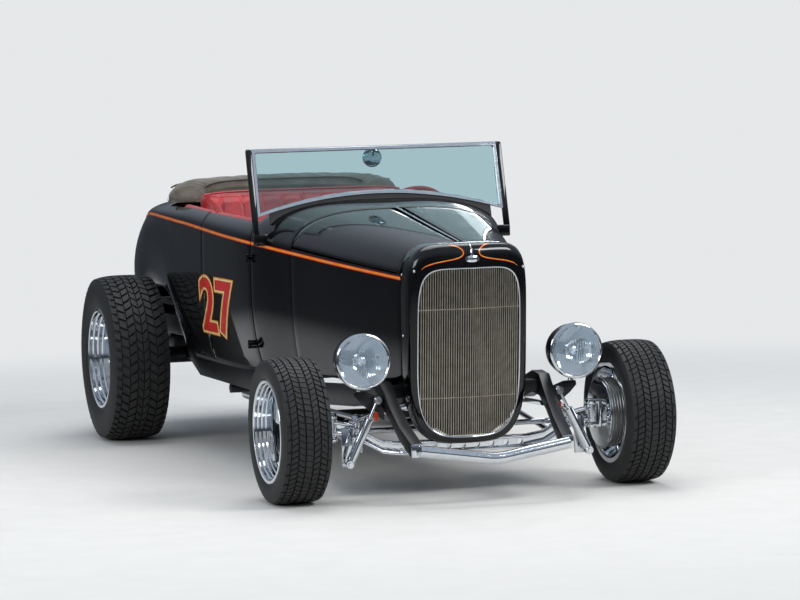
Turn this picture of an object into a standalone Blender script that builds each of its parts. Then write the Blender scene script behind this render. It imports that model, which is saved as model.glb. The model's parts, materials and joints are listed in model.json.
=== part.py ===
"""Street rod roadster: an open two-seat car on a bare ladder frame, with a tall upright grille.

Lengths are in metres. +Z is up, the nose points to -Y, and +X is the car's own left.
The origin is on the ground, midway between the two ends of the car.
A station is a distance behind the front axle. The pieces are written in stations.
"""

import math

import bmesh
import bpy
from mathutils import Matrix, Vector

# Overall places
WHEELBASE = 2.692
FRONT_OVERHANG = WHEELBASE * 0.160847
REAR_OVERHANG = WHEELBASE * 0.28529
GAP = 0.0003
PANEL_GAP = 0.006
EMBED = 0.002

# Sides of the round pieces, from thin pins to drums
WIRE_SIDES = 5
PIN_SIDES = 8
BAR_SIDES = 10
ROD_SIDES = 12
TUBE_SIDES = 16
LAMP_SIDES = 18
DRUM_SIDES = 20

# Body outline: the sizes that the table of shares follows
BODY_HALF = 0.580
BELT_Z = 1.000
CROWN_RISE = 0.172
BODY_BOTTOM = 0.436
ROUND_SIDE_POWER = 3.0
ROUND_TOP_POWER = 2.2
HIP_SHARE = 0.6

# Body stations
SHELL_REAR = -0.020
HOOD_REAR = WHEELBASE * 0.29346
DOOR_FRONT = WHEELBASE * 0.40862
DOOR_REAR = WHEELBASE * 0.67236
WELL_REAR = WHEELBASE * 0.99183
LID_FRONT = WHEELBASE * 1.02526
LID_REAR = WHEELBASE * 1.24071
LID_EDGE_SHARE = 0.72
SHOULDER_SHARE = 0.93
WALL = 0.042
REAR_WALL = 0.034
LID_GAP_V_SHARE = 0.012
HOOD_WALL = 0.012
LID_WALL = 0.020

# Tyres and wheels
FRONT_HALF_TRACK = 0.713
REAR_HALF_TRACK = 0.734
FRONT_TYRE_R = 0.288
FRONT_TYRE_WIDE = 0.200
FRONT_RIM_R = 0.196
REAR_TYRE_R = 0.381
REAR_TYRE_WIDE = 0.272
REAR_RIM_R = 0.221
RIM_LIP = 0.013
RIM_WALL = 0.009
HUB_R = 0.062
SPINDLE_R = 0.016
SPINDLE_CLEAR = 0.0005

# Front axle, knuckles and steering
KINGPIN_X = 0.545
BOSS_R = 0.024
BOSS_HIGH = 0.074
AXLE_DROP = 0.096
AXLE_HIGH = 0.052
AXLE_DEEP = 0.046
AXLE_WEB = 0.014
AXLE_FLANGE = 0.012
AXLE_FLAT_HALF = 0.300
AXLE_HOLE_R = 0.011
AXLE_HOLE_STEP = 0.060
EAR_HIGH = 0.019
EAR_GAP = 0.0006
ARM_LONG = 0.130
ROD_R = 0.011
TIE_ROD_Z = 0.2525
PLATE_R = 0.136
PLATE_THICK = 0.006
DRUM_R = 0.140
DRUM_WIDE = 0.058
FIN_COUNT = 3

# Axles in Y
FRONT_Y = (FRONT_OVERHANG - WHEELBASE - REAR_OVERHANG) / 2
REAR_Y = FRONT_Y + WHEELBASE
TAIL = WHEELBASE + REAR_OVERHANG
# Body outline, one row a section: station as a share of WHEELBASE, hip half-width, belt half-width
# and bottom half-width as shares of BODY_HALF, belt height as a share of BELT_Z, rise of the crown
# over the belt as a share of CROWN_RISE, bottom edge as a share of BODY_BOTTOM
BODY_SHARES = (
    (-0.0074, 0.430, 0.430, 0.415, 0.865, 0.785, 1.00),
    (0.1486, 0.630, 0.630, 0.600, 0.902, 0.900, 1.00),
    (0.2935, 0.800, 0.800, 0.745, 0.938, 1.000, 1.00),
    (0.4086, 0.955, 0.950, 0.875, 0.970, 1.030, 1.00),
    (0.5572, 0.995, 0.990, 0.920, 0.990, 0.950, 1.00),
    (0.7801, 1.000, 0.990, 0.925, 1.017, 0.800, 1.00),
    (0.8500, 1.000, 0.985, 0.925, 1.022, 0.720, 1.04),
    (0.8950, 1.000, 0.980, 0.925, 1.026, 0.660, 1.21),
    (0.9658, 0.998, 0.966, 0.925, 1.030, 0.580, 1.53),
    (1.0400, 0.996, 0.948, 0.930, 1.034, 0.490, 1.62),
    (1.0958, 0.993, 0.925, 0.935, 1.030, 0.440, 1.57),
    (1.1500, 0.980, 0.890, 0.930, 1.005, 0.440, 1.33),
    (1.1850, 0.960, 0.850, 0.905, 0.970, 0.440, 1.19),
    (1.2259, 0.910, 0.770, 0.860, 0.900, 0.460, 1.14),
    (1.2630, 0.790, 0.640, 0.750, 0.800, 0.460, 1.14),
    (1.2820, 0.600, 0.470, 0.560, 0.710, 0.350, 1.14),
    (1.2853, 0.060, 0.050, 0.055, 0.640, 0.060, 1.25),
)
BODY_UNITS = (WHEELBASE, BODY_HALF, BODY_HALF, BODY_HALF, BELT_Z, CROWN_RISE, BODY_BOTTOM)
BODY_ROWS = [[share * unit for share, unit in zip(row, BODY_UNITS)] for row in BODY_SHARES]
FINISHES = {
    "paint": ((0.008, 0.008, 0.010), 0.08, 0.0),
    "chrome": ((0.80, 0.82, 0.85), 0.08, 1.0),
    "brass": ((0.52, 0.42, 0.27), 0.30, 1.0),
    "alloy": ((0.62, 0.62, 0.60), 0.35, 1.0),
    "iron": ((0.05, 0.05, 0.05), 0.50, 0.5),
    "tyre": ((0.020, 0.020, 0.020), 0.75, 0.0),
    "leather": ((0.45, 0.010, 0.020), 0.45, 0.0),
    "canvas": ((0.22, 0.19, 0.16), 0.85, 0.0),
    "glass": ((0.75, 0.90, 0.88), 0.02, 0.0),
    "carpet": ((0.03, 0.03, 0.03), 0.95, 0.0),
}
# Grille shell and insert
GRILLE_HALF = BODY_HALF * 0.37069
GRILLE_TOP = 0.906
GRILLE_BOTTOM = 0.230
SHELL_HALF = BODY_HALF * 0.43103
SHELL_TOP = 1.000
SHELL_BOTTOM = 0.204
SHELL_WALL = 0.010
SHELL_ROUND = 0.055
NOSE_TOP = -0.174
NOSE_LEAN = 0.0962
NOSE_VEE = 0.16
INSERT_FRAME = 0.006
INSERT_DEEP = 0.010
BAR_COUNT = 44
BAR_WIDE = 0.0032
OUTLINE_SIDES = 36
OUTLINE_TOP_POWER = 6.0
OUTLINE_BOTTOM_POWER = 3.6
RADIATOR_HALF = BODY_HALF * 0.34483
RADIATOR_LOW = 0.420
RADIATOR_TOP = 0.880
RADIATOR_FRONT = -0.085
RADIATOR_DEEP = 0.050
# Hood
HOOD_HINGE_R = 0.004
HOOD_HINGE_GAP = 0.0046
# Engine, one block
ENGINE_HALF = 0.210
ENGINE_FRONT = WHEELBASE * 0.04458
ENGINE_REAR = WHEELBASE * 0.26003
ENGINE_LOW = 0.300
ENGINE_TOP = 0.840
ENGINE_LUG = WHEELBASE * 0.14116
ENGINE_LUG_THICK = 0.025
# Cowl, dash and steering column
FIREWALL_WALL = 0.012
DASH_DEEP = 0.030
DASH_LOW = 0.790
COLUMN_X = BODY_HALF * 0.53448
COLUMN_R = 0.020
COLUMN_FOOT = HOOD_REAR + EMBED + FIREWALL_WALL + GAP
COLUMN_FOOT_Z = 0.690
COLUMN_HEAD = WHEELBASE * 0.54978
COLUMN_HEAD_Z = 0.990
STEERING_WHEEL_R = BODY_HALF * 0.3069
STEERING_GRIP_R = 0.013
STEERING_HUB_R = 0.034
STEERING_HUB_HIGH = 0.030
STEERING_SPOKE_R = 0.008
# Floor, seat and folded top
FLOOR_WALL = 0.020
SILL_HALF = BODY_HALF * 0.89655
TRUNK_FLOOR_Z = 0.610
CUSHION_FRONT = WHEELBASE * 0.60921
CUSHION_REAR = WHEELBASE * 0.80238
CUSHION_HALF = BODY_HALF * 0.82759
CUSHION_LOW = 0.560
CUSHION_TOP = 0.700
BACK_THICK = 0.140
BACK_LEAN = 0.170
BACK_LOW = 0.560
BACK_TOP = 1.160
SOFT_ROUND = 0.030
BOOT_HALF = BODY_HALF * 0.81034
BOOT_FRONT = WHEELBASE * 0.91382
BOOT_REAR = WHEELBASE * 0.96211
BOOT_TOP = 1.212
BOOT_END_TOP = 1.165
BOOT_DEEP = 0.105
BOOT_END_DEEP = 0.085
# Windshield
GLASS_WALL = 0.006
SCREEN_FOOT = WHEELBASE * 0.3685
SCREEN_FOOT_Z = 1.027
SCREEN_RAKE = 0.2627
SCREEN_HALF = BODY_HALF * 0.94138
SCREEN_CORNER_Z = BELT_Z * 1.078
SCREEN_ARCH_RISE = 0.082
SCREEN_HIGH = 0.286
SCREEN_ARCH_Z = SCREEN_CORNER_Z + SCREEN_ARCH_RISE
SCREEN_TOP = SCREEN_CORNER_Z + SCREEN_HIGH
SCREEN_BAR = 0.018
SCREEN_WALL = 0.020
POST_WIDE = 0.022
POST_X = SCREEN_HALF + POST_WIDE / 2 - EMBED
POST_DEEP = 0.026
MIRROR_Z = SCREEN_TOP - 0.052
MIRROR_R = 0.042
SIDE_V_SHARES = (0, 0.2, 0.4, 0.6, 0.8, 1)
HOOD_V_SHARES = (1.08, 1.22, 1.36, 1.50, 1.64, 1.78, 1.90, 2)
HOOD_SIDE_TOP_V_SHARE = 1.05
CREST_V_SHARE = 1.9999
COWL_V_SHARES = (0, 0.3, 0.6, 0.8, 1, 1.1, 1.25, 1.45, 1.65, 1.85, 2)
HINGE_PLACES_SHARES = (0.20, 0.88)
HINGE_R = 0.008
HINGE_OUT = 0.012
HINGE_HIGH = 0.036
HINGE_PLAY = 0.0003
LEAF_LONG = 0.030
LEAF_THICK = 0.006
DOOR_TRIM = 0.008
WALL_PASSES = 4
SEAT_REACH = 0.020
LID_HINGE_X = BODY_HALF * 0.44828
LID_HINGE_UP = 0.005
LID_HINGE_R = 0.005
LID_HINGE_LONG = 0.030

# Sections of the rear body, as shares of WHEELBASE
REAR_SECTION_SHARES = (0.674, 0.724, 0.7801, 0.82, 0.85, 0.872, 0.895, 0.93, 0.9658)
TAIL_SECTION_SHARES = (1.0400, 1.0700, 1.0958, 1.1250, 1.1500, 1.1850, 1.2150)
CLOSING_SECTION_SHARES = (1.2480, 1.2630, 1.2740, 1.2820, 1.2853)

# Shell's cut, bars and cross wires
# The rolled edge: its middle's way inwards and back, and how far back the flat band lies
SHELL_EDGE_SHARES = (0.3, 0.4)
SHELL_FLAT_SHARE = 0.1
SHELL_CUT = 0.045
SHELL_CUT_Z = 0.440
BAR_SET = 0.001
BAR_DEEP = 0.005
WIRE_R = 0.0022
CROSS_WIRE_SHARES = (0.36, 0.70)
RADIATOR_FOOT = 0.030
CROSSMEMBER_TOP = BODY_BOTTOM - GAP

# Dash and steering wheel
DASH_SET = 0.012
DASH_V_SHARES = (0.6, 0.8, 1, 1.1, 1.25, 1.45, 1.65, 1.85, 2)
DASH_CLEAR = 0.0014
STEERING_DISH = 0.030
STEERING_SIDES = 24
STEERING_SPOKES_DEG = (-90, 30, 150)

# Floor, seat box and trunk floor
FLOOR_FRONT = HOOD_REAR + EMBED + FIREWALL_WALL + GAP
FLOOR_REAR = WHEELBASE * 0.81724
FLOOR_TOP = BODY_BOTTOM - PANEL_GAP
SEAT_BASE_HALF = BODY_HALF * 0.74138
SEAT_BASE_FRONT = WHEELBASE * 0.60921
TRUNK_HALF = BODY_HALF * 0.85345
TRUNK_REAR = WHEELBASE * 1.13299
FLOOR_SHARES = ((0, 0.80), (0.32, 0.93), (0.60, 1), (1, 1))

# The folded top's roll
BOOT_SECTIONS = 16
BOOT_POWER = 0.7
# A section of the roll: across and up, as shares of its half depth and its height
BOOT_SECTION_SHARES = (
    (-1, 0.25), (-0.85, 0.7), (-0.4, 0.97), (0.2, 1), (0.75, 0.75), (1, 0.3), (0.9, 0), (-0.9, 0)
)

# Windshield's seal, post feet and mirror
SCREEN_ARCH_STEPS = 12
SEAL_HALF = BODY_HALF * 0.84483
SEAL_GAP = -0.004
SEAL_DEEP = 0.012
POST_FOOT_DROP = 0.020
POST_FOOT_HIGH = 0.045
MIRROR_BACK = 0.045
MIRROR_STEM_R = 0.005
MIRROR_WALL = 0.009
# Frame rails, one row a point: X as a share of RAIL_HALF, station as a share of WHEELBASE, height as
# a share of RAIL_Z
RAIL_HALF = 0.500
RAIL_Z = 0.3665
RAIL_HIGH = 0.086
RAIL_WIDE = 0.046
RAIL_SHARES = (
    (0.620, -0.134, 0.60),
    (0.640, -0.090, 0.76),
    (0.655, -0.050, 0.97),
    (0.665, -0.018, 1.14),
    (0.680, 0.020, 1.16),
    (0.720, 0.080, 1.06),
    (0.830, 0.240, 1.00),
    (0.950, 0.410, 1.00),
    (0.960, 0.818, 1.00),
    (0.950, 0.885, 1.14),
    (0.940, 0.940, 1.42),
    (0.940, 1.075, 1.42),
    (0.920, 1.150, 1.26),
    (0.900, 1.260, 1.20),
)
# The crossmembers' stations, as shares of WHEELBASE
CROSSMEMBER_SHARES = (0.62, 1.045, 1.24)
CROSSMEMBER_DEEP = 0.050
CROSSMEMBER_HIGH = 0.040
FRONT_CROSS_START = -0.0195
FRONT_CROSS_END = 0.052
FRONT_CROSS_HIGH = 0.044
BRACKET_THICK = 0.014
BRACKET_STATION = -0.060
# Outline of the lamp and shock bracket in X and Z, as shares of the lamp's place
LAMP_X = 0.443
LAMP_Z = 0.553
BRACKET_SHARES = (
    (0.770, 0.560),
    (0.880, 0.625),
    (0.985, 0.690),
    (1.050, 0.745),
    (1.045, 0.775),
    (0.930, 0.775),
    (0.830, 0.745),
    (0.770, 0.690),
)

# Lamps, shocks and spreader bar
HORN_SHARE = 0.62
LAMP_R = 0.112
LAMP_STUD = 0.060
LAMP_SEAT_SHARE = 0.775
LAMP_STUD_R = 0.011
SHOCK_TOP_X = 0.379
SHOCK_TOP_Z = 0.397
SHOCK_LOW_X = 0.500
SHOCK_LOW_Z = 0.150
SHOCK_STATION = -0.092
SHOCK_EYE_R = 0.016
SHOCK_EYE_LONG = 0.026
SHOCK_STUD_R = 0.006
SHOCK_NECK_SHARE = 0.30
SHOCK_BODY_R = 0.019
SHOCK_ROD_R = 0.006
SPREADER_R = 0.024
SPREADER_HALF = 0.305
SPREADER_END_Z = 0.220
SPREADER_MID_Z = 0.176
SPREADER_END_STATION = WHEELBASE * -0.1445
SPREADER_BEND = 0.060
SPREADER_LAG_SHARE = 0.1
FLANGE_THICK = 0.012
# The front axle beam's line: X as a share of KINGPIN_X, drop as a share of AXLE_DROP
AXLE_SHARES = ((0, 1), (0.50, 1), (0.62, 0.90), (0.76, 0.45), (0.88, 0.10), (0.965, 0))
TAB_WIDE = 0.034
TAB_THICK = 0.012
SPRING_HALF = 0.440
SPRING_END_Z = 0.314
SPRING_THICK = 0.010
SPRING_WIDE = 0.044
SPRING_LEAVES = 3
PERCH_R = 0.014
SPRING_EYE = 0.022
SPRING_STEP_SHARE = 0.25
SPRING_SECTIONS = 16
SPRING_SET = 0.0

# Radius rods
HAIRPIN_X = SPRING_HALF * 0.97727
HAIRPIN_TOP_Z = 0.318
HAIRPIN_LOW_Z = 0.190
HAIRPIN_R = 0.011
HAIRPIN_END = WHEELBASE * 0.31947
HAIRPIN_END_X = 0.412
HAIRPIN_PLATE = 0.010
HAIRPIN_EYE_R = 0.020

# Rear axle, trailing rods and coils
REAR_AXLE_R = 0.038
REAR_AXLE_HALF = 0.560
DIFF_R = 0.125
DIFF_HALF = 0.130
DIFF_SHARES = ((-1, 0.35), (-0.8, 0.7), (-0.35, 1), (0.35, 1), (0.8, 0.7), (1, 0.35))
REAR_DRUM_R = 0.135
REAR_DRUM_WIDE = 0.050
SHAFT_R = 0.018
REAR_ROD_R = 0.014
REAR_ROD_X = RAIL_HALF * 0.88
REAR_ROD_FRONT = WHEELBASE * 0.6315
REAR_SPRING_R = 0.045
REAR_SPRING_X = RAIL_HALF * 0.66

# Fuel tank, rear bar and tail lamps
TANK_FRONT = WHEELBASE * 1.14785
TANK_REAR = WHEELBASE * 1.22771
TANK_HALF = RAIL_HALF * 0.8
TANK_LOW = 0.340
TANK_ROUND = 0.030
REAR_BAR_R = 0.019
REAR_BAR_STATION = WHEELBASE * 1.27229
TAIL_LAMP_X = 0.360
TAIL_LAMP_R = 0.044
TAIL_LAMP_LONG = 0.050

# Exhaust
PIPE_R = 0.026
PIPE_X = 0.300
PIPE_Z = 0.235
PIPE_FRONT = WHEELBASE * 0.19316
PIPE_REAR = WHEELBASE * 0.79866
MUFFLER_R = 0.060
MUFFLER_FRONT = WHEELBASE * 0.50149
MUFFLER_REAR = WHEELBASE * 0.68722

# Headlamps
LAMP_LONG = 0.150
# Bucket with its rim, then the lens: places along LAMP_LONG and radii, as shares of LAMP_R
BUCKET_SHARES = (
    (0.0, 0.35),
    (0.10, 0.66),
    (0.30, 0.88),
    (0.62, 0.955),
    (0.80, 0.96),
    (0.81, 1.0),
    (0.90, 1.0),
)
LENS_SHARES = ((0.91, 0.90), (0.97, 0.60), (1.0, 0.22))
LAMP_FRONT_STATION = -0.090

# Knuckles and tie rod
KNUCKLE_CLEAR = 0.0025
KNUCKLE_WEB = 0.010
KNUCKLE_HALF = 0.018
SPINDLE_OUT = 0.030
ARM_HALF = 0.008
TIE_EYE_R = 0.014
TIE_EYE_HIGH = 0.026
# Tyre section: across from the middle as a share of half the width, height as a share of the wall
TYRE_SHARES = (
    (-0.82, 0.00),
    (-0.97, 0.22),
    (-1.00, 0.50),
    (-0.94, 0.80),
    (-0.80, 0.95),
    (-0.45, 1.00),
    (0.45, 1.00),
    (0.80, 0.95),
    (0.94, 0.80),
    (1.00, 0.50),
    (0.97, 0.22),
    (0.82, 0.00),
)
TYRE_SIDES = 28
# Rim barrel, from the outer lip inwards: across as a share of half the width, and how far inside the
# tyre's seat, as a share of the rim's radius
RIM_SHARES = ((0.82, 0.000), (0.45, 0.085), (-0.55, 0.085), (-0.82, 0.000))

# Rim, hub and spokes
LIP_HIGH = 0.010
LIP_START_SHARE = 0.68
DISH_SHARE = 0.10
DISH_DEEP_SHARE = 0.085
HUB_PROUD = 0.020
HUB_NOSE_SHARE = 0.55
SPOKE_START_SHARE = 0.7
SPOKES = 5
SPOKE_ROOT = 0.056
SPOKE_TIP = 0.070
SPOKE_THICK = 0.018

# Front drums
DRUM_PLAY = 0.0015
DRUM_WALL = 0.020
FIN_DEEP = 0.010
LAMP_SET_SHARE = 0.35


def station(s):
    """The Y of a place that lies s behind the front axle."""
    return FRONT_Y + s


def finish(name):
    """The material of that name, made the first time that it is asked for."""
    made = bpy.data.materials.get(name)
    if made:
        return made
    colour, roughness, metallic = FINISHES[name]
    made = bpy.data.materials.new(name)
    made.use_nodes = True
    shader = made.node_tree.nodes["Principled BSDF"]
    shader.inputs["Base Color"].default_value = (*colour, 1)
    shader.inputs["Roughness"].default_value = roughness
    shader.inputs["Metallic"].default_value = metallic
    return made


def solid(name, points, faces, material, smooth=True):
    """A mesh object from points and faces, its normals turned outwards."""
    mesh = bpy.data.meshes.new(name)
    made = bmesh.new()
    corners = [made.verts.new(point) for point in points]
    for face in faces:
        made.faces.new([corners[index] for index in face])
    bmesh.ops.recalc_face_normals(made, faces=made.faces)
    if made.calc_volume(signed=True) < 0:
        bmesh.ops.reverse_faces(made, faces=made.faces)
    made.to_mesh(mesh)
    made.free()
    mesh.materials.append(finish(material))
    if smooth:
        mesh.shade_smooth()
        mesh.set_sharp_from_angle(angle=math.radians(35))
    thing = bpy.data.objects.new(name, mesh)
    bpy.context.scene.collection.objects.link(thing)
    return thing


def loft(name, rings, material, closed=False):
    """A solid through rings of equal count; closed joins the last ring to the first, like a hoop."""
    count = len(rings[0])
    points = [point for ring in rings for point in ring]
    faces = []
    last = len(rings) if closed else len(rings) - 1
    for row in range(last):
        ahead = (row + 1) % len(rings)
        for k in range(count):
            beside = (k + 1) % count
            faces.append(
                (row * count + k, row * count + beside, ahead * count + beside, ahead * count + k)
            )
    if not closed:
        faces.append(tuple(range(count))[::-1])
        faces.append(tuple((len(rings) - 1) * count + k for k in range(count)))
    return solid(name, points, faces, material)


def block(name, low, high, material="paint"):
    """A box between two corners."""
    (x0, y0, z0), (x1, y1, z1) = low, high
    ring = [(x0, y0), (x1, y0), (x1, y1), (x0, y1)]
    return loft(name, [[(x, y, z) for x, y in ring] for z in (z0, z1)], material)


def circle(centre, axis, radius, sides):
    """Points of a circle round an axis."""
    axis = Vector(axis).normalized()
    across = axis.orthogonal().normalized()
    if abs(axis.z) < 0.99:
        across = axis.cross(Vector((0, 0, 1))).normalized()
    up = axis.cross(across)
    turns = [math.tau * k / sides for k in range(sides)]
    return [Vector(centre) + radius * (math.cos(a) * across + math.sin(a) * up) for a in turns]


def rod(name, start, end, radius, material="chrome", sides=ROD_SIDES, end_radius=None):
    """A round bar, tapered where end_radius is given."""
    axis = Vector(end) - Vector(start)
    ends = [(start, radius), (end, end_radius or radius)]
    return loft(name, [circle(place, axis, r, sides) for place, r in ends], material)


def bent_bar(name, path, radii, material="chrome", sides=BAR_SIDES):
    """A round bar through the points of a path, radii being one number or one for each point."""
    path = [Vector(point) for point in path]
    if not isinstance(radii, (list, tuple)):
        radii = [radii] * len(path)
    rings = []
    for index, place in enumerate(path):
        before = path[max(index - 1, 0)]
        after = path[min(index + 1, len(path) - 1)]
        rings.append(circle(place, after - before, radii[index], sides))
    return loft(name, rings, material)


def turned(name, profile, centre, material, sides):
    """A hoop turned round an axis along X: profile holds (x offset, radius) pairs of a closed outline."""
    cx, cy, cz = centre
    rings = []
    for k in range(sides):
        a = math.tau * k / sides
        rings.append(
            [(cx + x, cy + r * math.sin(a), cz + r * math.cos(a)) for x, r in profile]
        )
    return loft(name, rings, material, closed=True)


def extruded(name, outline, plane, start, end, material="paint"):
    """A flat outline pushed through: plane names the outline's two axes, such as XZ."""
    axes = {"XY": (0, 1, 2), "XZ": (0, 2, 1), "YZ": (1, 2, 0)}[plane]
    rings = []
    for depth in (start, end):
        ring = []
        for u, v in outline:
            point = [0, 0, 0]
            point[axes[0]], point[axes[1]], point[axes[2]] = u, v, depth
            ring.append(tuple(point))
        rings.append(ring)
    return loft(name, rings, material)


def apply_boolean(thing, other, operation):
    """Unites or cuts at once, then removes the other object."""
    step = thing.modifiers.new(operation, "BOOLEAN")
    step.operation = operation
    step.object = other
    bpy.context.view_layer.update()
    graph = bpy.context.evaluated_depsgraph_get()
    mesh = bpy.data.meshes.new_from_object(thing.evaluated_get(graph))
    thing.modifiers.clear()
    thing.data = mesh
    bpy.data.objects.remove(other)


def fused(name, pieces):
    """The pieces as one body."""
    first, *others = pieces
    first.name = name
    for other in others:
        apply_boolean(first, other, "UNION")
    return first


def cut(thing, cutters):
    """Takes the cutters out of a piece."""
    for cutter in cutters:
        apply_boolean(thing, cutter, "DIFFERENCE")
    return thing


def bundle(name, pieces):
    """Separate pieces in one object, to unite with another in one step."""
    joined = bmesh.new()
    for piece in pieces:
        joined.from_mesh(piece.data)
        bpy.data.objects.remove(piece)
    mesh = bpy.data.meshes.new(name)
    joined.to_mesh(mesh)
    joined.free()
    thing = bpy.data.objects.new(name, mesh)
    bpy.context.scene.collection.objects.link(thing)
    return thing


def mirrored(name, thing):
    """A copy of a piece on the other side of the car."""
    mesh = thing.data.copy()
    mesh.transform(Matrix.Scale(-1, 4, (1, 0, 0)))
    mesh.flip_normals()
    twin = bpy.data.objects.new(name, mesh)
    bpy.context.scene.collection.objects.link(twin)
    return twin


def section_at(s):
    """The body's outline sizes at a station, on smooth curves through the table's rows."""
    rows = BODY_ROWS
    last = len(rows) - 2
    k = 0
    while k < last and s > rows[k + 1][0]:
        k += 1
    before, here, after, beyond = (rows[min(max(k + d, 0), last + 1)] for d in (-1, 0, 1, 2))
    span = after[0] - here[0]
    t = (s - here[0]) / span
    values = []
    for column in range(1, len(here)):
        slope_in = (after[column] - before[column]) / (after[0] - before[0]) * span
        slope_out = (beyond[column] - here[column]) / (beyond[0] - here[0]) * span
        values.append(
            here[column] * (2 * t**3 - 3 * t**2 + 1)
            + slope_in * (t**3 - 2 * t**2 + t)
            + after[column] * (3 * t**2 - 2 * t**3)
            + slope_out * (t**3 - t**2)
        )
    return values


def skin_point(s, v):
    """A point of the body's left skin: v runs 0 at the bottom edge, 1 at the belt, 2 at the crown."""
    hip, belt, bottom, belt_z, rise, bottom_z = section_at(s)
    if v <= 1:
        if v < HIP_SHARE:
            t = v / HIP_SHARE
            x = bottom + (hip - bottom) * (2 * t - t * t)
        else:
            t = (v - HIP_SHARE) / (1 - HIP_SHARE)
            x = hip + (belt - hip) * t * t
        z = bottom_z + (belt_z - bottom_z) * v
    else:
        a = (v - 1) * math.pi / 2
        x = belt * math.cos(a) ** (2 / ROUND_SIDE_POWER)
        z = belt_z + rise * math.sin(a) ** (2 / ROUND_TOP_POWER)
    return Vector((x, station(s), z))


def skin_normal(s, v):
    """The outward direction of the skin there."""
    step = 1e-4
    low, high = max(v - step, 0), min(v + step, 2 - step)
    along = skin_point(min(s + step, TAIL), (low + high) / 2) - skin_point(s - step, (low + high) / 2)
    over = skin_point(s, high) - skin_point(s, low)
    out = along.cross(over).normalized()
    return out if out.x >= 0 or out.z > 0 else -out


def skin_v(share):
    """The v of the crown's point whose X is that share of the belt's half-width."""
    return 1 + math.acos(share ** (ROUND_SIDE_POWER / 2)) * 2 / math.pi


def wall_point(s, v, wall):
    """The point at that depth under the skin whose own station is s."""
    v = min(v, CREST_V_SHARE)
    under = s
    for _ in range(WALL_PASSES):
        under = s + wall * skin_normal(under, v).y
    return skin_point(under, v) - wall * skin_normal(under, v)


def steps(first, last, count):
    """Evenly spread values, both ends included."""
    return [first + (last - first) * k / count for k in range(count + 1)]


def panel(name, sections, over, wall, material="paint", keep=None, trim=(0, 0)):
    """A skin panel of even thickness.

    sections holds the stations, over the v values of the left half, or, where they pass 2, of the
    whole arch (4 is the right bottom edge). keep tells which cells are metal, all by default.
    trim shortens the inner face at its first and last section, like a stepped door edge.
    """
    rows, columns = len(sections), len(over)
    first, last = sections[0], sections[-1]
    outer, inner = [], []
    for s in sections:
        share = (s - first) / (last - first)
        for v in over:
            side = 1 if v <= 2 else -1
            height = v if v <= 2 else 4 - v
            height = min(height, 1.9999)
            point = skin_point(s, height)
            within = first + trim[0] + share * (last - trim[1] - first - trim[0])
            under = skin_point(within, height) - wall * skin_normal(within, height)
            if v == 2:
                point.x, under.x = 0, 0
            outer.append(Vector((side * point.x, point.y, point.z)))
            inner.append(Vector((side * under.x, under.y, under.z)))
    shift = len(outer)
    cells = {
        (i, j)
        for i in range(rows - 1)
        for j in range(columns - 1)
        if keep is None or keep(i, j)
    }
    faces = []
    for i, j in sorted(cells):
        a, b = i * columns + j, i * columns + j + 1
        c, d = (i + 1) * columns + j + 1, (i + 1) * columns + j
        faces.append((a, b, c, d))
        faces.append(tuple(shift + k for k in (d, c, b, a)))
        for beside, edge in (
            ((i, j - 1), (d, a)),
            ((i, j + 1), (b, c)),
            ((i - 1, j), (a, b)),
            ((i + 1, j), (c, d)),
        ):
            if beside not in cells:
                p, q = edge
                faces.append((q, p, shift + p, shift + q))
    used = sorted({k for face in faces for k in face})
    place = {k: index for index, k in enumerate(used)}
    points = [(outer + inner)[k] for k in used]
    return solid(name, points, [tuple(place[k] for k in face) for face in faces], material)


def crest(s):
    """The middle of the crown at a station."""
    place = skin_point(s, CREST_V_SHARE)
    return Vector((0, place.y, place.z))


def whole_arch(left_shares):
    """The v values of a whole arch from those of its left half, which end at 2."""
    return list(left_shares) + [4 - v for v in reversed(left_shares[:-1])]


def seated(thing):
    """Lengthens a fixed panel's bottom edge down to the floor's edge under it."""
    for vertex in thing.data.vertices:
        if vertex.co.z < BODY_BOTTOM + SEAT_REACH:
            vertex.co.z = BODY_BOTTOM - PANEL_GAP + GAP
    return thing


def make_hood():
    """Two fixed sides, two lids hinged along the crest, and the hinge rod between shell and cowl."""
    sections = steps(SHELL_REAR + GAP, HOOD_REAR - GAP, 5)
    side_v = [v * HOOD_SIDE_TOP_V_SHARE for v in SIDE_V_SHARES]
    side = panel("hood_side_left", sections, side_v, HOOD_WALL)
    mirrored("hood_side_right", side)
    sections = steps(SHELL_REAR + PANEL_GAP, HOOD_REAR - PANEL_GAP, 5)
    lid = panel("hood_top_left", sections, HOOD_V_SHARES, HOOD_WALL)
    for vertex in lid.data.vertices:
        vertex.co.x = max(vertex.co.x, HOOD_HINGE_GAP)
    mirrored("hood_top_right", lid)
    rod("hood_hinge", crest(SHELL_REAR + GAP), crest(HOOD_REAR - GAP), HOOD_HINGE_R, sides=PIN_SIDES)


def hinge_axis():
    """The left door's axis: a point on it, upright, just outside the skin at the door's front edge."""
    hip = skin_point(DOOR_FRONT, HIP_SHARE)
    return Vector((hip.x + HINGE_OUT, station(DOOR_FRONT), 0))


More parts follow.
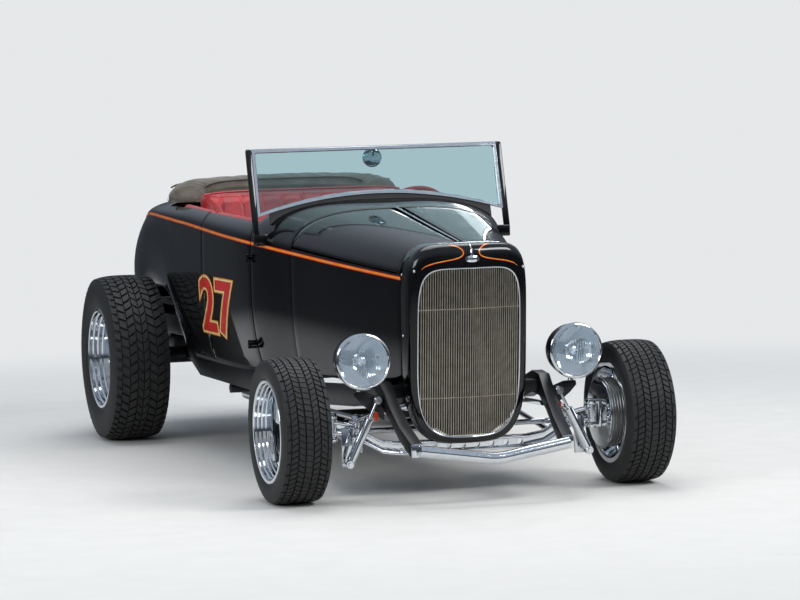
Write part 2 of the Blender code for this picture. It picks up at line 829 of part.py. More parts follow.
def hinge_barrels(kind):
    """Barrels with their leaves: the door carries the middle third of each hinge, the cowl the rest."""
    axis = hinge_axis()
    third = HINGE_HIGH / 3
    spans = {
        "door": ((-third / 2, third / 2),),
        "cowl": ((-HINGE_HIGH / 2, -third / 2), (third / 2, HINGE_HIGH / 2)),
    }
    pieces = []
    low, high = skin_point(DOOR_FRONT, 0).z, skin_point(DOOR_FRONT, 1).z
    turn = 1 if kind == "door" else -1
    for share in HINGE_PLACES_SHARES:
        middle = low + (high - low) * share
        skin = skin_point(DOOR_FRONT, share).x
        for start, end in spans[kind]:
            z0 = middle + start + HINGE_PLAY
            z1 = middle + end - HINGE_PLAY
            barrel = rod("barrel", (axis.x, axis.y, z0), (axis.x, axis.y, z1), HINGE_R, "chrome", PIN_SIDES)
            y0, y1 = sorted((axis.y, axis.y + turn * LEAF_LONG))
            if kind == "cowl":
                y1 = axis.y - PANEL_GAP / 2
                y0 = y1 - LEAF_LONG
                neck = block("neck", (skin + EMBED, y1 - HINGE_R, z0), (axis.x, y1, z1))
            else:
                y0 = axis.y + PANEL_GAP / 2
                neck = block("neck", (skin + EMBED, y0, z0), (axis.x, y0 + HINGE_R, z1))
                y1 = y0 + LEAF_LONG
            leaf = block("leaf", (skin - LEAF_THICK, y0, z0), (skin + LEAF_THICK, y1, z1))
            pieces += [fused("hinge", [barrel, neck, leaf])]
    return pieces


def make_cowl():
    """The cowl with its firewall, and the two door hinges' fixed leaves."""
    sections = steps(HOOD_REAR + GAP, DOOR_FRONT - PANEL_GAP / 2, 4)
    cowl = panel("cowl", sections, whole_arch(COWL_V_SHARES), WALL)
    seated(cowl)
    outline = []
    for v in whole_arch(COWL_V_SHARES):
        height = min(v, 4 - v, CREST_V_SHARE)
        place = skin_point(HOOD_REAR + GAP, height) - WALL / 2 * skin_normal(HOOD_REAR + GAP, height)
        outline.append((place.x if v <= 2 else -place.x, place.z))
    wall = extruded(
        "firewall", outline, "XZ", station(HOOD_REAR + EMBED), station(HOOD_REAR + EMBED) + FIREWALL_WALL
    )
    left = hinge_barrels("cowl")
    right = [mirrored("leaf_right", piece) for piece in left]
    fused("cowl", [cowl, wall, *left, *right])


def make_doors():
    """Two doors as thick as their whole shell, each with its hinges' moving leaves."""
    sections = steps(DOOR_FRONT + PANEL_GAP / 2, DOOR_REAR - PANEL_GAP / 2, 5)
    shoulder = skin_v(SHOULDER_SHARE)
    over = [*SIDE_V_SHARES, (1 + shoulder) / 2, shoulder]
    door = panel("door_left", sections, over, WALL, trim=(DOOR_TRIM / 2, DOOR_TRIM))
    door = fused("door_left", [door, *hinge_barrels("door")])
    mirrored("door_right", door)


def lid_axis():
    """A point of the deck lid's axis, which runs along X just over the skin at the lid's front gap."""
    return Vector((0, station(LID_FRONT + PANEL_GAP / 2), crown_z(LID_FRONT, LID_HINGE_X) + LID_HINGE_UP))


def lid_barrels(kind):
    """Barrels with their leaves: the lid's lie inboard of the body's, one pair on each side."""
    axis = lid_axis()
    turn = 1 if kind == "lid" else -1
    inner = LID_HINGE_X + (HINGE_PLAY if kind == "body" else -LID_HINGE_LONG - HINGE_PLAY)
    edge = axis.y + turn * PANEL_GAP / 2
    barrel = rod(
        "barrel",
        (inner, axis.y, axis.z),
        (inner + LID_HINGE_LONG, axis.y, axis.z),
        LID_HINGE_R,
        "chrome",
        PIN_SIDES,
    )
    y0, y1 = sorted((edge, edge + turn * LEAF_LONG))
    s = LID_FRONT + PANEL_GAP / 2 + turn * LEAF_LONG
    low = crown_z(s, LID_HINGE_X) - LEAF_THICK
    leaf = block("leaf", (inner, y0, low), (inner + LID_HINGE_LONG, y1, axis.z), "chrome")
    y0, y1 = sorted((axis.y, edge + turn * EMBED))
    neck = block(
        "neck", (inner, y0, axis.z - LID_HINGE_R / 2), (inner + LID_HINGE_LONG, y1, axis.z), "chrome"
    )
    left = fused("hinge", [barrel, neck, leaf])
    return [left, mirrored("hinge_right", left)]


def make_rear_body():
    """Quarters, strip behind the well and tail in one skin, open for the cockpit and the deck lid."""
    sections = [share * WHEELBASE for share in REAR_SECTION_SHARES]
    sections[0] = DOOR_REAR + PANEL_GAP / 2
    well, lid_front = len(sections), len(sections) + 1
    sections += [WELL_REAR, LID_FRONT]
    sections += [share * WHEELBASE for share in TAIL_SECTION_SHARES]
    lid_rear = len(sections)
    sections += [LID_REAR] + [share * WHEELBASE for share in CLOSING_SECTION_SHARES]
    shoulder, lid_edge = skin_v(SHOULDER_SHARE), skin_v(LID_EDGE_SHARE)
    left = [*SIDE_V_SHARES, (1 + shoulder) / 2, shoulder, lid_edge, (lid_edge + 2) / 2, 2]
    cockpit_columns, lid_columns = len(left) - 4, len(left) - 3

    def keep(i, j):
        column = min(j, 2 * (len(left) - 1) - 1 - j)
        if i < well:
            return column < cockpit_columns
        if lid_front <= i < lid_rear:
            return column < lid_columns
        return True

    body = seated(panel("rear_body", sections, whole_arch(left), REAR_WALL, keep=keep))
    fused("rear_body", [body, *lid_barrels("body")])
    lid_sections = steps(LID_FRONT + PANEL_GAP, LID_REAR - PANEL_GAP, 8)
    edge = lid_edge + LID_GAP_V_SHARE
    over = whole_arch([edge, edge + (2 - edge) / 3, edge + (2 - edge) * 2 / 3, 2])
    lid = panel("deck_lid", lid_sections, over, LID_WALL)
    fused("deck_lid", [lid, *lid_barrels("lid")])


def face_outline(half, low, high, inset=0):
    """Points of the grille's outline in X and Z, squarer at the top than at the bottom."""
    half, middle, tall = half - inset, (low + high) / 2, (high - low) / 2 - inset
    points = []
    for k in range(OUTLINE_SIDES):
        a = math.tau * k / OUTLINE_SIDES
        power = 2 / (OUTLINE_TOP_POWER if math.sin(a) > 0 else OUTLINE_BOTTOM_POWER)
        x = half * math.copysign(abs(math.cos(a)) ** power, math.cos(a))
        z = middle + tall * math.copysign(abs(math.sin(a)) ** power, math.sin(a))
        points.append((x, z))
    return points


def nose_station(x, z):
    """The station of the grille's face: vee'd in plan, and leaning forward at the top."""
    return NOSE_TOP + NOSE_LEAN * (GRILLE_TOP - z) + NOSE_VEE * abs(x)


def shell_rear(z):
    """The station of the shell's rear edge, cut forward at the bottom to clear the axle."""
    share = max(0, (SHELL_CUT_Z - z) / (SHELL_CUT_Z - SHELL_BOTTOM))
    return SHELL_REAR - SHELL_CUT * share


def make_grille():
    """The painted shell, the insert with its bars and cross wires, and the radiator behind."""
    outside = face_outline(SHELL_HALF, SHELL_BOTTOM, SHELL_TOP)
    within = face_outline(SHELL_HALF, SHELL_BOTTOM, SHELL_TOP, SHELL_WALL)
    lip = face_outline(GRILLE_HALF, GRILLE_BOTTOM, GRILLE_TOP)
    rings = []
    for (xo, zo), (xi, zi), (xl, zl) in zip(outside, within, lip):
        xm, zm = (xo + xl) / 2, (zo + zl) / 2
        nose = nose_station(xl, zl)
        inward, back = SHELL_EDGE_SHARES
        ring = [
            (xo, shell_rear(zo), zo),
            (xo, nose + SHELL_ROUND, zo),
            (xo + (xm - xo) * inward, nose + SHELL_ROUND * back, zo + (zm - zo) * inward),
            (xm, nose + SHELL_ROUND * SHELL_FLAT_SHARE, zm),
            (xl, nose, zl),
            (xl, nose + INSERT_DEEP + SHELL_WALL, zl),
            (xi, nose + SHELL_ROUND + SHELL_WALL, zi),
            (xi, shell_rear(zo), zi),
        ]
        rings.append([(x, station(s), z) for x, s, z in ring])
    loft("grille_shell", rings, "paint", closed=True)

    outer = face_outline(GRILLE_HALF, GRILLE_BOTTOM, GRILLE_TOP, GAP)
    inner = face_outline(GRILLE_HALF, GRILLE_BOTTOM, GRILLE_TOP, GAP + INSERT_FRAME)
    rings = []
    for (xo, zo), (xi, zi) in zip(outer, inner):
        nose = nose_station(xo, zo) + EMBED
        ring = [(xo, nose, zo), (xi, nose, zi), (xi, nose + INSERT_DEEP, zi), (xo, nose + INSERT_DEEP, zo)]
        rings.append([(x, station(s), z) for x, s, z in ring])
    insert = loft("grille_insert", rings, "brass", closed=True)
    insert = fused("grille_insert", [insert, bundle("bars", [grille_bar(k) for k in range(BAR_COUNT)])])
    fused("grille_insert", [insert, *[cross_wire(share) for share in CROSS_WIRE_SHARES]])

    radiator = block(
        "radiator",
        (-RADIATOR_HALF, station(RADIATOR_FRONT), RADIATOR_LOW),
        (RADIATOR_HALF, station(RADIATOR_FRONT + RADIATOR_DEEP), RADIATOR_TOP),
        "iron",
    )
    feet = []
    for side in (-1, 1):
        x0, x1 = sorted((side * RADIATOR_HALF, side * (RADIATOR_HALF - RADIATOR_FOOT)))
        low = (x0, station(RADIATOR_FRONT + RADIATOR_DEEP - EMBED), CROSSMEMBER_TOP + GAP)
        high = (
            x1, station(RADIATOR_FRONT + RADIATOR_DEEP + RADIATOR_FOOT), CROSSMEMBER_TOP + RADIATOR_FOOT / 2
        )
        feet.append(block("foot", low, high, "iron"))
    fused("radiator", [radiator, *feet])


def bar_reach(x, top):
    """How high or low the insert's frame stands at that X, at the middle of its width."""
    inset = GAP + INSERT_FRAME / 2
    half, middle = GRILLE_HALF - inset, (GRILLE_BOTTOM + GRILLE_TOP) / 2
    tall = (GRILLE_TOP - GRILLE_BOTTOM) / 2 - inset
    power = OUTLINE_TOP_POWER if top else OUTLINE_BOTTOM_POWER
    rise = tall * (1 - (abs(x) / half) ** power) ** (1 / power)
    return middle + rise if top else middle - rise


def grille_bar(k):
    """One upright bar, its ends inside the insert's frame."""
    clear = GRILLE_HALF - INSERT_FRAME
    x = clear * (2 * (k + 1) / (BAR_COUNT + 1) - 1)
    rings = []
    for top in (False, True):
        z = bar_reach(x, top)
        nose = nose_station(x, z) + EMBED
        ring = [(-1, 0), (1, 0), (1, 1), (-1, 1)]
        rings.append(
            [(x + side * BAR_WIDE / 2, station(nose + BAR_SET + back * BAR_DEEP), z) for side, back in ring]
        )
    return loft("bar", rings, "brass")


def cross_wire(share):
    """A round wire behind the bars, bent at the middle like the grille's face."""
    z = GRILLE_BOTTOM + (GRILLE_TOP - GRILLE_BOTTOM) * share
    reach = GRILLE_HALF - GAP - INSERT_FRAME / 2
    path = [
        (x, station(nose_station(x, z) + EMBED + BAR_SET + BAR_DEEP + WIRE_R + GAP), z)
        for x in (-reach, 0, reach)
    ]
    return bent_bar("wire", path, WIRE_R, "brass", WIRE_SIDES)


def make_inside():
    """Engine block, dash with the column, floor, seat and the folded top in its boot."""
    engine = block(
        "engine_block",
        (-ENGINE_HALF, station(ENGINE_FRONT), ENGINE_LOW),
        (ENGINE_HALF, station(ENGINE_REAR), ENGINE_TOP),
        "iron",
    )
    rail_x, rail_z = rail_at(ENGINE_LUG)
    lugs = []
    for side in (-1, 1):
        x0, x1 = sorted((side * (ENGINE_HALF - EMBED), side * (rail_x - RAIL_WIDE / 2 - GAP)))
        low = (x0, station(ENGINE_LUG), rail_z - ENGINE_LUG_THICK)
        lugs.append(
            block(
                "lug", low, (x1, station(ENGINE_LUG) + ENGINE_LUG_THICK, rail_z + ENGINE_LUG_THICK), "iron"
            )
        )
    fused("engine_block", [engine, *lugs])
    make_dash()
    make_floor()
    make_seat()
    make_boot()


def make_dash():
    """The dash across the cowl's rear, its outline set in from the cowl's wall, with the column."""
    rear = DOOR_FRONT - PANEL_GAP / 2 - DASH_SET
    front = rear - DASH_DEEP
    half_outline = []
    for v in DASH_V_SHARES:
        place = wall_point(front, v, WALL + DASH_CLEAR)
        half_outline.append((place.x, max(place.z, DASH_LOW)))
    half_outline[-1] = (0, half_outline[-1][1])
    left = half_outline[:-1]
    outline = left + [half_outline[-1]] + [(-x, z) for x, z in reversed(left)]
    dash = extruded("dash", outline, "XZ", station(front), station(rear))
    foot = Vector((COLUMN_X, station(COLUMN_FOOT), COLUMN_FOOT_Z))
    head, axis = steering_axis()
    level = [Vector((x, 0, z)) for x, _, z in circle((0, 0, 0), (0, 1, 0), COLUMN_R, ROD_SIDES)]
    rings = [[foot + place for place in level], circle(head, axis, COLUMN_R, ROD_SIDES)]
    column = loft("column", rings, "paint")
    fused("dash", [dash, column])


def steering_axis():
    """The column's head and its direction."""
    foot = Vector((COLUMN_X, station(COLUMN_FOOT), COLUMN_FOOT_Z))
    head = Vector((COLUMN_X, station(COLUMN_HEAD), COLUMN_HEAD_Z))
    return head, (head - foot).normalized()


def make_steering_wheel():
    """Rim, three spokes and hub, just off the column's head."""
    head, axis = steering_axis()
    start = head + axis * EAR_GAP
    hub = rod(
        "steering_wheel", start, start + axis * STEERING_HUB_HIGH, STEERING_HUB_R, "chrome", TUBE_SIDES
    )
    middle = start + axis * STEERING_HUB_HIGH * 0.5
    rim_middle = middle + axis * STEERING_DISH
    across = Vector((1, 0, 0))
    up = axis.cross(across)
    rings = []
    for k in range(STEERING_SIDES):
        a = math.tau * k / STEERING_SIDES
        out = math.cos(a) * across + math.sin(a) * up
        centre = rim_middle + STEERING_WHEEL_R * out
        rings.append(
            [
                centre + STEERING_GRIP_R * (math.cos(b) * out + math.sin(b) * axis)
                for b in (math.tau * m / 6 for m in range(6))
            ]
        )
    wheel = [hub, loft("rim", rings, "leather", closed=True)]
    for a in (math.radians(angle) for angle in STEERING_SPOKES_DEG):
        out = math.cos(a) * across + math.sin(a) * up
        start = middle + STEERING_HUB_R * 0.5 * out
        wheel.append(
            rod("spoke", start, rim_middle + STEERING_WHEEL_R * out, STEERING_SPOKE_R, "chrome", PIN_SIDES)
        )
    fused("steering_wheel", wheel)


def make_floor():
    """Flat floor, seat box, bulkhead and raised trunk floor as one pressing."""
    long = FLOOR_REAR - FLOOR_FRONT
    half = [(SILL_HALF * w, station(FLOOR_FRONT + long * share)) for share, w in FLOOR_SHARES]
    outline = half + [(-x, y) for x, y in reversed(half)]
    floor = extruded("floor", outline, "XY", FLOOR_TOP - FLOOR_WALL, FLOOR_TOP, "carpet")
    back = CUSHION_REAR
    bulkhead = block(
        "bulkhead",
        (-TRUNK_HALF, station(FLOOR_REAR - FLOOR_WALL), FLOOR_TOP - EMBED),
        (TRUNK_HALF, station(FLOOR_REAR), TRUNK_FLOOR_Z + FLOOR_WALL),
        "carpet",
    )
    trunk = block(
        "trunk",
        (-TRUNK_HALF, station(FLOOR_REAR - EMBED), TRUNK_FLOOR_Z),
        (TRUNK_HALF, station(TRUNK_REAR), TRUNK_FLOOR_Z + FLOOR_WALL),
        "carpet",
    )
    base = block(
        "base",
        (-SEAT_BASE_HALF, station(SEAT_BASE_FRONT), FLOOR_TOP - EMBED),
        (SEAT_BASE_HALF, station(back), CUSHION_LOW - GAP),
        "carpet",
    )
    fused("floor", [floor, bulkhead, trunk, base])


def rounded_box(name, low, high, lean, material):
    """A box with bevelled edges whose top is moved back by lean."""
    thing = block(name, low, high, material)
    for vertex in thing.data.vertices:
        vertex.co.y += lean * (vertex.co.z - low[2]) / (high[2] - low[2])
    edges = thing.modifiers.new("round", "BEVEL")
    edges.width = SOFT_ROUND
    edges.segments = 2
    edges.limit_method = "ANGLE"
    return thing


def make_seat():
    """Bench cushion and back, plain."""
    front_of_back = CUSHION_REAR - BACK_THICK
    rounded_box(
        "seat_cushion",
        (-CUSHION_HALF, station(CUSHION_FRONT), CUSHION_LOW),
        (CUSHION_HALF, station(front_of_back - GAP), CUSHION_TOP),
        0,
        "leather",
    )
    rounded_box(
        "seat_back",
        (-CUSHION_HALF, station(front_of_back), BACK_LOW),
        (CUSHION_HALF, station(CUSHION_REAR), BACK_TOP),
        BACK_LEAN,
        "leather",
    )


def crown_z(s, x):
    """The crown's height at a station and an X."""
    _, belt, _, belt_z, rise, _ = section_at(s)
    share = min(abs(x) / belt, 1)
    return belt_z + rise * (1 - share**ROUND_SIDE_POWER) ** (1 / ROUND_TOP_POWER)


def make_boot():
    """The folded top under its cover: a low roll round the back of the cockpit."""
    rings = []
    for u in steps(-1, 1, BOOT_SECTIONS):
        a = u * math.pi / 2
        x = BOOT_HALF * math.copysign(abs(math.sin(a)) ** BOOT_POWER, a)
        s = BOOT_FRONT + (BOOT_REAR - BOOT_FRONT) * abs(math.cos(a)) ** BOOT_POWER
        end = abs(u) ** 3
        deep = BOOT_DEEP + (BOOT_END_DEEP - BOOT_DEEP) * end
        top = BOOT_TOP + (BOOT_END_TOP - BOOT_TOP) * end
        low = crown_z(WELL_REAR, x) + GAP
        out = Vector((math.sin(a) * abs(math.sin(a)), math.cos(a))).normalized()
        ring = []
        for c, h in BOOT_SECTION_SHARES:
            ring.append((x + c * deep * out.x, station(s + c * deep * out.y), low + (top - low) * h))
        rings.append(ring)
    loft("folded_top", rings, "canvas")


def screen_station(z):
    """The windshield plane's station at a height."""
    return SCREEN_FOOT + SCREEN_RAKE * (z - SCREEN_FOOT_Z)


def screen_outline(inset, lift):
    """The screen in X and Z: flat top, upright sides and an arched bottom."""
    half, top = SCREEN_HALF - inset, SCREEN_TOP - inset
    bottom = []
    for x in steps(half, -half, SCREEN_ARCH_STEPS):
        share = abs(x) / half
        z = SCREEN_CORNER_Z + (SCREEN_ARCH_Z - SCREEN_CORNER_Z) * (1 - share**2)
        bottom.append((x, z + lift))
    return [(-half, top), (half, top)] + bottom


def on_screen(outline, depth):
    """The outline laid on the raked plane, at a depth behind it."""
    return [(x, station(screen_station(z)) + depth, z) for x, z in outline]


def belt_x(s):
    """The belt's half-width at a station."""
    return section_at(s)[1]


def swollen(name):
    """A copy of a piece, wider to both sides and lifted by the gap, to cut what sits on it."""
    mesh = bpy.data.objects[name].data.copy()
    mesh.transform(Matrix.Diagonal((1 + GAP / BODY_HALF, 1, 1, 1)))
    mesh.transform(Matrix.Translation((0, 0, GAP)))
    twin = bpy.data.objects.new("swollen", mesh)
    bpy.context.scene.collection.objects.link(twin)
    return twin


def make_windshield():
    """Frame, its seal down to the cowl, two posts, the mirror, and the pane inside the frame."""
    outer, inner = screen_outline(0, 0), screen_outline(SCREEN_BAR, SCREEN_BAR)
    rings = []
    for k, outside in enumerate(outer):
        inside = inner[k]
        pair = [outside, inside]
        front, back = on_screen(pair, -SCREEN_WALL / 2), on_screen(pair, SCREEN_WALL / 2)
        rings.append([front[0], front[1], back[1], back[0]])
    frame = loft("windshield_frame", rings, "chrome", closed=True)
    seal_rings = []
    for x in steps(-SEAL_HALF, SEAL_HALF, SCREEN_ARCH_STEPS):
        share = abs(x) / SCREEN_HALF
        top = SCREEN_CORNER_Z + (SCREEN_ARCH_Z - SCREEN_CORNER_Z) * (1 - share**2) + EMBED
        low = crown_z(screen_station(top), x) + SEAL_GAP
        ring = []
        for z, depth in ((top, -1), (top, 1), (low, 1), (low, -1)):
            ring.append((x, station(screen_station(z)) + depth * SEAL_DEEP / 2, z))
        seal_rings.append(ring)
    pieces = [frame, loft("seal", seal_rings, "iron")]
    for side in (-1, 1):
        rings = []
        for z in (SCREEN_FOOT_Z - POST_FOOT_DROP, SCREEN_TOP):
            y = station(screen_station(z))
            x0, x1 = side * (POST_X - POST_WIDE / 2), side * (POST_X + POST_WIDE / 2)
            rings.append(
                [
                    (x0, y - POST_DEEP / 2, z),
                    (x1, y - POST_DEEP / 2, z),
                    (x1, y + POST_DEEP / 2, z),
                    (x0, y + POST_DEEP / 2, z),
                ]
            )
        pieces.append(loft("post", rings, "paint"))
        foot_z = SCREEN_FOOT_Z - POST_FOOT_DROP
        skin = belt_x(screen_station(foot_z)) - POST_WIDE
        x0, x1 = sorted((side * (skin + GAP), side * (POST_X + POST_WIDE / 2)))
        y = station(screen_station(foot_z))
        pieces.append(
            block(
                "foot",
                (x0, y - POST_DEEP / 2, foot_z - POST_FOOT_HIGH),
                (x1, y + POST_DEEP / 2, foot_z + EMBED),
            )
        )
    stem_top = Vector((0, station(screen_station(SCREEN_TOP)), SCREEN_TOP - SCREEN_BAR / 2))
    centre = Vector((0, station(screen_station(MIRROR_Z)) + MIRROR_BACK, MIRROR_Z))
    pieces.append(rod("stem", stem_top, centre, MIRROR_STEM_R, "chrome", PIN_SIDES))
    pieces.append(
        rod(
            "mirror",
            centre - Vector((0, MIRROR_WALL, 0)),
            centre + Vector((0, MIRROR_WALL, 0)),
            MIRROR_R,
            "chrome",
            DRUM_SIDES,
        )
    )
    fused("windshield_frame", [cut(piece, [swollen("cowl")]) for piece in pieces])
    pane = screen_outline(SCREEN_BAR + GAP, SCREEN_BAR + GAP)
    loft("windshield_glass", [on_screen(pane, -GLASS_WALL / 2), on_screen(pane, GLASS_WALL / 2)], "glass")


def rail_path():
    """The middle line of the left rail."""
    return [(RAIL_HALF * x, WHEELBASE * s, RAIL_Z * z) for x, s, z in RAIL_SHARES]


def rail_at(s):
    """X and height of the left rail's middle at a station."""
    path = rail_path()
    for (x0, s0, z0), (x1, s1, z1) in zip(path, path[1:]):
        if s <= s1:
            t = (s - s0) / (s1 - s0)
            return x0 + (x1 - x0) * t, z0 + (z1 - z0) * t
    return path[-1][0], path[-1][2]


def make_frame():
    """Two rails, crossmembers between them, and the brackets for lamps and front shocks."""
    rails = []
    for side in (-1, 1):
        rings = []
        for x, s, z in rail_path():
            high = RAIL_HIGH * (HORN_SHARE if s < BRACKET_STATION * 2 else 1)
            ring = [(-1, -1), (1, -1), (1, 1), (-1, 1)]
            rings.append([(side * x + a * RAIL_WIDE / 2, station(s), z + b * high / 2) for a, b in ring])
        rails.append(loft("rail", rings, "paint"))
    pieces = []
    middle = (FRONT_CROSS_START + FRONT_CROSS_END) / 2
    x, z = rail_at(middle)
    pieces.append(
        block(
            "cross",
            (-x, station(FRONT_CROSS_START), CROSSMEMBER_TOP - FRONT_CROSS_HIGH),
            (x, station(FRONT_CROSS_END), CROSSMEMBER_TOP),
        )
    )
    for share in CROSSMEMBER_SHARES:
        s = share * WHEELBASE
        x, z = rail_at(s)
        low = (-x, station(s) - CROSSMEMBER_DEEP / 2, z - CROSSMEMBER_HIGH / 2)
        pieces.append(block("cross", low, (x, station(s) + CROSSMEMBER_DEEP / 2, z + CROSSMEMBER_HIGH / 2)))
    outline = [(LAMP_X * x, LAMP_Z * z) for x, z in BRACKET_SHARES]
    for side in (-1, 1):
        face = [(side * x, z) for x, z in outline]
        start = station(BRACKET_STATION)
        pieces.append(extruded("bracket", face, "XZ", start, start + BRACKET_THICK))
        pieces.append(shock_stud(side))
    fused("frame", [rails[0], *pieces, rails[1]])


def shock_ends(side):
    """The shock's two eyes."""
    top = Vector((side * SHOCK_TOP_X, station(SHOCK_STATION), SHOCK_TOP_Z))
    low = Vector((side * SHOCK_LOW_X, station(SHOCK_STATION), SHOCK_LOW_Z))
    return top, low


def shock_stud(side):
    """The stud on the bracket that the shock's upper eye sits on."""
    top, _ = shock_ends(side)
    back = Vector((top.x, station(BRACKET_STATION) + BRACKET_THICK / 2, top.z))
    return rod(
        "stud", top + Vector((0, SHOCK_EYE_LONG / 2 + GAP, 0)), back, SHOCK_STUD_R, "chrome", PIN_SIDES
    )


def make_spreader_bar():
    """The vee-bent tube between the frame horns, with a flange at each horn."""
    nose = -FRONT_OVERHANG + SPREADER_R
    ends = [(side * SPREADER_HALF, station(SPREADER_END_STATION), SPREADER_END_Z) for side in (-1, 1)]
    lag = SPREADER_BEND * SPREADER_LAG_SHARE
    path = [ends[0], (-SPREADER_BEND, station(nose + lag), SPREADER_MID_Z + lag)]
    path += [(0, station(nose), SPREADER_MID_Z), (SPREADER_BEND, path[1][1], path[1][2]), ends[1]]
    pieces = [bent_bar("spreader_bar", path, SPREADER_R, "chrome", TUBE_SIDES)]
    x, s, z = rail_path()[0]
    for side in (-1, 1):
        horn = Vector((side * x, station(s) - GAP, z))
        low = (horn.x - RAIL_WIDE / 2, horn.y - FLANGE_THICK, z - RAIL_HIGH * HORN_SHARE / 2)
        high = (horn.x + RAIL_WIDE / 2, horn.y, z + RAIL_HIGH * HORN_SHARE / 2)
        pieces.append(block("flange", low, high, "chrome"))
    fused("spreader_bar", pieces)


def make_shocks():
    """Chrome tube shocks from the brackets down to the axle's ends."""
    top, low = shock_ends(1)
    axis = (low - top).normalized()
    half = Vector((0, SHOCK_EYE_LONG / 2, 0))
    neck = top + axis * (low - top).length * SHOCK_NECK_SHARE
    pieces = [
        rod("shock_left", top - half, top + half, SHOCK_EYE_R, "chrome", ROD_SIDES),
        rod("rod", top, neck + axis * EMBED, SHOCK_ROD_R, "chrome", PIN_SIDES),
        rod("body", neck, low - axis * SHOCK_EYE_R * 0.5, SHOCK_BODY_R, "chrome", TUBE_SIDES),
        rod("eye", low - half, low + half, SHOCK_EYE_R, "chrome", ROD_SIDES),
    ]
    shock = fused("shock_left", pieces)
    mirrored("shock_right", shock)


def axle_z(x):
    """The beam's middle height at an X."""
    share = abs(x) / KINGPIN_X
    for (x0, d0), (x1, d1) in zip(AXLE_SHARES, AXLE_SHARES[1:]):
        if share <= x1:
            drop = d0 + (d1 - d0) * (share - x0) / (x1 - x0)
            return FRONT_TYRE_R - AXLE_DROP * drop
    return FRONT_TYRE_R


def make_front_axle():
    """A dropped beam of I section with round holes, a boss at each end and the shocks' lower studs."""
    xs = [KINGPIN_X * x for x, _ in AXLE_SHARES]
    xs = [-x for x in reversed(xs[1:])] + xs
    deep, web, high = AXLE_DEEP / 2, AXLE_WEB / 2, AXLE_HIGH / 2
    flange = high - AXLE_FLANGE
    ring = [(-deep, -high), (deep, -high), (deep, -flange), (web, -flange), (web, flange), (deep, flange)]
    ring += [
        (deep, high), (-deep, high), (-deep, flange), (-web, flange), (-web, -flange), (-deep, -flange)
    ]
    rings = [[(x, FRONT_Y + y, axle_z(x) + z) for y, z in ring] for x in xs]
    beam = loft("front_axle", rings, "iron")
    pieces = [beam]
    for side in (-1, 1):
        centre = Vector((side * KINGPIN_X, FRONT_Y, FRONT_TYRE_R))
        half = Vector((0, 0, BOSS_HIGH / 2))
        pieces.append(rod("boss", centre - half, centre + half, BOSS_R, "iron", TUBE_SIDES))
        _, low = shock_ends(side)
        stud_start = low + Vector((0, SHOCK_EYE_LONG / 2 + GAP, 0))
        plate_y = station(-AXLE_DEEP / 2) - EMBED
        x0, x1 = sorted((low.x - side * TAB_WIDE, low.x + side * TAB_WIDE / 4))
        pieces.append(
            block(
                "tab", (x0, plate_y, low.z - TAB_WIDE / 2), (x1, plate_y + TAB_THICK, axle_z(low.x)), "iron"
            )
        )
        pieces.append(
            rod("stud", stud_start, (low.x, plate_y + EMBED, low.z), SHOCK_STUD_R, "chrome", PIN_SIDES)
        )
        pieces.append(perch(side))
    axle = fused("front_axle", pieces)
    holes = []
    count = int(AXLE_FLAT_HALF / AXLE_HOLE_STEP)
    for k in range(-count + 1, count):
        x = k * AXLE_HOLE_STEP
        z = axle_z(x)
        holes.append(
            rod(
                "hole",
                (x, FRONT_Y - AXLE_DEEP, z),
                (x, FRONT_Y + AXLE_DEEP, z),
                AXLE_HOLE_R,
                "iron",
                PIN_SIDES,
            )
        )
    cut(axle, [bundle("holes", holes)])


def perch(side):
    """The upright post that the spring's end sits on."""
    z = axle_z(SPRING_HALF)
    base = Vector((side * SPRING_HALF, FRONT_Y, z))
    top = spring_z(SPRING_HALF + PERCH_R) - SPRING_THICK / 2 - GAP
    return rod("perch", base, base + Vector((0, 0, top - z)), PERCH_R, "iron", BAR_SIDES)


def spring_z(x):
    """The middle height of the spring's top leaf at an X."""
    rise = CROSSMEMBER_TOP - FRONT_CROSS_HIGH - GAP - SPRING_THICK / 2 - SPRING_END_Z
    return SPRING_END_Z + rise * (1 - (x / SPRING_HALF) ** 2)


def make_front_spring():
    """A transverse leaf spring: stacked arched leaves clamped under the front crossmember."""
    leaves = []
    for leaf in range(SPRING_LEAVES):
        reach = SPRING_HALF + SPRING_EYE - leaf * SPRING_HALF * SPRING_STEP_SHARE
        rings = []
        for x in steps(-reach, reach, SPRING_SECTIONS):
            z = spring_z(x) - leaf * (SPRING_THICK - EMBED / 4)
            y0, y1 = FRONT_Y + SPRING_SET - SPRING_WIDE / 2, FRONT_Y + SPRING_SET + SPRING_WIDE / 2
            low, high = z - SPRING_THICK / 2, z + SPRING_THICK / 2
            rings.append([(x, y0, low), (x, y1, low), (x, y1, high), (x, y0, high)])
        leaves.append(loft("leaf", rings, "iron"))
    fused("front_spring", leaves)


